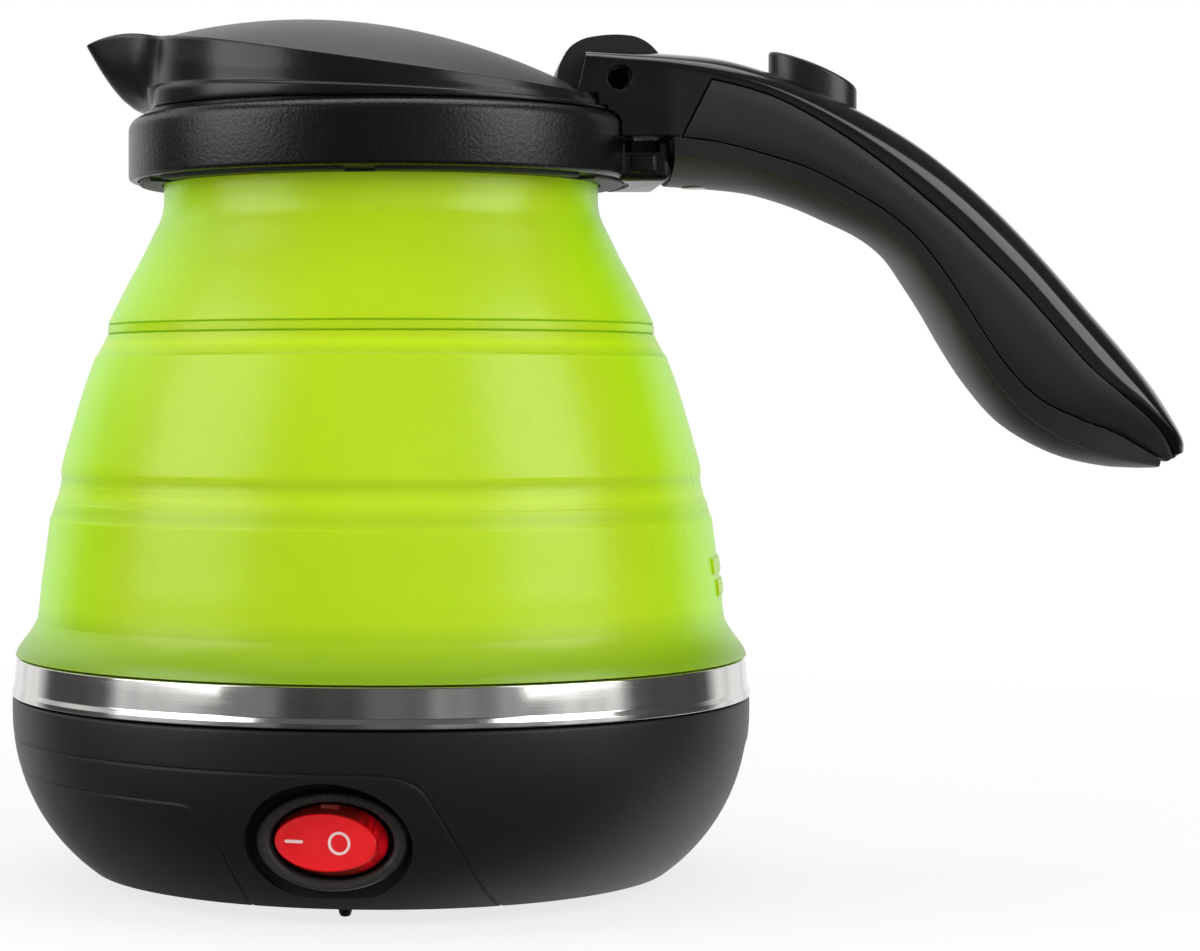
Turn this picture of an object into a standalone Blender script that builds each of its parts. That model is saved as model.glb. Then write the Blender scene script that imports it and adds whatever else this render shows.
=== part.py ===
"""Collapsible travel kettle: a silicone body that folds down between a heated base and a rigid collar.

Metres, +Z up. The origin is the centre of the flat land under the bottom cover. The spout points
to -X, the handle to +X, and the switch is on the -Y side. Each piece is one object of its own.
"""
import math

import bmesh
import bpy
from mathutils import Matrix, Vector

MM = 0.001

# General clearances and fineness
GAP = 0.3 * MM
OVERRUN = 3.0 * MM
MERGE = 0.01 * MM
RING_STEPS = 36
SMALL_STEPS = 12
FILLET_STEPS = 2
HIDDEN_FILLET_STEPS = 1

# Driving sizes of the whole kettle
BASE_RADIUS = 62.5 * MM
NECK_RADIUS = 37.0 * MM
BASE_TOP = 29.3 * MM
WALL_HEIGHT = 79.0 * MM

# Base housing: a bowl whose wall turns in along one arc
BOWL_SHOULDER = BASE_TOP - 2.3 * MM
BOWL_CURVE = 33.0 * MM
BOWL_STEPS = 6
HOUSING_WALL = 2.2 * MM
HOUSING_RIM = 0.6 * MM
HOUSING_FLOOR_TOP = 3.2 * MM
HOUSING_EDGE = 0.6 * MM

# Bottom cover, its feet and screws
COVER_INSET = 16.8 * MM
COVER_RADIUS = BASE_RADIUS - COVER_INSET
COVER_TOP = 2.6 * MM
LAND_INSET = 15.7 * MM
LAND_RADIUS = COVER_RADIUS - LAND_INSET
LAND_RISE = 0.8 * MM
FOOT_INSET = 5.7 * MM
FOOT_CIRCLE = COVER_RADIUS - FOOT_INSET
FOOT_RADIUS = 2.3 * MM
FOOT_WAIST = 1.3 * MM
FOOT_TIP = 0.8 * MM
FOOT_REACH = 2.6 * MM
FOOT_POCKET = 0.8 * MM
FIRST_FOOT_TURN = -98.1
FASTENING_COUNT = 3
BOSS_INSET = 4.2 * MM
BOSS_CIRCLE = COVER_RADIUS - BOSS_INSET
BOSS_RADIUS = 3.4 * MM
BOSS_TOP = 14.0 * MM
BOSS_RIB = 2.0 * MM
BOSS_RIB_DROP = 3.0 * MM
SCREW_RADIUS = 1.3 * MM
SCREW_HEAD_RADIUS = 2.6 * MM
SCREW_HEAD_HEIGHT = 1.2 * MM
SCREW_SLOT = 0.5 * MM
SCREW_SLOT_SHARE = 0.8

# Steel band, heating pan and clamp ring
BAND_TOP_INSET = 0.7 * MM
BAND_FOOT_INSET = 0.3 * MM
BAND_LIP_REACH = 0.1 * MM
BAND_HEIGHT = 6.4 * MM
BAND_TOP = BASE_TOP + BAND_HEIGHT
BAND_TOP_RADIUS = BASE_RADIUS - BAND_TOP_INSET
BAND_FOOT_RADIUS = BASE_RADIUS - BAND_FOOT_INSET
BAND_LIP_RADIUS = BASE_RADIUS + BAND_LIP_REACH
BAND_LIP = 1.0 * MM
BAND_WALL = 1.2 * MM
BAND_SHELF = 3.4 * MM
PAN_FLOOR_DROP = 4.8 * MM
PAN_FLOOR = BASE_TOP - PAN_FLOOR_DROP
PAN_WALL = 1.0 * MM
PAN_INSET = 7.2 * MM
PAN_RADIUS = BAND_TOP_RADIUS - PAN_INSET
PAN_CORNER = 2.0 * MM
PAN_STUD_RADIUS = 2.8 * MM
COVER_SCREW_DROP = 4.5 * MM
COVER_SCREW_TOP = PAN_FLOOR - COVER_SCREW_DROP
CLAMP_FLANGE = 1.1 * MM
CLAMP_SKIRT = 1.2 * MM

# Silicone body: table of (share of the way from the neck's to the base's radius, share of the height)
WALL_THICKNESS = 2.0 * MM
FOLD_THICKNESS = 1.2 * MM
WALL_FOOT = BAND_TOP + GAP
WALL_TOP = WALL_FOOT + WALL_HEIGHT
FOOT_FLANGE = 0.35 * MM
WALL_SHARES = (
    (0.980, 0.000), (0.936, 0.025), (0.875, 0.051), (0.833, 0.076), (0.811, 0.153), (0.767, 0.256),
    (0.745, 0.306), (0.713, 0.332), (0.689, 0.358), (0.679, 0.373), (0.681, 0.389), (0.672, 0.409),
    (0.583, 0.511), (0.478, 0.614), (0.444, 0.640), (0.397, 0.666), (0.373, 0.686), (0.368, 0.703),
    (0.314, 0.743), (0.145, 0.847), (0.064, 0.899), (0.025, 0.924), (0.000, 0.951), (0.000, 1.000),
)
FOLD_SHARES = ((0.330, 0.400), (0.640, 0.710))
FIRST_INNER_POINT = 3
INNER_POINT_STEP = 3
BEAD_SEAT = BASE_TOP + BAND_LIP + GAP + PAN_WALL + GAP
BEAD_STEP_RISE = 1.0 * MM
BEAD_STEP = WALL_FOOT + BEAD_STEP_RISE
NECK_RISE = 3.2 * MM
NECK_FLANGE_LOW = WALL_TOP + NECK_RISE
NECK_FLANGE = 2.2 * MM
NECK_FLANGE_TOP = NECK_FLANGE_LOW + NECK_FLANGE
NECK_FLANGE_REACH = 3.6 * MM
NECK_FLANGE_RADIUS = NECK_RADIUS + NECK_FLANGE_REACH
NECK_BORE = NECK_RADIUS - WALL_THICKNESS

# Collar, retaining ring and the lug that carries the handle
COLLAR_REACH = 6.0 * MM
COLLAR_RADIUS = NECK_RADIUS + COLLAR_REACH
COLLAR_RISE = 0.8 * MM
COLLAR_HEIGHT = 10.8 * MM
COLLAR_LOW = WALL_TOP + COLLAR_RISE
COLLAR_TOP = COLLAR_LOW + COLLAR_HEIGHT
COLLAR_SHOULDER = 2.4 * MM
COLLAR_EDGE = 0.8 * MM
COLLAR_WALL = 1.5 * MM
SHELF_THICKNESS = 1.7 * MM
RETAINER_DROP = 0.7 * MM
RETAINER_LOW = COLLAR_LOW - RETAINER_DROP
RETAINER_RADIUS = COLLAR_RADIUS - COLLAR_WALL - GAP
RETAINER_NOTCH = 5.0 * MM
RETAINER_NOTCH_DEPTH = 0.6 * MM
RETAINER_NOTCH_COUNT = 6
FIRST_NOTCH_TURN = -94.9
LUG_LENGTH = 5.1 * MM
LUG_REACH = COLLAR_RADIUS + LUG_LENGTH
LUG_HALF_WIDTH = 15.0 * MM
LUG_DROP = 1.7 * MM
LUG_LOW = COLLAR_LOW - LUG_DROP
LUG_CORNER = 1.2 * MM
WINDOW_SETBACK = 0.6 * MM
WINDOW_LENGTH = 2.7 * MM
WINDOW_START = COLLAR_RADIUS + WINDOW_SETBACK
WINDOW_END = WINDOW_START + WINDOW_LENGTH
WINDOW_RISE = 5.8 * MM
WINDOW_LOW = LUG_LOW + WINDOW_RISE
WINDOW_DEPTH = 4.0 * MM
TENON_LENGTH = 9.9 * MM
TENON_REACH = LUG_REACH + TENON_LENGTH
TENON_HALF_WIDTH = 7.5 * MM
TENON_RISE = 3.5 * MM
TENON_LOW = LUG_LOW + TENON_RISE
TENON_THICKNESS = 2.7 * MM
TENON_TOP = TENON_LOW + TENON_THICKNESS

# Spout ring: its rim runs down from the spout to the hinge along a shallow arc
RING_BORE_STEP = 0.2 * MM
RING_BORE = NECK_BORE + RING_BORE_STEP
RING_SKIRT_INSET = 2.9 * MM
RING_SKIRT_RADIUS = COLLAR_RADIUS - RING_SKIRT_INSET
RING_BEAD = 0.8 * MM
RING_BEAD_RADIUS = RING_SKIRT_RADIUS + RING_BEAD
RING_BEAD_RISE = 0.4 * MM
RING_BEAD_LOW = COLLAR_TOP + RING_BEAD_RISE
RING_BEAD_HEIGHT = 1.7 * MM
RING_BEAD_TOP = RING_BEAD_LOW + RING_BEAD_HEIGHT
RING_WALL_INSET = 0.6 * MM
RING_WALL_RADIUS = RING_SKIRT_RADIUS - RING_WALL_INSET
RING_RIM_INSET = 0.4 * MM
RING_RIM_RADIUS = RING_WALL_RADIUS - RING_RIM_INSET
RING_HEIGHT = 6.1 * MM
RING_RIM = COLLAR_TOP + RING_HEIGHT
RIM_BEVEL = 0.5 * MM
RIM_FALL_SHARE = 0.141
RIM_SWEEP_RADIUS = 394.0 * MM
BEAK_LENGTH = 11.3 * MM
BEAK_REACH = RING_WALL_RADIUS + BEAK_LENGTH
BEAK_DROOP_RADIUS = 22.0 * MM
BEAK_HALF_TURN = 15.0
BEAK_NOSE_TURN = 1.6
BEAK_WALL = 2.0 * MM
BEAK_FLARE_SHARE = 0.62
BEAK_COLUMNS = 5
RING_COLUMNS = 33

# Lid, seen as a flat turned dome before it is laid along the rim
LID_INSET = 0.2 * MM
LID_RADIUS = RING_RIM_RADIUS - LID_INSET
LID_EDGE = 0.9 * MM
LID_RISE = 9.2 * MM
LID_WALL = 2.0 * MM
LID_STEPS = 5
LID_PLUG_INSET = 2.0 * MM
LID_PLUG_RADIUS = RING_BORE - LID_PLUG_INSET
LID_PLUG_WALL = 1.6 * MM
LID_PLUG_DROP = 2.4 * MM
LID_STEP = 0.7 * MM
SEAL_RADIUS = RING_BORE - GAP
SEAL_HEIGHT = 1.6 * MM
INNER_LID_INSET = 0.8 * MM
INNER_LID_RADIUS = RING_BORE - INNER_LID_INSET
INNER_LID_THICKNESS = 1.0 * MM
LID_CHORD_INSET = 7.4 * MM
LID_CHORD = LID_RADIUS - LID_CHORD_INSET
LID_CHORD_HALF_WIDTH = 17.6 * MM
LID_SCREW_LENGTH = 7.0 * MM

# Hinge of the lid: its pin crosses the ring's wall, just under the rim
HINGE_DROP = 0.5 * MM
HINGE_X = RING_WALL_RADIUS
HINGE_Z = RING_RIM - HINGE_DROP
HINGE_PIN_RADIUS = 1.7 * MM
HINGE_HOLE_RADIUS = 2.1 * MM
HINGE_PIN_HALF_LENGTH = 14.5 * MM
KNUCKLE_RADIUS = 9.4 * MM
KNUCKLE_BARREL = 3.4 * MM
KNUCKLE_HALF_WIDTH = 8.6 * MM
KNUCKLE_FIRST_TURN = 190.0
KNUCKLE_LAST_TURN = 5.0
TONGUE_TOP_TURN = 2.0
TONGUE_LOW_TURN = -15.0
FINGER_NOTCH_TURN = 97.0
TONGUE_SWING = 1.5 * MM
KNUCKLE_STEPS = 12
KNUCKLE_ARCH_SHARES = (1.00, 1.06, 1.05, 1.04, 0.98, 0.90, 0.86, 0.86, 0.89, 0.91, 0.92, 0.93, 0.95)

# Handle: stations of (top, strip edge, seam, belly), each as shares of the reach from the hinge
# and of the drop from the top, and last the share of the half width
HANDLE_REACH = 97.0 * MM
HANDLE_DROP = 70.4 * MM
HANDLE_RISE = 5.5 * MM
HANDLE_TOP = HINGE_Z + HANDLE_RISE
HANDLE_HALF_WIDTH = 17.0 * MM
STATION_SHARES = (
    ((-0.055, 0.000), (-0.059, 0.033), (-0.089, 0.213), (-0.089, 0.318), 1.000),
    ((0.015, 0.000), (0.010, 0.045), (0.005, 0.213), (0.010, 0.318), 1.000),
    ((0.088, 0.002), (0.082, 0.053), (0.082, 0.213), (0.093, 0.318), 0.990),
    ((0.180, 0.009), (0.170, 0.075), (0.160, 0.224), (0.170, 0.325), 0.940),
    ((0.273, 0.044), (0.258, 0.108), (0.242, 0.251), (0.247, 0.339), 0.880),
    ((0.366, 0.092), (0.340, 0.162), (0.325, 0.286), (0.320, 0.371), 0.830),
    ((0.459, 0.155), (0.428, 0.239), (0.401, 0.338), (0.381, 0.408), 0.800),
    ((0.541, 0.224), (0.505, 0.320), (0.461, 0.388), (0.438, 0.449), 0.780),
    ((0.613, 0.300), (0.577, 0.405), (0.510, 0.443), (0.481, 0.499), 0.770),
    ((0.686, 0.392), (0.639, 0.489), (0.549, 0.507), (0.514, 0.565), 0.770),
    ((0.758, 0.497), (0.696, 0.567), (0.587, 0.584), (0.547, 0.636), 0.770),
    ((0.830, 0.611), (0.754, 0.656), (0.626, 0.669), (0.586, 0.727), 0.765),
    ((0.897, 0.717), (0.815, 0.750), (0.669, 0.757), (0.630, 0.817), 0.745),
    ((0.948, 0.807), (0.874, 0.821), (0.727, 0.837), (0.692, 0.905), 0.700),
    ((0.985, 0.892), (0.925, 0.881), (0.804, 0.891), (0.782, 0.970), 0.600),
    ((1.000, 0.945), (0.954, 0.919), (0.876, 0.930), (0.876, 0.997), 0.470),
    ((0.994, 0.982), (0.973, 0.959), (0.943, 0.976), (0.945, 0.991), 0.330),
)
TOP, STRIP, SEAM, BELLY, WIDTH = range(5)
HANDLE_SUBSTEPS = 2
STRIP_ARC_STEPS = 3
STRIP_FULLNESS_SHARE = 0.8
GRIP_THICKNESS = 2.4 * MM
GRIP_BULGE = 0.6 * MM
GRIP_TAIL_SHARE = 0.6
GRIP_END_GAP_SHARE = 0.12
GRIP_FIRST_SHARES = ((2.87, 2.31), (3.23, 2.86), (3.63, 3.46), (4.03, 4.03))
SHELL_FIRST_SHARES = ((2.14, 2.03), (3.0, 3.0))
SHELL_ARC_STEPS = 4
SHELL_FULLNESS_SHARE = 0.72
KNUCKLE_ROOM = 0.5 * MM
KNUCKLE_SIDE_ROOM = 0.4 * MM
SLOT_HALF_WIDTH = KNUCKLE_HALF_WIDTH + KNUCKLE_SIDE_ROOM
SLOT_RADIUS = KNUCKLE_RADIUS + KNUCKLE_ROOM
SHELL_SCREW_REACHES = (14.5 * MM, 76.5 * MM)
SHELL_SCREW_LENGTH = 5.2 * MM
TAIL_SCREW_LENGTH = 11.0 * MM
SHELL_SCREW_DEPTHS = (1.4 * MM, 2.6 * MM)

# Lid button: an oval cap with a finger over the trailing face of the knuckle
BUTTON_REACH = 34.25 * MM
BUTTON_X = HINGE_X + BUTTON_REACH
BUTTON_HALF_LENGTH = 7.25 * MM
BUTTON_HALF_WIDTH = 5.6 * MM
BUTTON_RISE = 0.5 * MM
BUTTON_SLOPE_DROP = 6.5 * MM
BUTTON_FRONT_TOP = HANDLE_TOP + BUTTON_RISE
BUTTON_REAR_TOP = BUTTON_FRONT_TOP - BUTTON_SLOPE_DROP
BUTTON_SKIRT = 7.2 * MM
BUTTON_LOW = BUTTON_REAR_TOP - BUTTON_SKIRT
BUTTON_TRAVEL = 3.2 * MM
BUTTON_CLEARANCE = 0.4 * MM
BUTTON_STEPS = 20
FINGER_TIP_REACH = 5.1 * MM
FINGER_TIP = HINGE_X + FINGER_TIP_REACH
FINGER_BEND_REACH = 10.5 * MM
FINGER_BEND = HINGE_X + FINGER_BEND_REACH
FINGER_RISE = 1.0 * MM
FINGER_THICKNESS = 1.8 * MM
FINGER_LOW = HINGE_Z + FINGER_RISE
FINGER_TOP = FINGER_LOW + FINGER_THICKNESS
FINGER_HALF_WIDTH = 3.0 * MM
FINGER_ROOT_DROP = 3.6 * MM
FINGER_ROOT_THICKNESS = 3.2 * MM
FINGER_ROOT_LOW = HINGE_Z - FINGER_ROOT_DROP
FINGER_ROOT_TOP = FINGER_ROOT_LOW + FINGER_ROOT_THICKNESS
STRIP_CEILING_DROP = 2.3 * MM
STRIP_CEILING = HANDLE_TOP - STRIP_CEILING_DROP
BUTTON_SPRING_RADIUS = 2.7 * MM
BUTTON_SPRING_WIRE = 0.35 * MM
BUTTON_SPRING_DROP = 5.6 * MM
BUTTON_SPRING_LOW = BUTTON_LOW - BUTTON_SPRING_DROP
BUTTON_SPRING_TURNS = 5
SPRING_TURN_POINTS = 8
SPRING_WELL_RADIUS = 3.5 * MM
SPRING_POCKET = 2.6 * MM

# Switch, built facing -Y at the origin of its own panel and then turned with it
SWITCH_TURN = -8.1
SWITCH_INSET = 9.5 * MM
SWITCH_DEPTH_RADIUS = BASE_RADIUS - SWITCH_INSET
SWITCH_HEIGHT = 11.7 * MM
POCKET_HALF_LENGTH = 13.0 * MM
POCKET_HALF_HEIGHT = 8.6 * MM
POCKET_WALL = 2.0 * MM
BEZEL_HALF_LENGTH = 12.2 * MM
BEZEL_HALF_HEIGHT = 7.3 * MM
BEZEL_THICKNESS = 1.2 * MM
SWITCH_BODY_HALF_LENGTH = 10.4 * MM
SWITCH_BODY_HALF_HEIGHT = 6.0 * MM
SWITCH_BODY_DEPTH = 14.0 * MM
ROCKER_HOLE_HALF_LENGTH = 9.7 * MM
ROCKER_HOLE_HALF_HEIGHT = 5.5 * MM
ROCKER_HOLE_DEPTH = 9.0 * MM
ROCKER_HALF_LENGTH = 8.9 * MM
ROCKER_HALF_HEIGHT = 5.1 * MM
ROCKER_FACE = 2.3 * MM
ROCKER_DEPTH = 2.6 * MM
ROCKER_PIVOT_DEPTH = 3.0 * MM
ROCKER_REST_TILT = 9.0
ROCKER_STEM_RADIUS = 1.6 * MM
SWITCH_TAB_WIDTH = 3.2 * MM
SWITCH_TAB_LENGTH = 5.0 * MM
SWITCH_TAB_THICKNESS = 0.8 * MM
SWITCH_TAB_SPREAD = 6.0 * MM
OVAL_STEPS = 28

# Appliance inlet at the back of the base, under the handle
INLET_HEIGHT = 12.4 * MM
INLET_INSET = 11.3 * MM
INLET_FACE = BASE_RADIUS - INLET_INSET
INLET_DEPTH = 16.0 * MM
INLET_HALF_WIDTH = 13.4 * MM
INLET_HALF_HEIGHT = 9.3 * MM
INLET_WALL = 1.2 * MM
INLET_BACK = 2.0 * MM
INLET_CORNER = 2.0 * MM
INLET_BOSS_WALL = 1.2 * MM
INLET_PIN_SPREAD = 7.0 * MM
INLET_PIN_RISE = 2.0 * MM
INLET_PIN_LENGTH = 16.5 * MM
INLET_PIN_WIDTH = 4.0 * MM
INLET_PIN_THICKNESS = 2.0 * MM
INLET_PIN_SETBACK = 3.0 * MM

# Heating parts under the pan
SPREADER_INSET = 18.6 * MM
SPREADER_RADIUS = PAN_RADIUS - SPREADER_INSET
SPREADER_THICKNESS = 1.2 * MM
ELEMENT_INSET = 9.0 * MM
ELEMENT_CIRCLE = SPREADER_RADIUS - ELEMENT_INSET
ELEMENT_RADIUS = 3.2 * MM
ELEMENT_HALF_OPENING = 11.4 * MM
ELEMENT_LEG = 5.0 * MM
ELEMENT_POINTS = 26
ELEMENT_PIN_RADIUS = 1.2 * MM
ELEMENT_PIN_LENGTH = 4.0 * MM
THERMOSTAT_RADIUS = 8.5 * MM
THERMOSTAT_HEIGHT = 7.0 * MM
THERMOSTAT_FLANGE_RADIUS = 11.0 * MM
THERMOSTAT_FLANGE = 1.0 * MM
FUSE_CLEARANCE = 1.2 * MM
FUSE_RADIUS = 1.6 * MM
FUSE_CIRCLE = ELEMENT_CIRCLE + ELEMENT_RADIUS + FUSE_CLEARANCE + FUSE_RADIUS
FUSE_HALF_LENGTH = 6.0 * MM
FUSE_TURN = 90.0
WIRE_RADIUS = 0.9 * MM
WIRE_SAG = 3.0 * MM
WIRE_BOW = 4.0 * MM
WIRE_SLACK_SHARE = 0.12
WIRE_POINTS = 8
EARTH_CLEARANCE = 7.0 * MM
EARTH_X = THERMOSTAT_FLANGE_RADIUS + EARTH_CLEARANCE

# Finishes: colour, roughness, metallic
BLACK_MATTE = ((0.020, 0.019, 0.018), 0.55, 0.0)
BLACK_GRAIN = ((0.014, 0.014, 0.014), 0.50, 0.0)
BLACK_SATIN = ((0.022, 0.022, 0.022), 0.40, 0.0)
BLACK_GLOSS = ((0.010, 0.010, 0.010), 0.22, 0.0)
GREY_PLASTIC = ((0.180, 0.180, 0.180), 0.50, 0.0)
RUBBER = ((0.010, 0.010, 0.010), 0.75, 0.0)
STEEL = ((0.620, 0.620, 0.610), 0.18, 1.0)
ALUMINIUM = ((0.700, 0.700, 0.710), 0.40, 1.0)
BRASS = ((0.700, 0.520, 0.250), 0.30, 1.0)
ZINC = ((0.550, 0.560, 0.570), 0.35, 1.0)
LIME_SILICONE = ((0.450, 0.680, 0.010), 0.45, 0.0)
CLEAR_SILICONE = ((0.700, 0.700, 0.680), 0.45, 0.0)
RED_LENS = ((0.620, 0.005, 0.010), 0.20, 0.0)
WIRE_BLUE = ((0.030, 0.090, 0.350), 0.50, 0.0)
WIRE_BROWN = ((0.120, 0.045, 0.020), 0.50, 0.0)
WIRE_EARTH = ((0.250, 0.400, 0.030), 0.50, 0.0)


def fresh_collection(name):
    collection = bpy.data.collections.new(name)
    bpy.context.scene.collection.children.link(collection)
    return collection


def material_for(name, finish):
    colour, roughness, metallic = finish
    material = bpy.data.materials.new(name)
    material.use_nodes = True
    shader = material.node_tree.nodes["Principled BSDF"]
    shader.inputs["Base Color"].default_value = (*colour, 1.0)
    shader.inputs["Roughness"].default_value = roughness
    shader.inputs["Metallic"].default_value = metallic
    material.diffuse_color = (*colour, 1.0)
    return material


def add_object(name, mesh, finish=None):
    """Link a mesh as a named piece with its own material, or as a cutter when it has no finish."""
    obj = bpy.data.objects.new(name, mesh)
    if finish is None:
        CUTTERS.objects.link(obj)
        obj.hide_render = True
        obj.display_type = "WIRE"
    else:
        KETTLE.objects.link(obj)
        mesh.materials.clear()
        mesh.materials.append(material_for(name, finish))
    return obj


def shade(mesh, angle=0.6):
    mesh.shade_smooth()
    mesh.set_sharp_from_angle(angle=angle)


def mesh_from(name, vertices, faces=(), edges=()):
    mesh = bpy.data.meshes.new(name)
    mesh.from_pydata(vertices, edges, faces)
    mesh.update()
    return mesh


def mesh_from_bmesh(name, bm):
    mesh = bpy.data.meshes.new(name)
    bmesh.ops.recalc_face_normals(bm, faces=bm.faces)
    bm.to_mesh(mesh)
    bm.free()
    shade(mesh)
    return mesh


def frozen(obj):
    """Replace an object's mesh by the result of its modifiers, so that its points can be moved."""
    bpy.context.view_layer.update()
    graph = bpy.context.evaluated_depsgraph_get()
    mesh = bpy.data.meshes.new_from_object(obj.evaluated_get(graph))
    obj.modifiers.clear()
    obj.data = mesh
    return obj


def cut(target, *tools):
    for tool in tools:
        modifier = target.modifiers.new(tool.name, "BOOLEAN")
        modifier.operation = "DIFFERENCE"
        modifier.solver = "EXACT"
        modifier.object = tool


def joined(target, *tools):
    for tool in tools:
        modifier = target.modifiers.new(tool.name, "BOOLEAN")
        modifier.operation = "UNION"
        modifier.solver = "EXACT"
        modifier.object = tool


def kept_inside(target, tool):
    modifier = target.modifiers.new(tool.name, "BOOLEAN")
    modifier.operation = "INTERSECT"
    modifier.solver = "EXACT"
    modifier.object = tool


def rounded(corners, closed=True, steps=FILLET_STEPS):
    """Turn corners of (a, b) or (a, b, fillet radius) into an outline with arcs at the fillets."""
    points = []
    count = len(corners)
    for index, corner in enumerate(corners):
        here = Vector(corner[:2])
        at_end = not closed and index in (0, count - 1)
        if len(corner) < 3 or at_end:
            points.append(here)
            continue
        before = corners[index - 1]
        after = corners[(index + 1) % count]
        points.extend(fillet(here, before, after, corner[2], steps))
    return points


def fillet(here, before, after, radius, steps):
    """Points of an arc that rounds a corner, no longer than the sides leave room for."""
    arms = [Vector(other[:2]) - here for other in (before, after)]
    rooms = [arm.length / (2 if len(other) > 2 else 1) for arm, other in zip(arms, (before, after))]
    units = [arm.normalized() for arm in arms]
    half_angle = units[0].angle(units[1]) / 2
    reach = min(radius / math.tan(half_angle), *rooms)
    centre = here + (units[0] + units[1]).normalized() * reach / math.cos(half_angle)
    start = here + units[0] * reach - centre
    turn = (math.pi - 2 * half_angle) * math.copysign(1, units[1].cross(units[0]))
    points = []
    for step in range(steps + 1):
        angle = turn * step / steps
        cosine, sine = math.cos(angle), math.sin(angle)
        points.append(centre + Vector((start.x * cosine - start.y * sine, start.x * sine + start.y * cosine)))
    return points


def turned(name, outline, finish=None, steps=RING_STEPS, closed=True, place=(0, 0, 0)):
    """Turn an outline of (radius, height) about Z. It runs down the outer side, top to bottom."""
    vertices = [(radius, 0, height) for radius, height in outline]
    edges = [(index, index + 1) for index in range(len(vertices) - 1)]
    if closed:
        edges.append((len(vertices) - 1, 0))
    obj = add_object(name, mesh_from(name, vertices, edges=edges), finish)
    screw = obj.modifiers.new("turn", "SCREW")
    screw.steps = steps
    screw.render_steps = steps
    screw.use_merge_vertices = True
    screw.merge_threshold = MERGE
    screw.use_smooth_shade = True
    obj.location = place
    return obj


def solid_turned(name, outline, finish=None, steps=RING_STEPS, place=(0, 0, 0)):
    """Turn an outline that starts and ends on the axis."""
    return turned(name, outline, finish, steps, closed=False, place=place)


def cylinder(name, radius, start, end, finish=None, steps=SMALL_STEPS):
    """A round bar between two points."""
    start = Vector(start)
    end = Vector(end)
    along = end - start
    turn = along.to_track_quat("Z", "Y").to_matrix().to_4x4() @ Matrix.Rotation(math.pi / steps, 4, "Z")
    bm = bmesh.new()
    bmesh.ops.create_cone(
        bm, cap_ends=True, segments=steps, radius1=radius, radius2=radius, depth=along.length,
        matrix=Matrix.Translation((start + end) / 2) @ turn,
    )
    return add_object(name, mesh_from_bmesh(name, bm), finish)


def box(name, low, high, finish=None):
    low = Vector(low)
    high = Vector(high)
    bm = bmesh.new()
    scale = Matrix.Diagonal((*(high - low), 1.0))
    bmesh.ops.create_cube(bm, size=1.0, matrix=Matrix.Translation((low + high) / 2) @ scale)
    return add_object(name, mesh_from_bmesh(name, bm), finish)


def softened(obj, width, segments=2, angle=0.6):
    bevel = obj.modifiers.new("edges", "BEVEL")
    bevel.width = width
    bevel.segments = segments
    bevel.limit_method = "ANGLE"
    bevel.angle_limit = angle
    return obj


def flat_piece(name, outline, near, far, finish=None, upright=True):
    """A flat outline given thickness along Y (upright, outline in X and Z) or along Z."""
    curve = bpy.data.curves.new(name, "CURVE")
    curve.dimensions = "2D"
    curve.fill_mode = "BOTH"
    curve.extrude = abs(far - near) / 2
    spline = curve.splines.new("POLY")
    spline.points.add(len(outline) - 1)
    spline.use_cyclic_u = True
    for point, (a, b) in zip(spline.points, outline):
        point.co = (a, b, 0, 1)
    guide = bpy.data.objects.new(name + "_outline", curve)
    CUTTERS.objects.link(guide)
    bpy.context.view_layer.update()
    graph = bpy.context.evaluated_depsgraph_get()
    mesh = bpy.data.meshes.new_from_object(guide.evaluated_get(graph))
    bpy.data.objects.remove(guide)
    middle = (near + far) / 2
    if upright:
        mesh.transform(Matrix.Translation((0, middle, 0)) @ Matrix.Rotation(math.pi / 2, 4, "X"))
    else:
        mesh.transform(Matrix.Translation((0, 0, middle)))
    bm = bmesh.new()
    bm.from_mesh(mesh)
    bpy.data.meshes.remove(mesh)
    bmesh.ops.remove_doubles(bm, verts=bm.verts, dist=MERGE)
    return add_object(name, mesh_from_bmesh(name, bm), finish)


def loft(name, rings, finish=None, wrapped=False):
    """Skin equal rings of points in flat triangles, capped at both ends unless they close a loop."""
    bm = bmesh.new()
    rows = [[bm.verts.new(point) for point in ring] for ring in rings]
    size = len(rows[0])
    pairs = list(zip(rows, rows[1:]))
    if wrapped:
        pairs.append((rows[-1], rows[0]))
    for first, second in pairs:
        for index in range(size):
            after = (index + 1) % size
            bm.faces.new((first[index], first[after], second[after], second[index]))
    if not wrapped:
        bm.faces.new(list(reversed(rows[0])))
        bm.faces.new(rows[-1])
    bmesh.ops.triangulate(bm, faces=bm.faces)
    return add_object(name, mesh_from_bmesh(name, bm), finish)


def tube(name, points, radius, finish, fineness=2):
    """A round wire or tube through the points, with filled ends."""
    curve = bpy.data.curves.new(name, "CURVE")
    curve.dimensions = "3D"
    curve.bevel_depth = radius
    curve.bevel_resolution = fineness
    curve.use_fill_caps = True
    spline = curve.splines.new("POLY")
    spline.points.add(len(points) - 1)
    for target, point in zip(spline.points, points):
        target.co = (*point, 1)
    obj = bpy.data.objects.new(name, curve)
    KETTLE.objects.link(obj)
    curve.materials.append(material_for(name, finish))
    return obj


def oval(half_length, half_height, centre=(0, 0), steps=OVAL_STEPS):
    turns = [2 * math.pi * step / steps for step in range(steps)]
    return [(centre[0] + half_length * math.cos(t), centre[1] + half_height * math.sin(t)) for t in turns]


def arc(centre, radius, first, last, steps):
    """Points on an arc between two angles in degrees."""
    points = []
    for step in range(steps + 1):
        turn = math.radians(first + (last - first) * step / steps)
        points.append((centre[0] + radius * math.cos(turn), centre[1] + radius * math.sin(turn)))
    return points


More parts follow.
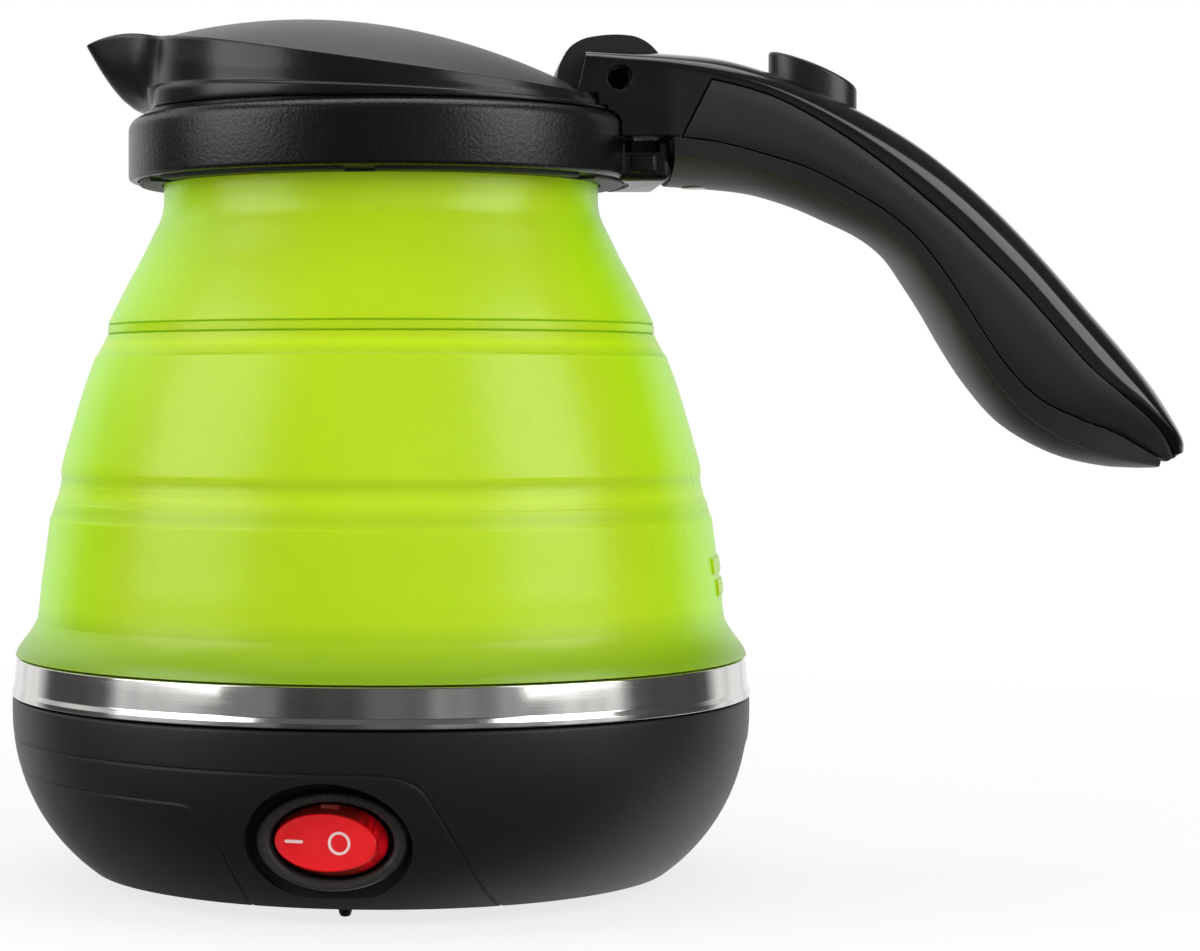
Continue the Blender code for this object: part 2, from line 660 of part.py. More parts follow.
def around(radius, turn, height=0.0):
    """The point at a radius from the kettle's axis, at an angle in degrees."""
    angle = math.radians(turn)
    return Vector((radius * math.cos(angle), radius * math.sin(angle), height))


def fastening_turns():
    """The angles of the feet, and of the screws halfway between them."""
    pitch = 360 / FASTENING_COUNT
    feet = [FIRST_FOOT_TURN + pitch * index for index in range(FASTENING_COUNT)]
    screws = [turn + pitch / 2 for turn in feet]
    return feet, screws


def carry(pieces, name, place, turn=0.0):
    """Parent pieces to an empty that sits on their joint's axis, without moving them."""
    pivot = bpy.data.objects.new(name, None)
    pivot.matrix_world = Matrix.Translation(place) @ Matrix.Rotation(turn, 4, "Z")
    KETTLE.objects.link(pivot)
    bpy.context.view_layer.update()
    for piece in pieces:
        piece.parent = pivot
        piece.matrix_parent_inverse = pivot.matrix_world.inverted()
    return pivot


def screw_piece(name, place, length, finish=ZINC):
    """A pan-head screw pointing up from a place at the underside of its head."""
    x, y, z = place
    outline = [
        (0, z + length), (SCREW_RADIUS, z + length), (SCREW_RADIUS, z),
        (SCREW_HEAD_RADIUS, z), (SCREW_HEAD_RADIUS, z - SCREW_HEAD_HEIGHT), (0, z - SCREW_HEAD_HEIGHT),
    ]
    obj = solid_turned(name, outline, finish, steps=SMALL_STEPS, place=(x, y, 0))
    half = SCREW_HEAD_RADIUS * SCREW_SLOT_SHARE
    thick = SCREW_SLOT / 2
    low = z - SCREW_HEAD_HEIGHT - OVERRUN
    high = z - SCREW_HEAD_HEIGHT + SCREW_SLOT
    cut(obj, box(name + "_slot", (x - half, y - thick, low), (x + half, y + thick, high)))
    return obj


def screw_passage(name, place, length, head_depth):
    """The hole for a screw: a shank bore with a counterbore for its head, open downwards."""
    x, y, z = place
    bore = SCREW_RADIUS + GAP
    head = SCREW_HEAD_RADIUS + GAP
    low = z - head_depth
    outline = [(0, z + length), (bore, z + length), (bore, z), (head, z), (head, low), (0, low)]
    return solid_turned(name, outline, steps=SMALL_STEPS, place=(x, y, 0))


# Base housing and bottom cover

def bowl_radius(height, inset=0.0):
    """Radius of the bowl's outer face at a height, or of a face parallel to it inside."""
    curve = BOWL_CURVE - inset
    drop = max(0.0, BOWL_SHOULDER - height)
    return BASE_RADIUS - BOWL_CURVE + math.sqrt(curve * curve - drop * drop)


def bowl_side(low, high, inset=0.0):
    heights = [high + (low - high) * step / BOWL_STEPS for step in range(BOWL_STEPS + 1)]
    return [(bowl_radius(height, inset), height) for height in heights]


def bowl_solid(name, inset):
    """The space that the bowl fills, a little inside its outer face."""
    side = bowl_side(HOUSING_RIM, BOWL_SHOULDER, inset)
    return solid_turned(name, [(0, BOWL_SHOULDER), *side, (0, HOUSING_RIM)])


def make_base_housing():
    top = BASE_TOP - GAP
    inner_top = BASE_RADIUS - HOUSING_WALL
    opening = COVER_RADIUS + GAP
    outer = bowl_side(HOUSING_RIM, BOWL_SHOULDER)
    inner = bowl_side(HOUSING_FLOOR_TOP, BOWL_SHOULDER, HOUSING_WALL)
    edge = rounded([(inner_top, top), (BASE_RADIUS, top, HOUSING_EDGE), outer[0]], closed=False)[:-1]
    outline = [*edge, *outer, (opening, HOUSING_RIM), (opening, HOUSING_FLOOR_TOP), *reversed(inner)]
    housing = turned("base_housing", outline, BLACK_MATTE)
    add_bosses(housing)
    add_switch_pocket(housing)
    add_inlet_recess(housing)
    return housing


def add_bosses(housing):
    """Three bosses, ribbed to the wall, which the cover and the pan's studs are screwed to."""
    low = COVER_TOP + GAP
    rib_end = bowl_radius(low) - HOUSING_WALL / 2
    for index, turn in enumerate(fastening_turns()[1], start=1):
        centre = around(BOSS_CIRCLE, turn)
        base = centre + Vector((0, 0, low))
        top = centre + Vector((0, 0, BOSS_TOP))
        boss = cylinder(f"boss_{index}", BOSS_RADIUS, base, top)
        rib_top = BOSS_TOP - BOSS_RIB_DROP
        rib = box(f"boss_rib_{index}", (BOSS_CIRCLE, -BOSS_RIB / 2, low), (rib_end, BOSS_RIB / 2, rib_top))
        rib.rotation_euler.z = math.radians(turn)
        joined(housing, boss, rib)
        under = base - Vector((0, 0, OVERRUN))
        over = top + Vector((0, 0, OVERRUN))
        cut(housing, cylinder(f"boss_bore_{index}", SCREW_RADIUS + GAP, under, over))


def switch_place():
    """Where the switch panel's own frame sits: its origin is the centre of the pocket's floor."""
    centre = around(SWITCH_DEPTH_RADIUS, SWITCH_TURN - 90, SWITCH_HEIGHT)
    return Matrix.Translation(centre) @ Matrix.Rotation(math.radians(SWITCH_TURN), 4, "Z")


def on_switch_panel(obj):
    obj.matrix_world = switch_place()
    return obj


def add_switch_pocket(housing):
    """An oval pocket with an upright floor, walled inside the bowl."""
    out = BASE_RADIUS - SWITCH_DEPTH_RADIUS + OVERRUN
    wall = POCKET_WALL
    lump = flat_piece(
        "pocket_lump", oval(POCKET_HALF_LENGTH + wall, POCKET_HALF_HEIGHT + wall), -out, HOUSING_WALL)
    on_switch_panel(lump)
    kept_inside(lump, bowl_solid("pocket_limit", HOUSING_WALL / 3))
    joined(housing, lump)
    pocket = flat_piece("pocket", oval(POCKET_HALF_LENGTH, POCKET_HALF_HEIGHT), -out, 0)
    half_length = SWITCH_BODY_HALF_LENGTH + GAP
    half_height = SWITCH_BODY_HALF_HEIGHT + GAP
    low = (-half_length, -OVERRUN, -half_height)
    through = box("switch_hole", low, (half_length, HOUSING_WALL + OVERRUN, half_height))
    cut(housing, on_switch_panel(pocket), on_switch_panel(through))


def inlet_outline(margin):
    """The inlet's outline in (y, z), with its corners rounded."""
    width = INLET_HALF_WIDTH + margin
    height = INLET_HALF_HEIGHT + margin
    top = INLET_HEIGHT + height
    low = INLET_HEIGHT - height
    corner = INLET_CORNER
    return rounded([(-width, top, corner), (width, top, corner), (width, low, corner), (-width, low, corner)])


def inlet_block(name, margin, near, far, finish=None):
    """A rounded block along X with the inlet's outline."""
    obj = flat_piece(name, inlet_outline(margin), near, far, finish)
    obj.data.transform(Matrix.Rotation(math.pi / 2, 4, "Z"))
    obj.data.transform(Matrix.Diagonal((-1, 1, 1, 1)))
    obj.data.flip_normals()
    return obj


def add_inlet_recess(housing):
    """A tunnel through the bowl, walled on all sides, with the inlet at its end."""
    out = BASE_RADIUS + OVERRUN
    back = INLET_FACE - HOUSING_WALL
    lump = inlet_block("recess_lump", GAP + INLET_BOSS_WALL, back, out)
    kept_inside(lump, bowl_solid("recess_limit", HOUSING_WALL / 3))
    joined(housing, lump)
    cut(housing, inlet_block("recess", GAP, back - OVERRUN * 2, out))


def make_bottom_cover():
    land = LAND_RADIUS + LAND_RISE
    outline = [
        (0, COVER_TOP), (COVER_RADIUS, COVER_TOP), (COVER_RADIUS, LAND_RISE), (land, LAND_RISE),
        (LAND_RADIUS, 0), (0, 0),
    ]
    cover = solid_turned("bottom_cover", outline, BLACK_MATTE)
    feet, screws = fastening_turns()
    pocket_top = LAND_RISE + FOOT_POCKET
    for index, turn in enumerate(feet, start=1):
        top = around(FOOT_CIRCLE, turn, pocket_top)
        below = around(FOOT_CIRCLE, turn, -OVERRUN)
        cut(cover, cylinder(f"foot_pocket_{index}", FOOT_RADIUS + GAP, below, top))
        make_foot(index, turn, pocket_top - GAP)
    for index, turn in enumerate(screws, start=1):
        seat = around(BOSS_CIRCLE, turn, LAND_RISE + SCREW_HEAD_HEIGHT / 2)
        cut(cover, screw_passage(f"cover_bore_{index}", seat, COVER_TOP + OVERRUN, SCREW_HEAD_HEIGHT + OVERRUN))
        place = seat - Vector((0, 0, GAP))
        screw_piece(f"cover_screw_{index}", place, COVER_SCREW_TOP - seat.z)
    return cover


def make_foot(index, turn, top):
    """A rubber nub: a disc pressed into the cover, then a waist that tapers to a round tip."""
    outline = rounded([
        (0, top), (FOOT_RADIUS, top), (FOOT_RADIUS, LAND_RISE / 2, FOOT_POCKET / 2), (FOOT_WAIST, 0),
        ((FOOT_WAIST + FOOT_TIP) / 2, -FOOT_REACH / 2), (FOOT_TIP, -FOOT_REACH, FOOT_TIP / 2), (0, -FOOT_REACH),
    ], closed=False, steps=HIDDEN_FILLET_STEPS)
    x, y, _ = around(FOOT_CIRCLE, turn)
    return solid_turned(f"foot_{index}", outline, RUBBER, steps=SMALL_STEPS, place=(x, y, 0))


# Steel parts between the base and the silicone

def make_steel_band():
    shelf_top = BASE_TOP + BAND_LIP
    inner = BAND_TOP_RADIUS - BAND_WALL
    outline = rounded([
        (inner, BAND_TOP), (BAND_TOP_RADIUS, BAND_TOP, BAND_WALL / 4), (BAND_FOOT_RADIUS, shelf_top + BAND_LIP),
        (BAND_LIP_RADIUS, shelf_top - BAND_LIP / 3), (BAND_LIP_RADIUS, BASE_TOP),
        (inner - BAND_SHELF, BASE_TOP), (inner - BAND_SHELF, shelf_top), (inner, shelf_top),
    ])
    return turned("steel_band", outline, STEEL)


def pan_flange_radius():
    return BAND_TOP_RADIUS - BAND_WALL - GAP


def make_heating_pan():
    """A pressed pan: floor, upright wall and a flange between the band's shelf and the silicone."""
    flange_low = BASE_TOP + BAND_LIP + GAP
    flange_top = flange_low + PAN_WALL
    floor_low = PAN_FLOOR - PAN_WALL
    inner = PAN_RADIUS - PAN_WALL
    outline = rounded([
        (0, PAN_FLOOR), (inner, PAN_FLOOR, PAN_CORNER), (inner, flange_top, PAN_WALL / 2),
        (pan_flange_radius(), flange_top), (pan_flange_radius(), flange_low), (PAN_RADIUS, flange_low),
        (PAN_RADIUS, floor_low, PAN_CORNER), (0, floor_low),
    ], closed=False, steps=HIDDEN_FILLET_STEPS)
    pan = solid_turned("heating_pan", outline, STEEL)
    for index, turn in enumerate(fastening_turns()[1], start=1):
        low = around(BOSS_CIRCLE, turn, BOSS_TOP + GAP)
        top = around(BOSS_CIRCLE, turn, PAN_FLOOR - PAN_WALL / 2)
        joined(pan, cylinder(f"stud_{index}", PAN_STUD_RADIUS, low, top))
        bore_top = around(BOSS_CIRCLE, turn, COVER_SCREW_TOP + GAP)
        below = low - Vector((0, 0, OVERRUN))
        cut(pan, cylinder(f"stud_bore_{index}", SCREW_RADIUS + GAP, below, bore_top))
    return pan


def make_clamp_ring():
    """An inner ring that presses the silicone's foot down: a flange with a skirt inside the pan."""
    top = BEAD_STEP + GAP + CLAMP_FLANGE
    flange_low = BEAD_STEP + GAP
    outer = PAN_RADIUS - PAN_WALL - GAP
    inner = outer - CLAMP_SKIRT
    low = PAN_FLOOR + PAN_CORNER
    reach = silicone_sides()[1][0].x - GAP
    outline = rounded([
        (inner, top, CLAMP_FLANGE / 2), (reach, top), (reach, flange_low), (outer, flange_low),
        (outer, low), (inner, low),
    ], steps=HIDDEN_FILLET_STEPS)
    return turned("clamp_ring", outline, STEEL)


# Silicone body

def blended(values, position):
    """A Catmull-Rom value through a list, at a position counted in list steps."""
    last = len(values) - 1
    index = min(int(position), last - 1)
    share = position - index
    a, b, c, d = (values[max(0, min(last, index + offset))] for offset in (-1, 0, 1, 2))
    first = b * 2
    second = (c - a) * share
    third = (a * 2 - b * 5 + c * 4 - d) * share * share
    fourth = (b * 3 - a - c * 3 + d) * share * share * share
    return (first + second + third + fourth) / 2


def wall_thickness(height_share):
    for low, high in FOLD_SHARES:
        if low < height_share < high:
            return FOLD_THICKNESS
    return WALL_THICKNESS


def silicone_sides():
    """The wall's outer points from foot to neck, and the inner points straight across from them."""
    wide = BASE_RADIUS - NECK_RADIUS
    outer = [Vector((NECK_RADIUS + wide * out, WALL_FOOT + WALL_HEIGHT * up)) for out, up in WALL_SHARES]
    inner = []
    for index in range(FIRST_INNER_POINT, len(outer), INNER_POINT_STEP):
        along = (outer[min(index + 1, len(outer) - 1)] - outer[index - 1]).normalized()
        inner.append(outer[index] - Vector((along.y, -along.x)) * wall_thickness(WALL_SHARES[index][1]))
    return outer, inner


def make_silicone_body():
    outer, inner = silicone_sides()
    bead = pan_flange_radius()
    bore = PAN_RADIUS - PAN_WALL
    neck = outer[-1].x
    foot = outer[0].x
    outline = [
        (NECK_BORE, NECK_FLANGE_TOP), (NECK_FLANGE_RADIUS, NECK_FLANGE_TOP),
        (NECK_FLANGE_RADIUS, NECK_FLANGE_LOW), (neck, NECK_FLANGE_LOW),
        *reversed(outer), (foot - FOOT_FLANGE, WALL_FOOT), (bead, WALL_FOOT), (bead, BEAD_SEAT),
        (bore, BEAD_SEAT), (bore, BEAD_STEP), (inner[0].x, BEAD_STEP), *inner,
    ]
    return turned("silicone_body", outline, LIME_SILICONE)


# Collar and what holds the silicone's neck

def make_retaining_ring():
    inner = NECK_RADIUS + GAP
    outline = rounded([
        (inner, NECK_FLANGE_LOW - GAP), (RETAINER_RADIUS, NECK_FLANGE_LOW - GAP),
        (RETAINER_RADIUS, RETAINER_LOW, COLLAR_EDGE / 2), (inner, RETAINER_LOW),
    ], steps=HIDDEN_FILLET_STEPS)
    ring = turned("retaining_ring", outline, BLACK_MATTE)
    half = RETAINER_NOTCH / 2
    for index in range(RETAINER_NOTCH_COUNT):
        notch = box(
            f"retainer_notch_{index}", (inner + GAP * 2, -half, RETAINER_LOW - OVERRUN),
            (RETAINER_RADIUS + OVERRUN, half, RETAINER_LOW + RETAINER_NOTCH_DEPTH))
        notch.rotation_euler.z = math.radians(FIRST_NOTCH_TURN + 360 * index / RETAINER_NOTCH_COUNT)
        cut(ring, notch)
    return ring


def collar_outline(margin=0.0):
    """Outer side of the collar, top to bottom."""
    radius = COLLAR_RADIUS + margin
    top = COLLAR_TOP + margin
    return rounded([
        (radius - COLLAR_SHOULDER, top), (radius, top, COLLAR_SHOULDER),
        (radius, COLLAR_LOW, COLLAR_EDGE), (radius - COLLAR_WALL, COLLAR_LOW),
    ], closed=False)


def make_collar():
    shelf_low = NECK_FLANGE_TOP + GAP
    shelf_top = shelf_low + SHELF_THICKNESS
    inner = COLLAR_RADIUS - COLLAR_WALL
    ring_seat = RING_SKIRT_RADIUS + GAP
    outline = [
        (ring_seat, COLLAR_TOP), *collar_outline(), (inner, shelf_low), (NECK_BORE, shelf_low),
        (NECK_BORE, shelf_top), (ring_seat, shelf_top),
    ]
    collar = turned("collar", outline, BLACK_GRAIN)
    add_lug(collar)
    relief_low = (HINGE_X - TONGUE_SWING, -KNUCKLE_HALF_WIDTH - GAP, HINGE_Z - KNUCKLE_RADIUS)
    relief_high = (COLLAR_RADIUS + OVERRUN, KNUCKLE_HALF_WIDTH + GAP, COLLAR_TOP + OVERRUN)
    cut(collar, box("knuckle_relief", relief_low, relief_high))
    return collar


def add_lug(collar):
    """The lug under the hinge block, with a window on each side and a tenon into the handle."""
    top = handle_point(SEAM, 2).y - GAP
    lug = box("lug", (RETAINER_RADIUS - OVERRUN, -LUG_HALF_WIDTH, LUG_LOW), (LUG_REACH, LUG_HALF_WIDTH, top))
    softened(lug, LUG_CORNER)
    root = (LUG_REACH - OVERRUN, -TENON_HALF_WIDTH, TENON_LOW)
    joined(lug, box("tenon", root, (TENON_REACH, TENON_HALF_WIDTH, TENON_TOP)))
    inner = COLLAR_RADIUS - COLLAR_WALL / 2
    core = [(0, top + OVERRUN), (inner, top + OVERRUN), (inner, LUG_LOW - OVERRUN), (0, LUG_LOW - OVERRUN)]
    cut(lug, solid_turned("lug_core", core))
    for side in (-1, 1):
        near = side * (LUG_HALF_WIDTH - WINDOW_DEPTH)
        far = side * (LUG_HALF_WIDTH + OVERRUN)
        low = (WINDOW_START, min(near, far), WINDOW_LOW)
        high = (WINDOW_END, max(near, far), top + OVERRUN)
        cut(lug, box(f"lug_window_{side + 2}", low, high))
    joined(collar, lug)
    place = Vector((HINGE_X + SHELL_SCREW_REACHES[0], 0, TENON_LOW))
    below = place - Vector((0, 0, OVERRUN))
    above = place + Vector((0, 0, TENON_TOP - TENON_LOW + OVERRUN))
    cut(collar, cylinder("tenon_bore", SCREW_RADIUS + GAP, below, above))


# Spout ring

def rim_fall(x):
    """How far the rim lies above or below its height on the kettle's axis."""
    return x * x / (2 * RIM_SWEEP_RADIUS) - x * RIM_FALL_SHARE


def laid(x, height):
    """Height of a moulding line of the ring, which fans out from the collar to the rim."""
    share = max(0.0, min(1.0, (height - COLLAR_TOP) / (RING_RIM - COLLAR_TOP)))
    nose = max(0.0, -x - RING_RIM_RADIUS)
    return height + (rim_fall(x) - nose * nose / BEAK_DROOP_RADIUS) * share


def beak_radius(root, reach, turn):
    """Radius of the beak's side at an angle from its middle, from its root to its nose."""
    if abs(turn) >= BEAK_HALF_TURN or reach <= root:
        return root
    half = math.radians(BEAK_HALF_TURN)
    away = math.radians(math.hypot(turn, BEAK_NOSE_TURN * (1 - abs(turn) / BEAK_HALF_TURN)))
    away = min(away, half)
    return reach * root * math.sin(half) / (reach * math.sin(away) + root * math.sin(half - away))


def beak_reach(height):
    """How far the beak's nose reaches at a height, from the ring's bead to the rim."""
    share = (height - RING_BEAD_LOW) / (RING_RIM - RING_BEAD_LOW)
    share = max(0.0, min(1.0, share))
    return RING_WALL_RADIUS + (BEAK_REACH - RING_WALL_RADIUS) * share ** BEAK_FLARE_SHARE


def ring_section(turn):
    """The ring's closed section at an angle in degrees, from its inner rim over and down outside."""
    from_beak = turn % 360 - 180
    shelf = NECK_FLANGE_TOP + GAP + SHELF_THICKNESS + GAP
    rim_low = RING_RIM - RIM_BEVEL
    middle = (RING_BEAD_TOP + rim_low) / 2
    outer = [
        (RING_RIM_RADIUS - RIM_BEVEL, RING_RIM), (RING_RIM_RADIUS, rim_low),
        ((RING_RIM_RADIUS + RING_WALL_RADIUS) / 2, middle + (rim_low - middle) / 2),
        (RING_WALL_RADIUS, middle), (RING_WALL_RADIUS, RING_BEAD_TOP),
        (RING_BEAD_RADIUS, RING_BEAD_TOP - RIM_BEVEL), (RING_BEAD_RADIUS, RING_BEAD_LOW + RIM_BEVEL),
        (RING_SKIRT_RADIUS, RING_BEAD_LOW), (RING_SKIRT_RADIUS, shelf),
    ]
    inner = [(RING_BORE, shelf), (RING_BORE, RING_BEAD_TOP), (RING_BORE, middle), (RING_BORE, RING_RIM)]
    direction = around(1.0, turn)
    section = []
    for radius, height in outer:
        spread = beak_radius(radius, beak_reach(height), from_beak)
        section.append(direction * spread)
        section[-1].z = laid(section[-1].x, height)
    for radius, height in inner:
        spread = max(radius, beak_radius(radius, beak_reach(height) - BEAK_WALL, from_beak))
        section.append(direction * spread)
        section[-1].z = laid(section[-1].x, height)
    return section


def make_spout_ring():
    beak = [180 + BEAK_HALF_TURN * step / BEAK_COLUMNS for step in range(-BEAK_COLUMNS, BEAK_COLUMNS)]
    rest = 360 - 2 * BEAK_HALF_TURN
    others = [180 + BEAK_HALF_TURN + rest * step / RING_COLUMNS for step in range(RING_COLUMNS)]
    ring = loft("spout_ring", [ring_section(turn) for turn in beak + others], BLACK_SATIN, wrapped=True)
    half = KNUCKLE_HALF_WIDTH + GAP
    end = (RING_BEAD_RADIUS + OVERRUN, half, RING_RIM + OVERRUN)
    notch = box("hinge_notch", (LID_CHORD, -half, HINGE_Z - KNUCKLE_BARREL - GAP), end)
    bead = box("sweep_notch", (HINGE_X - TONGUE_SWING, -half, HINGE_Z - KNUCKLE_RADIUS - OVERRUN), end)
    cut(ring, notch, bead)
    return ring


# Lid

def follow_rim(obj):
    """Lay a turned piece of the lid along the falling rim."""
    for vertex in frozen(obj).data.vertices:
        vertex.co.z += rim_fall(vertex.co.x)
    shade(obj.data)
    return obj


def sector(radius, hub, first, last):
    """Side view of a sector about the pin between two angles, from a hub to an outer radius."""
    centre = (HINGE_X, HINGE_Z)
    outside = arc(centre, radius, first, last, KNUCKLE_STEPS)
    return outside + arc(centre, hub, last, first, KNUCKLE_STEPS)


def knuckle_outline():
    """Side view of the knuckle: an arch over the pin, flattened on top, with a barrel round it."""
    centre = Vector((HINGE_X, HINGE_Z))
    circle = arc(centre, KNUCKLE_RADIUS, KNUCKLE_FIRST_TURN, KNUCKLE_LAST_TURN, KNUCKLE_STEPS)
    arch = [centre + (Vector(point) - centre) * share for point, share in zip(circle, KNUCKLE_ARCH_SHARES)]
    barrel = arc(centre, KNUCKLE_BARREL, KNUCKLE_LAST_TURN, KNUCKLE_FIRST_TURN - 360, KNUCKLE_STEPS)
    return arch + barrel


def make_knuckle():
    """The arch, notched in the middle for the button's finger, and the tongue which that presses."""
    knuckle = flat_piece("knuckle", knuckle_outline(), -KNUCKLE_HALF_WIDTH, KNUCKLE_HALF_WIDTH)
    notch = sector(KNUCKLE_RADIUS + OVERRUN, KNUCKLE_BARREL, FINGER_NOTCH_TURN, TONGUE_LOW_TURN)
    half = FINGER_HALF_WIDTH + BUTTON_CLEARANCE
    cut(knuckle, flat_piece("finger_notch", notch, -half, half))
    tongue = sector(KNUCKLE_RADIUS, HINGE_PIN_RADIUS, TONGUE_TOP_TURN, TONGUE_LOW_TURN)
    joined(knuckle, flat_piece("knuckle_tongue", tongue, -FINGER_HALF_WIDTH, FINGER_HALF_WIDTH))
    return knuckle


def make_lid():
    rest = RING_RIM + GAP
    edge = rest + LID_EDGE
    dome = [(0, edge + LID_RISE)]
    for step in range(1, LID_STEPS + 1):
        radius = LID_RADIUS * math.sin(math.pi / 2 * step / LID_STEPS)
        dome.append((radius, edge + LID_RISE * (1 - (radius / LID_RADIUS) ** 2)))
    plug_low = rest - LID_STEP - LID_PLUG_DROP
    plug_inner = LID_PLUG_RADIUS - LID_PLUG_WALL
    ceiling = [(radius, height - LID_WALL) for radius, height in dome if radius < plug_inner]
    outline = [
        *dome, (LID_RADIUS, rest), (RING_BORE - GAP, rest), (RING_BORE - GAP, rest - LID_STEP),
        (LID_PLUG_RADIUS, rest - LID_STEP), (LID_PLUG_RADIUS, plug_low), (plug_inner, plug_low),
        *reversed(ceiling),
    ]
    lid = follow_rim(solid_turned("lid", outline, BLACK_GRAIN))
    chord = box(
        "lid_chord", (LID_CHORD, -LID_CHORD_HALF_WIDTH, RING_RIM - LID_RADIUS),
        (LID_RADIUS + OVERRUN, LID_CHORD_HALF_WIDTH, RING_RIM + LID_RADIUS))
    cut(lid, chord)
    joined(lid, make_knuckle())
    reach = KNUCKLE_HALF_WIDTH + OVERRUN
    cut(lid, cylinder("knuckle_bore", HINGE_HOLE_RADIUS, (HINGE_X, -reach, HINGE_Z), (HINGE_X, reach, HINGE_Z)))
    post_top = edge + LID_RISE - LID_WALL / 2
    post_low = plug_low + BOSS_RADIUS * RIM_FALL_SHARE
    joined(lid, cylinder("lid_post", BOSS_RADIUS, (0, 0, post_low), (0, 0, post_top)))
    bore_top = plug_low + LID_SCREW_LENGTH
    cut(lid, cylinder("lid_post_bore", SCREW_RADIUS + GAP, (0, 0, plug_low - OVERRUN), (0, 0, bore_top)))
    return lid


def inner_lid_top():
    return RING_RIM - LID_STEP - LID_PLUG_DROP


def make_inner_lid():
    top = inner_lid_top()
    low = top - INNER_LID_THICKNESS
    outline = rounded([
        (0, top), (INNER_LID_RADIUS, top), (INNER_LID_RADIUS, low, INNER_LID_THICKNESS / 2), (0, low),
    ], closed=False, steps=HIDDEN_FILLET_STEPS)
    plate = follow_rim(solid_turned("inner_lid", outline, STEEL))
    cut(plate, cylinder("inner_lid_bore", SCREW_RADIUS + GAP, (0, 0, low - OVERRUN), (0, 0, top + OVERRUN)))
    return plate


def make_lid_seal():
    low = inner_lid_top() + GAP
    top = low + SEAL_HEIGHT
    inner = LID_PLUG_RADIUS + GAP
    corners = [(inner, top), (SEAL_RADIUS, top, GAP), (SEAL_RADIUS, low, GAP), (inner, low)]
    outline = rounded(corners, steps=HIDDEN_FILLET_STEPS)
    return follow_rim(turned("lid_seal", outline, CLEAR_SILICONE))


def make_lid_screw():
    seat = inner_lid_top() - INNER_LID_THICKNESS - GAP - SCREW_HEAD_RADIUS * RIM_FALL_SHARE
    return screw_piece("lid_screw", (0, 0, seat), LID_SCREW_LENGTH)


# Handle

def handle_value(column, part, position):
    values = [station[column][part] for station in STATION_SHARES]
    return blended(values, position)


def handle_point(column, position):
    """A point of one of the handle's side-view lines, as (x, z)."""
    x = HINGE_X + HANDLE_REACH * handle_value(column, 0, position)
    z = HANDLE_TOP - HANDLE_DROP * handle_value(column, 1, position)
    return Vector((x, z))


def handle_width(position):
    return HANDLE_HALF_WIDTH * blended([station[WIDTH] for station in STATION_SHARES], position)


def spots(first, last):
    """Positions along the handle, with the finer steps between its stations."""
    count = (last - first) * HANDLE_SUBSTEPS
    return [first + step / HANDLE_SUBSTEPS for step in range(count + 1)]


def as_space(point, y):
    return Vector((point.x, y, point.y))


def handle_ring(position):
    """The upper handle's section: an arched top from side to side, then straight sides and a flat seam."""
    width = handle_width(position)
    top = handle_point(TOP, position)
    side = handle_point(STRIP, position)
    seam = handle_point(SEAM, position)
    ring = []
    for step in range(-STRIP_ARC_STEPS, STRIP_ARC_STEPS + 1):
        turn = math.pi / 2 * step / STRIP_ARC_STEPS
        crown = side + (top - side) * math.cos(turn) ** STRIP_FULLNESS_SHARE
        ring.append(as_space(crown, width * math.sin(turn)))
    return ring + [as_space(seam, width), as_space(seam, -width)]


def make_handle_frame():
    last = len(STATION_SHARES) - 1
    frame = loft("handle_frame", [handle_ring(position) for position in spots(0, last)], BLACK_GLOSS)
    cut(frame, grip_pocket("grip_pocket_near", -1), grip_pocket("grip_pocket_far", 1))
    cut(frame, body_clearance(), knuckle_slot(), finger_passage(), button_hole())
    reach = HANDLE_HALF_WIDTH + OVERRUN
    cut(frame, cylinder("ear_bore", HINGE_HOLE_RADIUS, (HINGE_X, -reach, HINGE_Z), (HINGE_X, reach, HINGE_Z)))
    well = (BUTTON_X, 0, BUTTON_SPRING_LOW - GAP)
    cut(frame, cylinder("spring_well", SPRING_WELL_RADIUS, well, (BUTTON_X, 0, BUTTON_LOW)))
    return frame


def body_clearance():
    """The ring, the lid's edge and the collar with a little room round them."""
    side = collar_outline(GAP)
    over_bead = RING_BEAD_TOP + GAP
    rim = RING_RIM + GAP
    outline = [
        (0, rim), (RING_WALL_RADIUS + GAP, rim), (RING_WALL_RADIUS + GAP, over_bead),
        (RING_BEAD_RADIUS + GAP, over_bead), (RING_BEAD_RADIUS + GAP, COLLAR_TOP + GAP), *side[1:-1],
        (side[-2][0], LUG_LOW - OVERRUN), (0, LUG_LOW - OVERRUN),
    ]
    clearance = frozen(solid_turned("body_clearance", outline))
    for vertex in clearance.data.vertices:
        vertex.co.z = laid(vertex.co.x, vertex.co.z)
    return clearance


def knuckle_slot():
    """Room for the knuckle to swing, open to the lid and to the top."""
    centre = (HINGE_X, HINGE_Z)
    over = HANDLE_TOP + OVERRUN
    sweep = arc(centre, SLOT_RADIUS, 0, -90, KNUCKLE_STEPS)
    start = LID_CHORD - OVERRUN * 2
    outline = [(start, over), (HINGE_X + SLOT_RADIUS, over), *sweep, (start, HINGE_Z - SLOT_RADIUS)]
    return flat_piece("knuckle_slot", outline, -SLOT_HALF_WIDTH, SLOT_HALF_WIDTH)


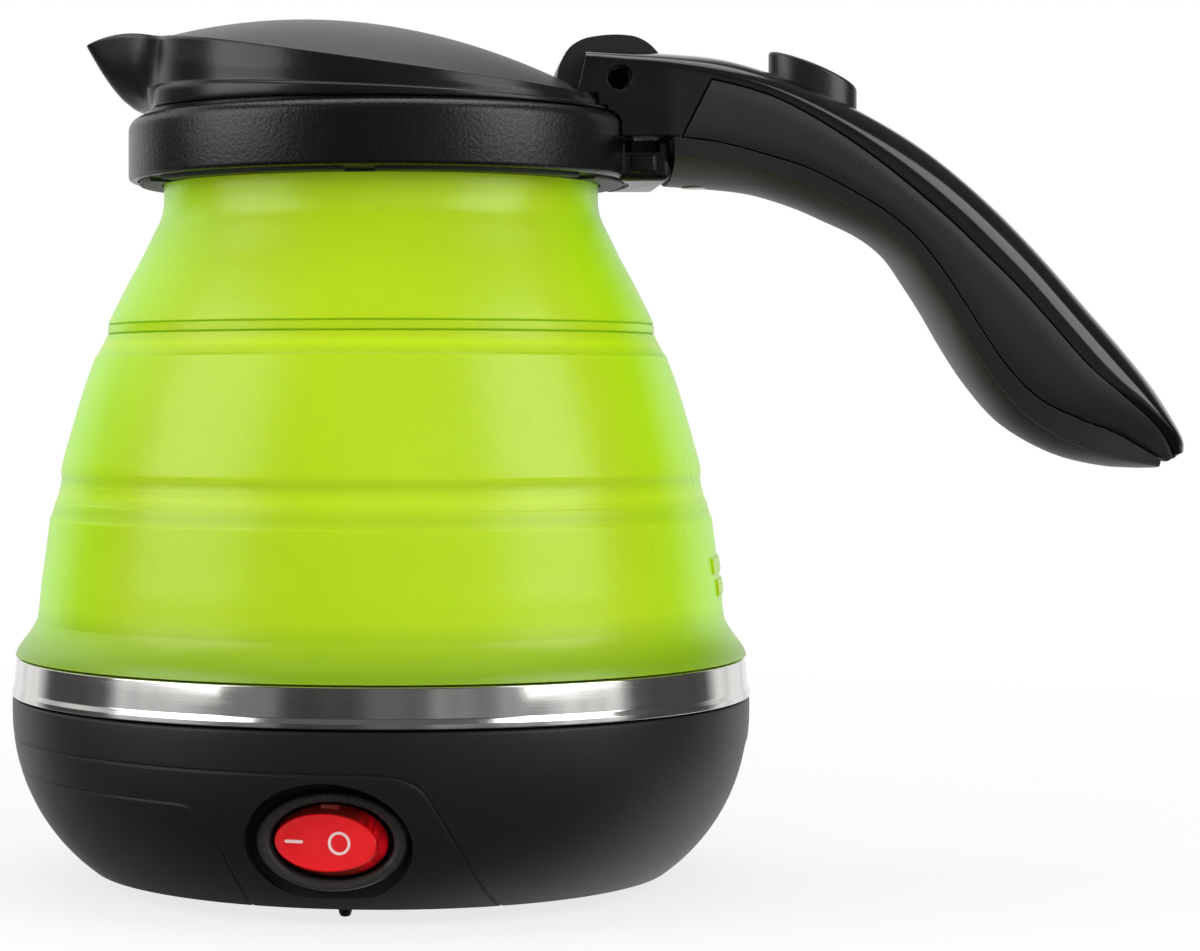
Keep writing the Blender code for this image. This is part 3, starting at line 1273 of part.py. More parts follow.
def finger_passage():
    """The tunnel under the strip in which the button's finger moves up and down."""
    room = BUTTON_TRAVEL + GAP * 2
    outline = [
        (FINGER_TIP - GAP * 2, STRIP_CEILING), (FINGER_BEND, STRIP_CEILING),
        (BUTTON_X, FINGER_ROOT_TOP + BUTTON_CLEARANCE), (BUTTON_X, FINGER_ROOT_LOW - room),
        (BUTTON_X - BUTTON_HALF_LENGTH - BUTTON_CLEARANCE, FINGER_ROOT_LOW - room),
        (FINGER_BEND - BUTTON_CLEARANCE, FINGER_LOW - room), (FINGER_TIP - GAP * 2, FINGER_LOW - room),
    ]
    width = FINGER_HALF_WIDTH + BUTTON_CLEARANCE
    return flat_piece("finger_passage", outline, -width, width)


def button_hole():
    """The oval hole in the strip that guides the cap."""
    low = BUTTON_LOW - BUTTON_TRAVEL - GAP
    half_length = BUTTON_HALF_LENGTH + BUTTON_CLEARANCE
    half_width = BUTTON_HALF_WIDTH + BUTTON_CLEARANCE
    outline = oval(half_length, half_width, (BUTTON_X, 0), BUTTON_STEPS)
    return flat_piece("button_hole", outline, low, HANDLE_TOP + OVERRUN, upright=False)


def grip_spots(trim):
    """Pairs of positions on the strip line and on the seam, from a slanted front edge to the tail.

    They lie halfway between the handle's own steps, so that no edge of a grip meets one of its edges.
    """
    end = len(STATION_SHARES) - 1 - GRIP_TAIL_SHARE - trim
    between = 1 / (HANDLE_SUBSTEPS * 2)
    later = [position + between for position in spots(4, len(STATION_SHARES) - 1)]
    pairs = [(position, position) for position in later if position < end - between]
    return [*GRIP_FIRST_SHARES, *pairs, (end, end)]


def grip_pocket(name, side):
    """What a side grip takes out of the handle: from just under the strip down past the seam."""
    rings = []
    for on_strip, on_seam in grip_spots(0):
        upper = handle_point(STRIP, on_strip)
        lower = handle_point(SEAM, on_seam)
        upper = upper + (lower - upper).normalized() * GAP
        lower = lower + (lower - upper).normalized() * OVERRUN
        upper_in = side * (handle_width(on_strip) - GRIP_THICKNESS - GAP)
        lower_in = side * (handle_width(on_seam) - GRIP_THICKNESS - GAP)
        out = side * (HANDLE_HALF_WIDTH + OVERRUN)
        rings.append([
            as_space(upper, upper_in), as_space(upper, out), as_space(lower, out), as_space(lower, lower_in)])
    return loft(name, rings)


def make_side_grip(name, side):
    """A soft panel let into the handle's side, slightly bulged."""
    rings = []
    for index, (on_strip, on_seam) in enumerate(grip_spots(GRIP_END_GAP_SHARE)):
        upper = handle_point(STRIP, on_strip)
        lower = handle_point(SEAM, on_seam)
        down = (lower - upper).normalized()
        ahead = Vector((-down.y, down.x)) * (GAP if index == 0 else 0)
        upper = upper + down * GAP * 2 + ahead
        lower = lower + ahead
        middle = (upper + lower) / 2
        wide = side * handle_width(on_strip)
        narrow = side * handle_width(on_seam)
        inset = side * GRIP_THICKNESS
        bulge = side * GRIP_BULGE
        rings.append([
            as_space(upper, wide), as_space(middle, (wide + narrow) / 2 + bulge), as_space(lower, narrow),
            as_space(lower, narrow - inset), as_space(upper, wide - inset)])
    return loft(name, rings, BLACK_MATTE)


def shell_ring(on_seam, on_belly):
    """The lower shell's section: flat along the seam and rounded below."""
    width = handle_width(on_seam)
    seam = handle_point(SEAM, on_seam)
    belly = handle_point(BELLY, on_belly)
    down = belly - seam
    seam = seam + down.normalized() * GAP
    ring = []
    for step in range(-SHELL_ARC_STEPS, SHELL_ARC_STEPS + 1):
        turn = math.pi / 2 * step / SHELL_ARC_STEPS
        y = width * math.copysign(abs(math.sin(turn)) ** SHELL_FULLNESS_SHARE, turn)
        ring.append(as_space(seam + (belly - seam) * math.cos(turn) ** SHELL_FULLNESS_SHARE, y))
    return ring


def make_lower_shell():
    last = len(STATION_SHARES) - 1
    later = [(position, position) for position in spots(3, last)]
    pairs = [*SHELL_FIRST_SHARES, *later[1:]]
    shell = loft("handle_lower_shell", [shell_ring(*pair) for pair in pairs], BLACK_SATIN)
    room = Vector((GAP, GAP, GAP))
    low = Vector((LUG_REACH - OVERRUN, -TENON_HALF_WIDTH, TENON_LOW)) - room
    high = Vector((TENON_REACH, TENON_HALF_WIDTH, HANDLE_TOP)) + room
    cut(shell, box("tenon_socket", low, high))
    return shell


def belly_height(x):
    """Height of the handle's underside at a distance from the axis."""
    last = len(STATION_SHARES) - 1
    points = [handle_point(BELLY, position) for position in spots(1, last)]
    for first, second in zip(points, points[1:]):
        if first.x <= x <= second.x:
            return first.y + (second.y - first.y) * (x - first.x) / (second.x - first.x)
    return points[-1].y


def add_handle_screws(shell, frame):
    """One screw into the collar's tenon and one into the frame near the tail."""
    screws = []
    kinds = zip(SHELL_SCREW_REACHES, (SHELL_SCREW_LENGTH, TAIL_SCREW_LENGTH), SHELL_SCREW_DEPTHS)
    for index, (reach, length, depth) in enumerate(kinds, start=1):
        x = HINGE_X + reach
        seat = Vector((x, 0, belly_height(x) + depth))
        passage = screw_passage(f"shell_bore_{index}", seat, length + GAP, depth + OVERRUN)
        cut(shell, passage)
        if x > TENON_REACH:
            cut(frame, passage)
        screws.append(screw_piece(f"handle_screw_{index}", seat - Vector((0, 0, GAP)), length))
    return screws


def make_hinge_pin():
    reach = HINGE_PIN_HALF_LENGTH
    return cylinder("hinge_pin", HINGE_PIN_RADIUS, (HINGE_X, -reach, HINGE_Z), (HINGE_X, reach, HINGE_Z), STEEL)


# Lid button

def make_lid_button():
    """An oval cap with a sloped top, the finger that reaches the lid's tongue, and a seat for the spring."""
    front = BUTTON_X - BUTTON_HALF_LENGTH
    outline = oval(BUTTON_HALF_LENGTH, BUTTON_HALF_WIDTH, (BUTTON_X, 0), BUTTON_STEPS)
    button = flat_piece("lid_button", outline, BUTTON_LOW, BUTTON_FRONT_TOP, BLACK_SATIN, upright=False)
    reach = BUTTON_HALF_WIDTH + OVERRUN
    before = front - OVERRUN
    after = BUTTON_X + BUTTON_HALF_LENGTH + OVERRUN
    over = HANDLE_TOP + OVERRUN
    slope = [(before, cap_top(before)), (after, cap_top(after)), (after, over), (before, over)]
    cut(button, flat_piece("button_slope", slope, -reach, reach))
    finger = [
        (FINGER_TIP, FINGER_LOW), (FINGER_BEND, FINGER_LOW - GAP), (front, FINGER_ROOT_LOW),
        (BUTTON_X, FINGER_ROOT_LOW), (BUTTON_X, FINGER_ROOT_TOP - GAP), (front, FINGER_ROOT_TOP),
        (FINGER_BEND, FINGER_TOP), (FINGER_TIP, FINGER_TOP),
    ]
    joined(button, flat_piece("finger", finger, -FINGER_HALF_WIDTH, FINGER_HALF_WIDTH))
    low = (BUTTON_X, 0, BUTTON_LOW - OVERRUN)
    high = (BUTTON_X, 0, BUTTON_LOW + SPRING_POCKET)
    cut(button, cylinder("button_spring_pocket", SPRING_WELL_RADIUS, low, high))
    return button


def cap_top(x):
    """Height of the cap's sloped top at a distance from the kettle's axis."""
    front = BUTTON_X - BUTTON_HALF_LENGTH
    return BUTTON_FRONT_TOP - BUTTON_SLOPE_DROP * (x - front) / (2 * BUTTON_HALF_LENGTH)


def make_button_spring():
    wire = BUTTON_SPRING_WIRE
    low = BUTTON_SPRING_LOW + wire
    high = BUTTON_LOW + SPRING_POCKET - GAP - wire
    count = BUTTON_SPRING_TURNS * SPRING_TURN_POINTS
    points = []
    for step in range(count + 1):
        turn = 360 * step / SPRING_TURN_POINTS
        point = around(BUTTON_SPRING_RADIUS, turn, low + (high - low) * step / count)
        points.append(point + Vector((BUTTON_X, 0, 0)))
    return tube("button_spring", points, wire, STEEL, fineness=1)


# Switch

def make_switch():
    """The bezel with its body behind the panel, the rocker that turns in it and two terminals."""
    frame = flat_piece(
        "switch_frame", oval(BEZEL_HALF_LENGTH, BEZEL_HALF_HEIGHT), -BEZEL_THICKNESS - GAP, -GAP, BLACK_GLOSS)
    half_length = SWITCH_BODY_HALF_LENGTH
    half_height = SWITCH_BODY_HALF_HEIGHT
    body = box(
        "switch_body", (-half_length, -BEZEL_THICKNESS / 2 - GAP, -half_height),
        (half_length, SWITCH_BODY_DEPTH, half_height))
    joined(frame, on_switch_panel(body))
    hole = flat_piece(
        "rocker_hole", oval(ROCKER_HOLE_HALF_LENGTH, ROCKER_HOLE_HALF_HEIGHT), -BEZEL_THICKNESS - OVERRUN,
        ROCKER_HOLE_DEPTH)
    cut(frame, on_switch_panel(hole))
    on_switch_panel(frame)
    rocker = make_rocker()
    start = SWITCH_BODY_DEPTH + GAP
    half_width = SWITCH_TAB_WIDTH / 2
    half_thick = SWITCH_TAB_THICKNESS / 2
    for index, offset in enumerate((-SWITCH_TAB_SPREAD, SWITCH_TAB_SPREAD), start=1):
        low = (offset - half_thick, start, -half_width)
        high = (offset + half_thick, start + SWITCH_TAB_LENGTH, half_width)
        on_switch_panel(box(f"switch_terminal_{index}", low, high, BRASS))
    return rocker


def make_rocker():
    """An oval lens on a stem, at rest with one end pressed in."""
    front = -ROCKER_FACE
    rocker = flat_piece(
        "switch_rocker", oval(ROCKER_HALF_LENGTH, ROCKER_HALF_HEIGHT), front, front + ROCKER_DEPTH, RED_LENS)
    softened(rocker, ROCKER_DEPTH / 6)
    start = (0, front + ROCKER_DEPTH / 2, 0)
    end = (0, ROCKER_PIVOT_DEPTH + ROCKER_STEM_RADIUS, 0)
    stem = cylinder("rocker_stem", ROCKER_STEM_RADIUS, start, end)
    pivot = Matrix.Translation((0, ROCKER_PIVOT_DEPTH, 0))
    tilt = pivot @ Matrix.Rotation(math.radians(-ROCKER_REST_TILT), 4, "Z") @ pivot.inverted()
    rocker.data.transform(tilt)
    stem.data.transform(tilt)
    joined(rocker, on_switch_panel(stem))
    return on_switch_panel(rocker)


# Inlet and heating parts

def make_inlet():
    face = INLET_FACE
    back = face - INLET_DEPTH
    inlet = inlet_block("inlet_body", 0.0, back, face, BLACK_MATTE)
    cut(inlet, inlet_block("inlet_cavity", -INLET_WALL, back + INLET_BACK, face + OVERRUN))
    end = face - INLET_PIN_SETBACK
    half_width = INLET_PIN_WIDTH / 2
    half_thick = INLET_PIN_THICKNESS / 2
    places = ((-INLET_PIN_SPREAD, -INLET_PIN_RISE), (INLET_PIN_SPREAD, -INLET_PIN_RISE), (0, INLET_PIN_RISE))
    for index, (y, rise) in enumerate(places, start=1):
        z = INLET_HEIGHT + rise
        low = Vector((end - INLET_PIN_LENGTH, y - half_thick, z - half_width))
        high = Vector((end, y + half_thick, z + half_width))
        box(f"inlet_pin_{index}", low, high, BRASS)
        room = Vector((OVERRUN, GAP, GAP))
        cut(inlet, box(f"inlet_pin_slot_{index}", low - room, high + room))


def spreader_low():
    return PAN_FLOOR - PAN_WALL - GAP - SPREADER_THICKNESS


def make_heat_spreader():
    low = spreader_low()
    top = low + SPREADER_THICKNESS
    edge = SPREADER_THICKNESS / 3
    corners = [(0, top), (SPREADER_RADIUS, top, edge), (SPREADER_RADIUS, low, edge), (0, low)]
    outline = rounded(corners, closed=False, steps=HIDDEN_FILLET_STEPS)
    return solid_turned("heat_spreader", outline, ALUMINIUM)


def element_path():
    """An open ring under the plate, with both ends bent down."""
    height = spreader_low() - GAP - ELEMENT_RADIUS
    half = math.degrees(math.asin(ELEMENT_HALF_OPENING / ELEMENT_CIRCLE))
    turns = [half + (360 - 2 * half) * step / ELEMENT_POINTS for step in range(ELEMENT_POINTS + 1)]
    return [around(ELEMENT_CIRCLE, turn, height) for turn in turns]


def make_heating_element():
    """The sheathed tube and the cold pin that comes out of each of its ends."""
    ring = element_path()
    drop = Vector((0, 0, ELEMENT_LEG))
    step = ELEMENT_RADIUS
    first = Vector(ring[0])
    last = Vector(ring[-1])
    out_first = (first - ring[1]).normalized() * step
    out_last = (last - ring[-2]).normalized() * step
    bend = Vector((0, 0, step / 2))
    path = [
        first + out_first - drop, first + out_first - bend * 2, first + out_first / 2 - bend / 2, *ring,
        last + out_last / 2 - bend / 2, last + out_last - bend * 2, last + out_last - drop,
    ]
    tube("heating_element", path, ELEMENT_RADIUS, GREY_PLASTIC, fineness=1)
    pins = []
    for index, place in enumerate((path[0], path[-1]), start=1):
        top = place - Vector((0, 0, GAP))
        end = top - Vector((0, 0, ELEMENT_PIN_LENGTH))
        cylinder(f"element_pin_{index}", ELEMENT_PIN_RADIUS, top, end, STEEL)
        pins.append(end)
    return pins


def make_thermostat():
    top = spreader_low() - GAP
    flange_low = top - THERMOSTAT_FLANGE
    low = top - THERMOSTAT_HEIGHT
    outline = [
        (0, top), (THERMOSTAT_FLANGE_RADIUS, top), (THERMOSTAT_FLANGE_RADIUS, flange_low),
        (THERMOSTAT_RADIUS, flange_low), (THERMOSTAT_RADIUS, low), (0, low)]
    return solid_turned("thermostat", outline, ZINC)


def make_thermal_fuse():
    height = spreader_low() - GAP - FUSE_RADIUS
    centre = around(FUSE_CIRCLE, FUSE_TURN, height)
    along = Vector((FUSE_HALF_LENGTH, 0, 0))
    return cylinder("thermal_fuse", FUSE_RADIUS, centre - along, centre + along, GREY_PLASTIC)


def sagging(start, end, bow):
    """A wire's path: it leaves one point, sags, bows to the side and comes up to the other.

    A short wire has less slack, so that its bends stay wider than the wire itself.
    """
    reach = (Vector(end) - Vector(start)).length
    slack = min(1.0, reach * WIRE_SLACK_SHARE / WIRE_SAG)
    points = []
    for step in range(WIRE_POINTS + 1):
        share = step / WIRE_POINTS
        arch = math.sin(math.pi * share) * slack
        point = Vector(start).lerp(Vector(end), share)
        points.append(point + Vector(bow) * arch - Vector((0, 0, WIRE_SAG * arch)))
    return points


def make_wires(element_pins):
    """Leads from the inlet's pins to the switch, the element and the earthed plate."""
    clear = WIRE_RADIUS + GAP
    pin_back = INLET_FACE - INLET_PIN_SETBACK - INLET_PIN_LENGTH - clear
    level = INLET_HEIGHT - INLET_PIN_RISE
    live, neutral = (Vector((pin_back, side * INLET_PIN_SPREAD, level)) for side in (-1, 1))
    earth = Vector((pin_back, 0, INLET_HEIGHT + INLET_PIN_RISE))
    tab_end = SWITCH_BODY_DEPTH + SWITCH_TAB_LENGTH + GAP + clear
    tabs = [switch_place() @ Vector((side * SWITCH_TAB_SPREAD, tab_end, 0)) for side in (-1, 1)]
    pins = [Vector(pin) - Vector((0, 0, clear)) for pin in element_pins]
    plate = Vector((EARTH_X, 0, spreader_low() - clear))
    inward = Vector((-WIRE_BOW, 0, 0))
    runs = (
        ("wire_live", live, tabs[1], -inward - Vector((0, WIRE_BOW, 0)), WIRE_BROWN),
        ("wire_switched", tabs[0], pins[1], inward + Vector((0, WIRE_BOW, 0)), WIRE_BROWN),
        ("wire_neutral", neutral, pins[0], inward, WIRE_BLUE),
        ("wire_earth", earth, plate, Vector(), WIRE_EARTH),
    )
    for name, start, end, bow, finish in runs:
        tube(name, sagging(start, end, bow), WIRE_RADIUS, finish, fineness=1)


def make_base():
    make_base_housing()
    make_bottom_cover()
    make_steel_band()
    make_heating_pan()
    make_clamp_ring()
    make_silicone_body()
    make_inlet()
    make_heat_spreader()
    make_thermostat()
    make_thermal_fuse()
    make_wires(make_heating_element())
    rocker = make_switch()
    carry([rocker], "rocker_axis", switch_place() @ Vector((0, ROCKER_PIVOT_DEPTH, 0)))


def make_rising_body():
    """The collar with all that rises with it when the silicone is pulled up, the handle included."""
    collar = make_collar()
    retainer = make_retaining_ring()
    ring = make_spout_ring()
    frame = make_handle_frame()
    grips = [make_side_grip("side_grip_near", -1), make_side_grip("side_grip_far", 1)]
    shell = make_lower_shell()
    screws = add_handle_screws(shell, frame)
    pin = make_hinge_pin()
    lid_pieces = [make_lid(), make_inner_lid(), make_lid_seal(), make_lid_screw()]
    lid = carry(lid_pieces, "lid_axis", (HINGE_X, 0, HINGE_Z))
    button = carry([make_lid_button(), make_button_spring()], "button_axis", (BUTTON_X, 0, BUTTON_LOW))
    rising = [collar, retainer, ring, frame, *grips, shell, *screws, pin, lid, button]
    carry(rising, "collapse_axis", (0, 0, WALL_TOP))


def main():
    make_base()
    make_rising_body()


for old in list(bpy.data.objects):
    bpy.data.objects.remove(old)
KETTLE = fresh_collection("collapsible_kettle")
CUTTERS = fresh_collection("cutters")
main()
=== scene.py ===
"""Folding travel kettle, dressed for pictures.

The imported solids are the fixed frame; this file lays finer pieces over them, gives every solid its finish
and sets the stage. Metres, +Z up, spout to -X, handle to +X, switch on the -Y side.
"""
import math

import bmesh
import bpy
from bpy.props import FloatProperty, FloatVectorProperty, IntProperty, PointerProperty
from bpy.types import Operator, Panel, PropertyGroup
from mathutils import Matrix, Vector


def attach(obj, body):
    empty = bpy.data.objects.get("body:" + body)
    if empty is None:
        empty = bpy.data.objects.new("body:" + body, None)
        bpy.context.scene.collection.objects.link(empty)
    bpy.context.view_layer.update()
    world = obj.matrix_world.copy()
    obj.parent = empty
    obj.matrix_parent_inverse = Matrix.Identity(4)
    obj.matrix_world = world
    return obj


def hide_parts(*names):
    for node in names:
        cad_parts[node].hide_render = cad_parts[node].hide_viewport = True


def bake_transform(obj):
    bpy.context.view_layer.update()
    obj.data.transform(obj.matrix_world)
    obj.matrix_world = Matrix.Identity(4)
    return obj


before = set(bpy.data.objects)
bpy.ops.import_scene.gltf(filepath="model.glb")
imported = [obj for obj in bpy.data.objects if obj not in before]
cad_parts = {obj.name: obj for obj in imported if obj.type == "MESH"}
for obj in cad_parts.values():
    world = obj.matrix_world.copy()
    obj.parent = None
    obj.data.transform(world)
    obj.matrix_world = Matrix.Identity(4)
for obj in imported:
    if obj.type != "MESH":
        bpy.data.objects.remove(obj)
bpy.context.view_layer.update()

bl_info = {
    "name": "Folding Kettle Looks",
    "version": (1, 0, 0),
    "blender": (4, 5, 0),
    "location": "View3D > Sidebar > Kettle",
    "description": "Builds the fine pieces, finishes and stage of a folding travel kettle",
    "category": "Add Mesh",
}

MM = 0.001
GAP = 0.3 * MM
OVERRUN = 3.0 * MM
MERGE = 0.004 * MM
SHARP_ANGLE = math.radians(32)
SOFTENED_ANGLE = 0.6
FILLET_STEPS = 5
SMALL_STEPS = 40

# Base
BASE_RADIUS = 62.5 * MM
BASE_TOP = 29.3 * MM
BOWL_SHOULDER = 26.6 * MM
BOWL_CURVE = 33.0 * MM
BOWL_STEPS = 26
HOUSING_WALL = 2.2 * MM
HOUSING_RIM = 0.0 * MM
HOUSING_FLOOR_TOP = 3.2 * MM
HOUSING_EDGE = 0.6 * MM
COVER_RADIUS = 45.7 * MM
FOOT_CIRCLE = 40.0 * MM
FOOT_TURNS = (-98.1, 21.9, 141.9)
FOOT_TOP = 1.3 * MM
FOOT_RADIUS = 2.3 * MM
FOOT_WAIST = 1.3 * MM
FOOT_TIP = 0.8 * MM
FOOT_SHOULDER = 0.4 * MM
FOOT_SHOULDER_ROUND = 0.35 * MM
FOOT_ROOT_ROUND = 0.3 * MM
FOOT_TIP_ROUND = FOOT_TIP * 0.7
FOOT_MIDDLE = FOOT_WAIST * 0.9
FOOT_REACH = 2.6 * MM

# Seam lines moulded into the base, as (angle in degrees, height)
UPPER_SEAM = (
    (-340, 22.6), (-300, 22.6), (-260, 22.6), (-220, 22.6), (-190, 22.6), (-170, 22.6), (-150, 22.6), (-130, 22.5),
    (-115, 22.4), (-100, 22.4), (-92, 22.3), (-88.6, 22.1), (-85.9, 21.2), (-83.9, 19.6), (-81.8, 16.2),
    (-79.4, 12.2), (-76.9, 8.6), (-74.1, 4.8), (-70.4, 1.6), (-67.0, -0.3),
)
LOWER_SEAM = (
    (-340, 17.1), (-300, 17.1), (-260, 17.1), (-220, 17.1), (-190, 17.1), (-170, 17.1), (-150, 17.1), (-135, 17.1),
    (-124, 17.0), (-120, 16.8), (-118, 15.9), (-116.6, 14.2), (-115.6, 11.6), (-114.9, 8.2), (-114.4, 4.6),
    (-114.1, -0.3),
)

# Steel band and the flange seat under the silicone
BAND_TOP = 35.7 * MM
BAND_TOP_RADIUS = 61.8 * MM
BAND_FOOT_RADIUS = 62.2 * MM
BAND_LIP_RADIUS = 62.6 * MM
BAND_LIP = 1.0 * MM
BAND_INNER_ROUND = 0.15 * MM
BAND_TOP_ROUND = 0.35 * MM
BAND_FOOT_ROUND = 0.8 * MM
BAND_FOOT_SHARE = 0.6
BAND_LIP_ROUND = 0.2 * MM
BAND_LIP_SHARE = 0.2
BAND_WALL = 1.2 * MM
BAND_SHELF = 3.4 * MM
PAN_RADIUS = 54.6 * MM
PAN_WALL = 1.0 * MM

# Silicone wall in millimetres, foot to neck: smooth runs of (radius, height) that meet in creases
WALL_RUNS = (
    ((62.0, 36.0), (61.55, 37.0), (60.9, 38.0), (59.9, 39.3), (58.9, 40.8), (58.35, 41.9)),
    ((58.3, 42.2), (58.0, 44.5), (57.66, 48.1), (57.1, 52.1), (56.57, 56.2), (56.2, 59.0)),
    ((56.05, 59.2), (55.7, 60.3), (55.35, 61.6)),
    ((55.2, 61.8), (54.75, 63.1), (54.45, 64.5)),
    ((54.35, 64.8), (54.28, 65.6), (54.33, 66.5)),
    ((54.4, 66.8), (54.05, 68.6), (53.0, 72.4), (51.85, 76.4), (50.6, 80.5), (49.2, 84.5), (48.6, 86.1)),
    ((48.35, 86.3), (47.3, 88.2), (46.6, 89.7)),
    ((46.25, 89.9),),
    ((46.5, 90.1), (46.48, 90.7), (46.45, 91.3)),
    ((46.15, 91.5),),
    ((46.4, 91.7), (45.9, 92.8), (45.0, 94.7), (42.9, 98.8), (40.7, 102.9), (38.8, 106.8), (37.6, 109.3),
     (37.08, 111.4), (37.0, 113.2), (37.0, 115.0)),
)
WALL_SUBSTEPS = 6
WALL_FOOT_SPANS = 5
WALL_INNER_STRIDE = 3
WALL_TUCK = 0.3 * MM
WALL_TUCK_DROP = 0.05 * MM
WALL_THICKNESS = 2.0 * MM
FOLD_THICKNESS = 1.2 * MM
FOLD_ZONES = ((59.0 * MM, 68.0 * MM), (86.0 * MM, 92.0 * MM))
WALL_FOOT = 36.0 * MM
BEAD_SEAT = 31.9 * MM
BEAD_STEP = 37.0 * MM
NECK_FLANGE_LOW = 118.2 * MM
NECK_FLANGE_TOP = 120.4 * MM
NECK_FLANGE_RADIUS = 40.6 * MM
NECK_BORE = 35.0 * MM

# Level marks: middle height, first and last angle; and their section as shares of (height, relief)
LEVEL_MARKS = ((51.3 * MM, -17, 6), (47.6 * MM, -15, 6))
LEVEL_MARK_SECTION = ((-0.5, -0.3), (-0.5, 0.6), (-0.36, 1), (0.36, 1), (0.5, 0.6), (0.5, -0.3))
LEVEL_MARK_STEPS = 22

# Collar, retaining ring and lug
COLLAR_RADIUS = 43.0 * MM
COLLAR_LOW = 115.8 * MM
COLLAR_TOP = 126.6 * MM
COLLAR_SHOULDER = 2.4 * MM
COLLAR_EDGE = 0.8 * MM
COLLAR_WALL = 1.5 * MM
SHELF_THICKNESS = 1.7 * MM
RETAINER_LOW = 115.1 * MM
RETAINER_RADIUS = 41.2 * MM
RETAINER_NOTCH = 5.0 * MM
RETAINER_NOTCH_DEPTH = 0.6 * MM
RETAINER_NOTCH_COUNT = 6
COLLAR_STEPS = 8
LUG_REACH = 48.1 * MM
LUG_HALF_WIDTH = 15.0 * MM
LUG_LOW = 115.2 * MM
LUG_CORNER = 1.2 * MM
WINDOW_START = 40.4 * MM
WINDOW_END = 46.3 * MM
WINDOW_LOW = 119.9 * MM
WINDOW_DEPTH = 6.5 * MM
LUG_TAB = (41.3 * MM, 45.7 * MM, 116.4 * MM)
TENON_REACH = 58.0 * MM
TENON_HALF_WIDTH = 7.5 * MM
TENON_LOW = 117.6 * MM
TENON_TOP = 120.3 * MM

# Spout ring
RING_BORE = 35.2 * MM
RING_SKIRT_RADIUS = 40.1 * MM
RING_BEAD_RADIUS = 40.9 * MM
RING_BEAD_LOW = 127.0 * MM
RING_BEAD_TOP = 128.7 * MM
RING_WALL_RADIUS = 39.5 * MM
RING_RIM_RADIUS = 39.1 * MM
RING_RIM = 132.7 * MM
RIM_ROUND = 0.45 * MM
RIM_FALL_SHARE = 0.141
RIM_ARC = 394.0 * MM
BEAK_REACH = 52.4 * MM
BEAK_DROOP_ARC = 33.6 * MM
BEAK_HALF_TURN = 15.0
BEAK_NOSE_TURN = 1.6
BEAK_WALL = 2.0 * MM
BEAK_FLARE_SHARE = 0.52
BEAK_VALLEY_TURN = 4.5
BEAD_FADE = (13.0, 24.0)
LEDGE_RADIUS = 38.25 * MM
LEDGE_DROP = 1.1 * MM
BEAK_COLUMNS = 34
BEAK_SAMPLES = 6
RIM_TURNS = (90, 10)
RIM_STEPS = 5
RING_WALL_STEPS = 12
RING_LEDGE_STEPS = 7
RING_WALL_LEAN = 1.6
BEAD_ROUND = 0.84 * MM
BEAD_ROOT = 0.25 * MM
SKIRT_ROOT = 0.15 * MM
RING_COLUMNS = 132

# Lid and its knuckle
LID_RADIUS = 38.0 * MM
LID_MARGIN = 0.25 * MM
LID_SINK = GAP / 6
LID_EDGE_ROUND = 0.2 * MM
LID_EDGE = 0.85 * MM
LID_RISE = 9.7 * MM
LID_WALL = 2.0 * MM
LID_STEPS = 26
LID_PLUG_RADIUS = 33.2 * MM
LID_PLUG_WALL = 1.6 * MM
LID_PLUG_DROP = 2.4 * MM
LID_STEP = 0.7 * MM
LID_CHORD = 31.5 * MM
LID_CHORD_HALF_WIDTH = 17.6 * MM
POST_RADIUS = 3.4 * MM
SCREW_RADIUS = 1.3 * MM
LID_SCREW_LENGTH = 7.0 * MM
HINGE_X = 39.5 * MM
HINGE_Z = 132.2 * MM
HINGE_HOLE_RADIUS = 2.1 * MM
HINGE_PIN_RADIUS = 1.7 * MM
KNUCKLE_RADIUS = 9.4 * MM
KNUCKLE_BARREL = 3.4 * MM
KNUCKLE_HALF_WIDTH = 8.6 * MM
KNUCKLE_FIRST_TURN = 190.0
KNUCKLE_LAST_TURN = 5.0
TONGUE_TOP_TURN = 2.0
TONGUE_LOW_TURN = -15.0
FINGER_NOTCH_TURN = 97.0
TONGUE_SWING = 1.5 * MM
KNUCKLE_STEPS = 36
KNUCKLE_ARCH_SHARES = (1.00, 1.06, 1.05, 1.04, 0.98, 0.90, 0.86, 0.86, 0.89, 0.91, 0.92, 0.93, 0.95)

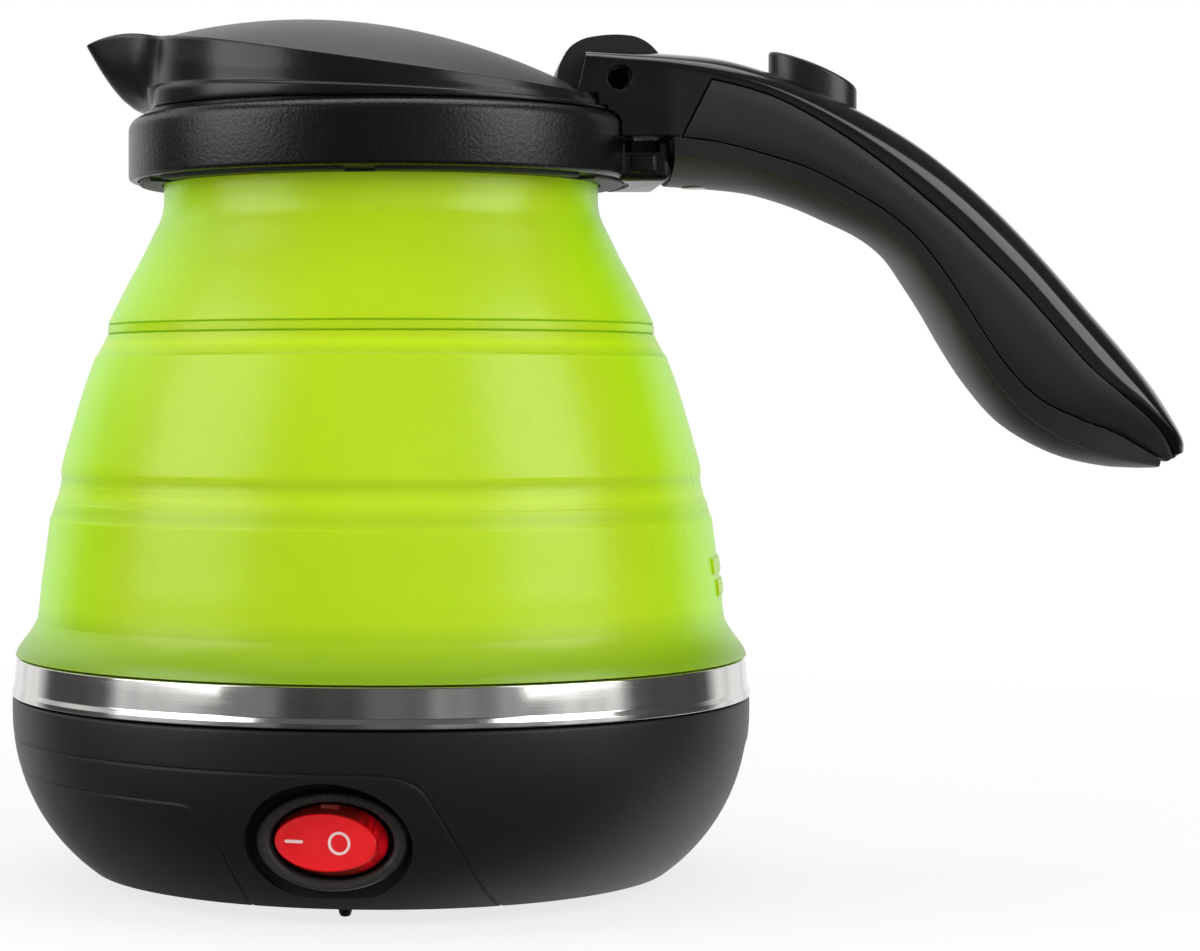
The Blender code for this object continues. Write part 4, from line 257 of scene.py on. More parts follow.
# Handle: stations of (top, strip edge, seam, belly) as shares of the reach and of the drop, and the width share
HANDLE_REACH = 97.0 * MM
HANDLE_DROP = 70.4 * MM
HANDLE_TOP = 137.7 * MM
HANDLE_HALF_WIDTH = 17.0 * MM
STATION_SHARES = (
    ((-0.055, 0.000), (-0.059, 0.033), (-0.089, 0.213), (-0.089, 0.318), 1.000),
    ((0.015, 0.001), (0.010, 0.045), (0.005, 0.213), (0.010, 0.318), 1.000),
    ((0.088, 0.005), (0.082, 0.055), (0.082, 0.213), (0.093, 0.318), 0.990),
    ((0.180, 0.015), (0.170, 0.078), (0.160, 0.224), (0.170, 0.325), 0.940),
    ((0.272, 0.049), (0.258, 0.110), (0.242, 0.251), (0.247, 0.338), 0.880),
    ((0.364, 0.096), (0.339, 0.164), (0.325, 0.286), (0.321, 0.369), 0.830),
    ((0.457, 0.158), (0.427, 0.241), (0.401, 0.338), (0.382, 0.405), 0.800),
    ((0.539, 0.227), (0.504, 0.322), (0.461, 0.388), (0.441, 0.444), 0.780),
    ((0.610, 0.303), (0.575, 0.407), (0.510, 0.443), (0.487, 0.493), 0.770),
    ((0.683, 0.395), (0.637, 0.491), (0.549, 0.507), (0.521, 0.559), 0.770),
    ((0.755, 0.499), (0.694, 0.569), (0.587, 0.583), (0.554, 0.630), 0.770),
    ((0.827, 0.613), (0.752, 0.658), (0.626, 0.667), (0.592, 0.722), 0.765),
    ((0.894, 0.719), (0.813, 0.752), (0.670, 0.754), (0.635, 0.812), 0.745),
    ((0.945, 0.809), (0.873, 0.822), (0.728, 0.832), (0.694, 0.902), 0.700),
    ((0.983, 0.893), (0.925, 0.880), (0.806, 0.883), (0.782, 0.970), 0.600),
    ((1.000, 0.937), (0.957, 0.923), (0.879, 0.921), (0.876, 0.999), 0.470),
    ((1.001, 0.960), (0.980, 0.968), (0.964, 0.986), (0.950, 1.001), 0.330),
)
TOP, STRIP, SEAM, BELLY, WIDTH = range(5)
LAST_STATION = len(STATION_SHARES) - 1
STRIP_ARC_STEPS = 14
GRIP_THICKNESS = 2.4 * MM
GRIP_BULGE = 0.6 * MM
GRIP_TAIL_SHARE = -0.1
GRIP_END_GAP_SHARE = 0.14
GRIP_SECTION_STEPS = 8
GRIP_FIRST_SHARES = ((2.87, 2.31), (3.23, 2.86), (3.63, 3.46), (4.03, 4.03))
SHELL_FIRST_SHARES = ((2.14, 2.03), (3.0, 3.0))
SHELL_LAST_SHARES = ((15.5, 15.55), (15.8, 15.95))
SHELL_ARC_STEPS = 12
CREASE_SHARES = (0.40, 0.40, 0.42, 0.44, 0.46, 0.48, 0.50, 0.52, 0.56, 0.60, 0.62, 0.62, 0.62, 0.64, 0.68, 0.72, 0.72)
CREASE_ANGLE = 24.0
CREASE_LIP = 0.015
STRIP_CROWN = 0.8
CREASE_PROUD = 0.3 * MM
SLOT_HALF_WIDTH = 9.0 * MM
SEAL_NOTCH = (35.4 * MM, 12.2 * MM, 136.2 * MM)
SLOT_RADIUS = 9.9 * MM

# Lid button
BUTTON_X = 73.75 * MM
BUTTON_HALF_LENGTH = 7.5 * MM
BUTTON_HALF_WIDTH = 5.6 * MM
BUTTON_FRONT_TOP = 138.4 * MM
BUTTON_REAR_TOP = 132.1 * MM
BUTTON_CROWN = 0.35 * MM
BUTTON_LOW = 124.5 * MM
BUTTON_TRAVEL = 3.2 * MM
BUTTON_CLEARANCE = 0.4 * MM
BUTTON_ROUND = 0.7 * MM
BUTTON_EDGE_STEPS = 7
# The dish in its top: inset as a share of the rounding, and depth
BUTTON_DISH = ((2.2, 0.06 * MM), (3.6, 0.18 * MM), (5.4, 0.26 * MM))
FINGER_TIP = 44.6 * MM
FINGER_LOW = 133.2 * MM
FINGER_TOP = 135.0 * MM
FINGER_BEND = 50.0 * MM
FINGER_HALF_WIDTH = 3.0 * MM
FINGER_ROOT_LOW = 128.6 * MM
FINGER_ROOT_TOP = 131.8 * MM
STRIP_CEILING = 135.4 * MM
SPRING_WELL_RADIUS = 3.5 * MM
SPRING_POCKET = 2.6 * MM
SPRING_WELL_LOW = 118.6 * MM

# Switch, built facing -Y at the origin of its own panel
SWITCH_TURN = -8.1
RETAINER_FIRST_TURN = SWITCH_TURN * 0.6 - 90
SWITCH_DEPTH_RADIUS = 51.6 * MM
SWITCH_HEIGHT = 11.2 * MM
POCKET_HALF_LENGTH = 13.0 * MM
POCKET_HALF_HEIGHT = 9.9 * MM
POCKET_WALL = 2.0 * MM
BEZEL_HALF_LENGTH = 12.1 * MM
BEZEL_HALF_HEIGHT = 7.8 * MM
BEZEL_THICKNESS = 2.5 * MM
BEZEL_SECTION = (
    (0.0, 0.45), (0.08, 0.75), (0.22, 0.93), (0.42, 1.0), (0.7, 0.98), (0.9, 0.86), (0.98, 0.66), (1.0, 0.45))
BEZEL_INNER_SHARE = 0.72
SWITCH_BODY_START = 0.2 * MM
SWITCH_BODY = (10.9 * MM, 12.6 * MM, 6.7 * MM)
ROCKER_HOLE_HALF_LENGTH = 9.5 * MM
ROCKER_HOLE_HALF_HEIGHT = 5.95 * MM
ROCKER_HOLE_DEPTH = 9.0 * MM
ROCKER_HALF_LENGTH = 9.2 * MM
ROCKER_HALF_HEIGHT = 5.65 * MM
LENS_HALF_LENGTH = 8.15 * MM
LENS_HALF_HEIGHT = 4.4 * MM
ROCKER_FACE = 3.7 * MM
ROCKER_DEPTH = 3.3 * MM
ROCKER_DISH = 0.25 * MM
ROCKER_ROUND = 0.3 * MM
ROCKER_PIVOT_DEPTH = 1.6 * MM
ROCKER_REST_TILT = 9.0
ROCKER_STEM_RADIUS = 1.6 * MM
ROCKER_WALL_SHARES = (0, 0.2, 0.4, 0.6, 0.8, 0.95)
ROCKER_WALL_CURVE = 1.3
ROCKER_WALL_RISE = 0.3
ROCKER_EDGE_STEPS = 4
ROCKER_EDGE_RISE = 0.4
ROCKER_FACE_SHARES = (0.85, 0.65, 0.42, 0.15)
MARK_PROUD = 0.04 * MM
MARK_DEPTH = 1.4 * ROCKER_DISH
DASH_MIDDLE = -5.0 * MM
DASH_HALF_LENGTH = 1.45 * MM
DASH_HALF_STROKE = 0.24 * MM
DASH_CORNER = 0.2 * MM
O_MIDDLE = 2.3 * MM
O_RADIUS = 1.58 * MM
O_HALF_STROKE = 0.20 * MM
TAB_SIDES = (-1.2 * MM, 1.8 * MM)
TAB_DEPTHS = (1.5 * MM, 2.6 * MM)
TAB_HEIGHTS = (-1.05 * MM, 0.05 * MM)
TAB_ROUND = 0.15 * MM
OVAL_STEPS = 96
O_STEPS = 48
GROOVE_SIDES = 8
SEAM_SUBSTEPS = 5

# Appliance inlet
INLET_HEIGHT = 12.4 * MM
INLET_FACE = 51.2 * MM
INLET_HALF_WIDTH = 13.4 * MM
INLET_HALF_HEIGHT = 9.3 * MM
INLET_CORNER = 2.0 * MM
INLET_BOSS_WALL = 1.2 * MM

# Finishes. Black mouldings: share of the black, roughness, grain scale, grain depth in millimetres, spread of the
# gloss, coat, specular level
BLACKS = {
    "base_black": (0.65, 0.42, 1500.0, 0.02, 0.10, 0.0, 0.35),
    "cover_black": (0.9, 0.55, 900.0, 0.05, 0.15, 0.0, 0.5),
    "inlet_black": (0.8, 0.42, 1200.0, 0.02, 0.10, 0.0, 0.5),
    "bezel_black": (1.8, 0.28, 1400.0, 0.012, 0.06, 0.0, 0.5),
    "collar_grain": (0.22, 0.27, 2600.0, 0.05, 0.22, 0.0, 0.42),
    "retainer_black": (0.6, 0.5, 1500.0, 0.02, 0.1, 0.0, 0.5),
    "ring_satin": (0.35, 0.24, 1500.0, 0.012, 0.08, 0.0, 0.4),
    "lid_grain": (1.1, 0.38, 2600.0, 0.035, 0.2, 0.0, 0.5),
    "handle_gloss": (0.30, 0.14, 600.0, 0.001, 0.03, 0.2, 0.45),
    "grip_soft": (1.0, 0.50, 2200.0, 0.03, 0.15, 0.0, 0.35),
    "shell_satin": (0.8, 0.40, 1500.0, 0.015, 0.1, 0.0, 0.3),
    "button_satin": (0.7, 0.32, 1500.0, 0.015, 0.1, 0.0, 0.5),
}
# Bare metals: colour (none takes the steel of the settings), roughness, stretch of the drawing lines, their depth
# in millimetres, stain
METALS = {
    "band_steel": (None, 0.13, (60.0, 60.0, 2600.0), 0.0015, 0.25),
    "pan_steel": (None, 0.26, (40.0, 900.0, 40.0), 0.01, 0.25),
    "clamp_steel": (None, 0.24, (50.0, 50.0, 2000.0), 0.006, 0.25),
    "inner_lid_steel": (None, 0.26, (40.0, 900.0, 40.0), 0.01, 0.25),
    # The hinge pin's near-black is painted shade, standing for the dark of its deep bore.
    "pin_blackened": ((0.012, 0.012, 0.012), 0.60, (900.0, 40.0, 900.0), 0.006, 0.25),
    "spring_steel": ((0.5, 0.5, 0.5), 0.25, (300.0, 300.0, 300.0), 0.006, 0.25),
    "screw_zinc": ((0.55, 0.56, 0.57), 0.32, (700.0, 700.0, 200.0), 0.006, 0.25),
    "terminal_brass": ((0.70, 0.52, 0.25), 0.28, (500.0, 500.0, 60.0), 0.006, 0.25),
    "pin_nickel": ((0.62, 0.60, 0.55), 0.30, (600.0, 600.0, 90.0), 0.006, 0.25),
    "spreader_aluminium": ((0.70, 0.70, 0.71), 0.38, (60.0, 1500.0, 60.0), 0.006, 0.25),
    "sheath_dull": ((0.20, 0.20, 0.20), 0.55, (300.0, 300.0, 300.0), 0.006, 0.6),
    "thermostat_zinc": ((0.55, 0.56, 0.57), 0.35, (400.0, 400.0, 900.0), 0.006, 0.25),
}
# Rubbers: colour, roughness
RUBBERS = {
    "foot_rubber": ((0.012, 0.012, 0.012), 0.62),
    "seal_silicone": ((0.62, 0.62, 0.60), 0.45),
    "fuse_sleeve": ((0.18, 0.18, 0.18), 0.62),
    "lead_brown": ((0.12, 0.045, 0.02), 0.45),
    "lead_blue": ((0.03, 0.09, 0.35), 0.45),
    "lead_earth": ((0.25, 0.40, 0.03), 0.45),
}
# Solids that stay out of sight, under the finish that they take
WORKS = {
    "screw_zinc": ("cover_screw_1", "cover_screw_2", "cover_screw_3", "handle_screw_1", "handle_screw_2", "lid_screw"),
    "terminal_brass": ("inlet_pin_1", "inlet_pin_2", "inlet_pin_3", "switch_terminal_1", "switch_terminal_2"),
    "pin_nickel": ("element_pin_1", "element_pin_2"),
    "spreader_aluminium": ("heat_spreader",),
    "sheath_dull": ("heating_element",),
    "thermostat_zinc": ("thermostat",),
    "fuse_sleeve": ("thermal_fuse",),
    "lead_brown": ("wire_live", "wire_switched"),
    "lead_blue": ("wire_neutral",),
    "lead_earth": ("wire_earth",),
}
SHADER_WORDS = {
    "colour": "Base Color", "roughness": "Roughness", "metallic": "Metallic", "normal": "Normal",
    "coat": "Coat Weight", "coat_roughness": "Coat Roughness", "specular": "Specular IOR Level",
    "through": "Transmission Weight", "depth_weight": "Subsurface Weight", "depth_radius": "Subsurface Radius",
    "depth_scale": "Subsurface Scale", "sheen": "Sheen Weight", "sheen_roughness": "Sheen Roughness",
}
COAT_ROUGHNESS = 0.06
# Radius of the rounded edges' normal and of the painted edge highlight
EDGE_BEVEL_RADIUS = 0.25 * MM
EDGE_GAIN = 8.0
BEVEL_SAMPLES = 4
SPECK_SHARE = 0.6
FLOW_SCALE = 26.0
DUST_COLOUR = (0.35, 0.34, 0.32)
# Painted shade along the silicone's creases, and painted highlight bands on the thin ledges between them: height and
# half width in millimetres, and share
CREASE_SHADE_LINES = ((91.5, 0.35, 1.0), (89.9, 0.35, 1.0), (86.2, 0.3, 0.35), (60.4, 1.6, 0.35), (65.7, 1.0, 0.3))
FOLD_HIGHLIGHT_LINES = ((88.0, 1.1, 0.6), (63.2, 1.3, 0.4))
# Heights over which the painted shade low on the silicone fades out
LOW_SHADE_HEIGHTS = (37.0 * MM, 45.0 * MM)
LENS_WALL = (0.985, 1.02)
LENS_FACETS = (0.55, 0.85)
LENS_RIBS = (1500.0, 60.0, 260.0)

# Stage: light and dark cards round the kettle, as (share of a turn from the back by the left, brightness)
ROOM_CARD_SHARES = (
    (0.000, 0.95), (0.133, 0.90), (0.155, 0.05), (0.244, 0.06), (0.262, 0.70), (0.333, 0.55), (0.361, 0.22),
    (0.406, 0.20), (0.420, 0.04), (0.478, 0.05), (0.500, 0.14), (0.536, 0.10), (0.550, 0.35), (0.583, 0.16),
    (0.611, 0.38), (0.639, 0.28), (0.658, 0.80), (0.714, 0.75), (0.730, 0.05), (0.833, 0.06), (0.852, 0.90),
    (1.000, 0.95),
)
ROOM_STREAKS = 60.0
ROOM_BAND = 5.0
ROOM_DARK = 0.02
ROOM_HORIZON = (-0.05, 0.05)
BACKDROP_START = (-0.05, 0.40)
BACKDROP_LEVEL = 0.95
OVER_RIGHT_END = (0.08, 0.26)
OVER_TOP_END = (0.55, 0.75)
UNDER_LEVEL = 0.25
UNDER_RIGHT_GAIN = 0.7
UNDER_RIGHT_START = (0.0, 0.2)
CEILING_START = (0.15, 0.9)
CEILING_LEVEL = 0.15
# Lamps: name, place, target, size, setting that holds the power, whether gloss shows it
LAMPS = (
    ("left_box", (-0.85, -0.33, 0.50), (0, 0, 0.09), (0.75, 0.66), "side_power", True),
    ("right_box", (0.80, -0.46, 0.50), (0, 0, 0.09), (0.62, 0.66), "side_power", True),
    ("top_box", (0, 0.15, 0.95), (0, 0, 0.1), (0.9, 0.7), "top_power", True),
    ("front_box", (0.1, -0.9, 0.55), (0, 0, 0.07), (0.9, 0.6), "front_power", False),
)
FLOOR_RADIUS = 12.0
FLOOR_SIDES = 96
FLOOR_HEIGHT = -2.62 * MM
FLOOR_WHITE_SHARE = 0.78
FLOOR_FADE = (0.10, 0.40)
CAMERA_DISTANCE = 518.0 * MM
CAMERA_HEIGHT = 80.3 * MM
FRAME_WIDTH = 205.1 * MM
PICTURE = (1200, 951)
HORIZON_ROW = 391
AXIS_COLUMN = 381
SENSOR_WIDTH = 36.0
CLIP = (0.01, 50.0)


# Settings that a user would change

class KettleSizes(PropertyGroup):
    turn_steps: IntProperty(
        name="Turn Steps", description="Sides of each large turned piece", default=160, min=48, max=360)
    handle_substeps: IntProperty(
        name="Handle Substeps", description="Sections between two stations of the handle", default=6, min=1, max=12)
    seam_radius: FloatProperty(
        name="Seam Radius", description="Half the width of the seam lines moulded into the base",
        default=0.30 * MM, min=0.05 * MM, max=1.0 * MM, unit="LENGTH")
    mark_height: FloatProperty(
        name="Level Mark Height", description="Height of each raised level mark", default=2.7 * MM, unit="LENGTH")
    mark_relief: FloatProperty(
        name="Level Mark Relief", description="How far the level marks stand out", default=0.35 * MM, unit="LENGTH")


class KettleColours(PropertyGroup):
    silicone: FloatVectorProperty(
        name="Silicone", description="Colour of the folding body", subtype="COLOR", default=(0.49, 0.72, 0.004))
    silicone_rim: FloatVectorProperty(
        name="Silicone Rim", description="Colour of the folding body where light comes round its sides",
        subtype="COLOR", default=(0.38, 0.84, 0.0))
    # Painted shade: the silicone's colour low down where it lies over the metal, and along its creases
    silicone_shade: FloatVectorProperty(
        name="Silicone Shade", description="Colour of the body where metal lies behind it", subtype="COLOR",
        default=(0.16, 0.30, 0.004))
    black: FloatVectorProperty(
        name="Black", description="Colour of the moulded black pieces", subtype="COLOR", default=(0.014, 0.0135, 0.013))
    lens: FloatVectorProperty(
        name="Switch Lens", description="Colour of the rocker's lens", subtype="COLOR", default=(0.95, 0.004, 0.010))
    # The lens wall's colour is painted shade.
    lens_wall_shade: FloatVectorProperty(
        name="Switch Lens Edge", description="Colour of the lens at its rim", subtype="COLOR",
        default=(0.16, 0.012, 0.004))
    mark: FloatVectorProperty(
        name="Switch Mark", description="Colour of the marks on the rocker", subtype="COLOR",
        default=(0.86, 0.60, 0.60))
    steel: FloatVectorProperty(
        name="Steel", description="Colour of the bare steel", subtype="COLOR", default=(0.70, 0.69, 0.67))
    floor: FloatVectorProperty(
        name="Floor", description="Colour of the floor", subtype="COLOR", default=(0.86, 0.86, 0.86))


class KettleLight(PropertyGroup):
    side_power: FloatProperty(
        name="Side Lamps", description="Power of each side lamp", default=4.2, min=0, max=100, unit="POWER")
    top_power: FloatProperty(
        name="Top Lamp", description="Power of the lamp overhead", default=4.4, min=0, max=100, unit="POWER")
    front_power: FloatProperty(
        name="Front Lamp", description="Power of the weak lamp by the camera", default=3.9, min=0, max=100,
        unit="POWER")
    room_level: FloatProperty(
        name="Room Level", description="Strength of the light from the room", default=0.30, min=0, max=2)


# Outlines

def arc_points(centre, radius, first, last, steps):
    """Points on an arc between two angles in degrees."""
    turns = [math.radians(first + (last - first) * step / steps) for step in range(steps + 1)]
    return [(centre[0] + radius * math.cos(turn), centre[1] + radius * math.sin(turn)) for turn in turns]


def around(radius, turn, height=0.0):
    """The point at a radius from the kettle's axis, at an angle in degrees."""
    angle = math.radians(turn)
    return Vector((radius * math.cos(angle), radius * math.sin(angle), height))


def oval_points(half_length, half_height, steps=OVAL_STEPS):
    turns = [2 * math.pi * step / steps for step in range(steps)]
    return [(half_length * math.cos(turn), half_height * math.sin(turn)) for turn in turns]


def filleted(corners, closed=True, steps=FILLET_STEPS):
    """Turn corners of (a, b) or (a, b, fillet radius) into an outline with arcs at the fillets."""
    points = []
    count = len(corners)
    for index, corner in enumerate(corners):
        if len(corner) < 3 or (not closed and index in (0, count - 1)):
            points.append(tuple(corner[:2]))
            continue
        points.extend(corner_arc(corner, corners[index - 1], corners[(index + 1) % count], steps))
    return points


def corner_arc(corner, before, after, steps):
    """Points of the arc that rounds a corner, no longer than the sides leave room for."""
    here = Vector(corner[:2])
    arms = [Vector(other[:2]) - here for other in (before, after)]
    rooms = [arm.length / (2 if len(other) > 2 else 1) for arm, other in zip(arms, (before, after))]
    units = [arm.normalized() for arm in arms]
    half_angle = units[0].angle(units[1]) / 2
    reach = min(corner[2] / math.tan(half_angle), *rooms)
    centre = here + (units[0] + units[1]).normalized() * reach / math.cos(half_angle)
    start = here + units[0] * reach - centre
    turn = (math.pi - 2 * half_angle) * math.copysign(1, units[1].cross(units[0]))
    points = []
    for step in range(steps + 1):
        cosine, sine = math.cos(turn * step / steps), math.sin(turn * step / steps)
        points.append(tuple(centre + Vector((start.x * cosine - start.y * sine, start.x * sine + start.y * cosine))))
    return points


def held(value):
    """A number kept between 0 and 1."""
    return max(0.0, min(1.0, value))


def blended(values, position):
    """A smooth value through a list, at a position counted in list steps."""
    last = len(values) - 1
    index = min(int(position), last - 1)
    share = position - index
    a, b, c, d = (values[max(0, min(last, index + offset))] for offset in (-1, 0, 1, 2))
    first = b * 2
    second = (c - a) * share
    third = (a * 2 - b * 5 + c * 4 - d) * share * share
    fourth = (b * 3 - a - c * 3 + d) * share * share * share
    return (first + second + third + fourth) / 2


def smooth_run(points, substeps):
    """A finer list of points through a run of them."""
    vectors = [Vector(point) for point in points]
    if len(vectors) < 3:
        return vectors
    count = (len(vectors) - 1) * substeps
    return [blended(vectors, step / substeps) for step in range(count + 1)]


# Meshes

def mesh_piece(name, bm, finish=None):
    """Turn a bmesh into an object, shaded smooth with its sharp edges kept."""
    bmesh.ops.recalc_face_normals(bm, faces=bm.faces)
    mesh = bpy.data.meshes.new(name)
    bm.to_mesh(mesh)
    bm.free()
    obj = bpy.data.objects.new(name, mesh)
    bpy.context.scene.collection.objects.link(obj)
    if finish:
        mesh.materials.append(finish)
    return smoothed(obj)


def smoothed(obj):
    obj.data.shade_smooth()
    obj.data.set_sharp_from_angle(angle=SHARP_ANGLE)
    return obj


def lathe(name, outline, finish=None, closed=True, place=(0, 0, 0), steps=0):
    """Turn an outline of (radius, height) about Z. Points on the axis become one."""
    steps = steps or bpy.context.scene.kettle_sizes.turn_steps
    bm = bmesh.new()
    rows = []
    for step in range(steps):
        turn = 2 * math.pi * step / steps
        cosine, sine = math.cos(turn), math.sin(turn)
        rows.append([bm.verts.new((place[0] + r * cosine, place[1] + r * sine, place[2] + z)) for r, z in outline])
    pairs = list(zip(range(len(outline)), range(1, len(outline)))) + ([(len(outline) - 1, 0)] if closed else [])
    for row, after in zip(rows, rows[1:] + rows[:1]):
        for first, second in pairs:
            bm.faces.new((row[first], row[second], after[second], after[first]))
    bmesh.ops.remove_doubles(bm, verts=bm.verts, dist=MERGE)
    return mesh_piece(name, bm, finish)


def loft(name, rings, finish=None, wrapped=False):
    """Skin equal rings of points, capped at both ends unless they close a loop."""
    bm = bmesh.new()
    rows = [[bm.verts.new(point) for point in ring] for ring in rings]
    pairs = list(zip(rows, rows[1:])) + ([(rows[-1], rows[0])] if wrapped else [])
    for first, second in pairs:
        for index in range(len(first)):
            after = (index + 1) % len(first)
            bm.faces.new((first[index], first[after], second[after], second[index]))
    if not wrapped:
        bm.faces.new(list(reversed(rows[0])))
        bm.faces.new(rows[-1])
    bmesh.ops.triangulate(bm, faces=bm.faces)
    return mesh_piece(name, bm, finish)


def prism(name, outline, near, far, finish=None, upright=True):
    """A flat outline given thickness along Y (upright, outline in X and Z) or along Z."""
    bm = bmesh.new()
    rows = []
    for depth in (near, far):
        rows.append([bm.verts.new((a, depth, b) if upright else (a, b, depth)) for a, b in outline])
    for index in range(len(outline)):
        after = (index + 1) % len(outline)
        bm.faces.new((rows[0][index], rows[0][after], rows[1][after], rows[1][index]))
    bm.faces.new(rows[0])
    bm.faces.new(list(reversed(rows[1])))
    return mesh_piece(name, bm, finish)


def block(name, low, high, finish=None):
    low, high = Vector(low), Vector(high)
    bm = bmesh.new()
    scale = Matrix.Diagonal((*(high - low), 1.0))
    bmesh.ops.create_cube(bm, size=1.0, matrix=Matrix.Translation((low + high) / 2) @ scale)
    return mesh_piece(name, bm, finish)


def bar(name, radius, start, end):
    """A round bar between two points."""
    start, end = Vector(start), Vector(end)
    along = end - start
    turn = along.to_track_quat("Z", "Y").to_matrix().to_4x4()
    bm = bmesh.new()
    bmesh.ops.create_cone(
        bm, cap_ends=True, segments=SMALL_STEPS, radius1=radius, radius2=radius, depth=along.length,
        matrix=Matrix.Translation((start + end) / 2) @ turn)
    return mesh_piece(name, bm)


def softened(obj, width, segments=4):
    bevel = obj.modifiers.new("edges", "BEVEL")
    bevel.width = width
    bevel.segments = segments
    bevel.limit_method = "ANGLE"
    bevel.angle_limit = SOFTENED_ANGLE
    settled(obj)


def settled(obj):
    """Replace a piece's mesh by the result of its modifiers."""
    bpy.context.view_layer.update()
    graph = bpy.context.evaluated_depsgraph_get()
    mesh = bpy.data.meshes.new_from_object(obj.evaluated_get(graph))
    obj.modifiers.clear()
    obj.data = mesh
    return smoothed(obj)


def combined(target, tools, operation):
    for tool in tools:
        modifier = target.modifiers.new(tool.name, "BOOLEAN")
        modifier.operation = operation
        modifier.solver = "EXACT"
        modifier.object = tool
    settled(target)
    for tool in tools:
        bpy.data.objects.remove(tool)
    return target


def cut(target, *tools):
    return combined(target, tools, "DIFFERENCE")


def joined(target, *tools):
    return combined(target, tools, "UNION")


def kept_inside(target, tool):
    return combined(target, [tool], "INTERSECT")


def groove_tool(name, path, radius):
    """A thin tube along a path, to cut a seam line with."""
    rings = []
    for index, point in enumerate(path):
        along = (path[min(index + 1, len(path) - 1)] - path[max(index - 1, 0)]).normalized()
        outward = Vector((point.x, point.y, 0)).normalized()
        across = along.cross(outward).normalized()
        outward = across.cross(along)
        turns = [2 * math.pi * step / GROOVE_SIDES for step in range(GROOVE_SIDES)]
        rings.append([point + (across * math.cos(turn) + outward * math.sin(turn)) * radius for turn in turns])
    return loft(name, rings)


def oval_stack(name, rings, finish=None, wrapped=False):
    """Ovals of (half length, half height, depth) behind one another along Y."""
    rows = [[(x, depth, z) for x, z in oval_points(length, height)] for length, height, depth in rings]
    return loft(name, rows, finish, wrapped)


def oval_prism(name, half_length, half_height, near, far):
    return oval_stack(name, [(half_length, half_height, depth) for depth in (near, far)])


def worn(obj, body, slot, *nodes):
    """Let a finished piece ride on a body and stand for solids, which it hides. The slot is not used."""
    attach(obj, body)
    if nodes:
        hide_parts(*nodes)


def finished_node(node, finish):
    """Give a solid that stays in view its finish."""
    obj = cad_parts[node]
    for slot in obj.material_slots:
        slot.material = finish


# Finishes

class Wire:
    """A value in a node tree. Python's operators put Math nodes behind it."""

    def __init__(self, tree, socket):
        self.tree = tree
        self.socket = socket

    def maths(self, operation, *values):
        node = self.tree.nodes.new("ShaderNodeMath")
        node.operation = operation
        for target, value in zip(node.inputs, values):
            feed(self.tree, target, value)
        return Wire(self.tree, node.outputs[0])

    def __neg__(self):
        return self.maths("MULTIPLY", self, -1.0)

    def __abs__(self):
        return self.maths("ABSOLUTE", self)

    def held(self):
        """The value kept between 0 and 1."""
        node = self.tree.nodes.new("ShaderNodeClamp")
        feed(self.tree, node.inputs["Value"], self)
        return Wire(self.tree, node.outputs[0])

    def rising(self, low, high):
        """0 below low, 1 above high, and straight between them."""
        return ((self - low) / (high - low)).held()

    def line(self, place, width):
        """1 on a place, fading to 0 at a width from it."""
        return (1.0 - abs(self - place) / width).held()

    def lines(self, places):
        """Lines at places and widths in millimetres, each with its share."""
        return sum(self.line(place * MM, width * MM) * share for place, width, share in places).held()


def overload(word, operation):
    """Give Wire one of Python's operators and its reflected form."""
    setattr(Wire, f"__{word}__", lambda self, other: self.maths(operation, self, other))
    setattr(Wire, f"__r{word}__", lambda self, other: self.maths(operation, other, self))


for pair in (("add", "ADD"), ("sub", "SUBTRACT"), ("mul", "MULTIPLY"), ("truediv", "DIVIDE"), ("pow", "POWER")):
    overload(*pair)


def feed(tree, target, value):
    if isinstance(value, Wire):
        tree.links.new(value.socket, target)
    else:
        target.default_value = value


def set_stops(ramp, stops):
    while len(ramp.elements) < len(stops):
        ramp.elements.new(0.5)
    for element, (place, colour) in zip(ramp.elements, stops):
        element.position = place
        element.color = (*colour, 1.0)


class Nodes:
    """A node tree in the making."""

    def __init__(self, owner):
        owner.use_nodes = True
        self.tree = owner.node_tree

    def node(self, kind, settings=None, values=None, output=0):
        """Add a node: its settings first, then the values or links of its sockets."""
        node = self.tree.nodes.new(kind)
        for key, value in (settings or {}).items():
            if key == "stops":
                set_stops(node.color_ramp, value)
            else:
                setattr(node, key, value)
        for key, value in (values or {}).items():
            feed(self.tree, node.inputs[key], value)
        return Wire(self.tree, node.outputs[output])

    def part(self, vector, axis):
        """One of X, Y or Z of a vector."""
        return self.node("ShaderNodeSeparateXYZ", values={0: vector}, output=axis)


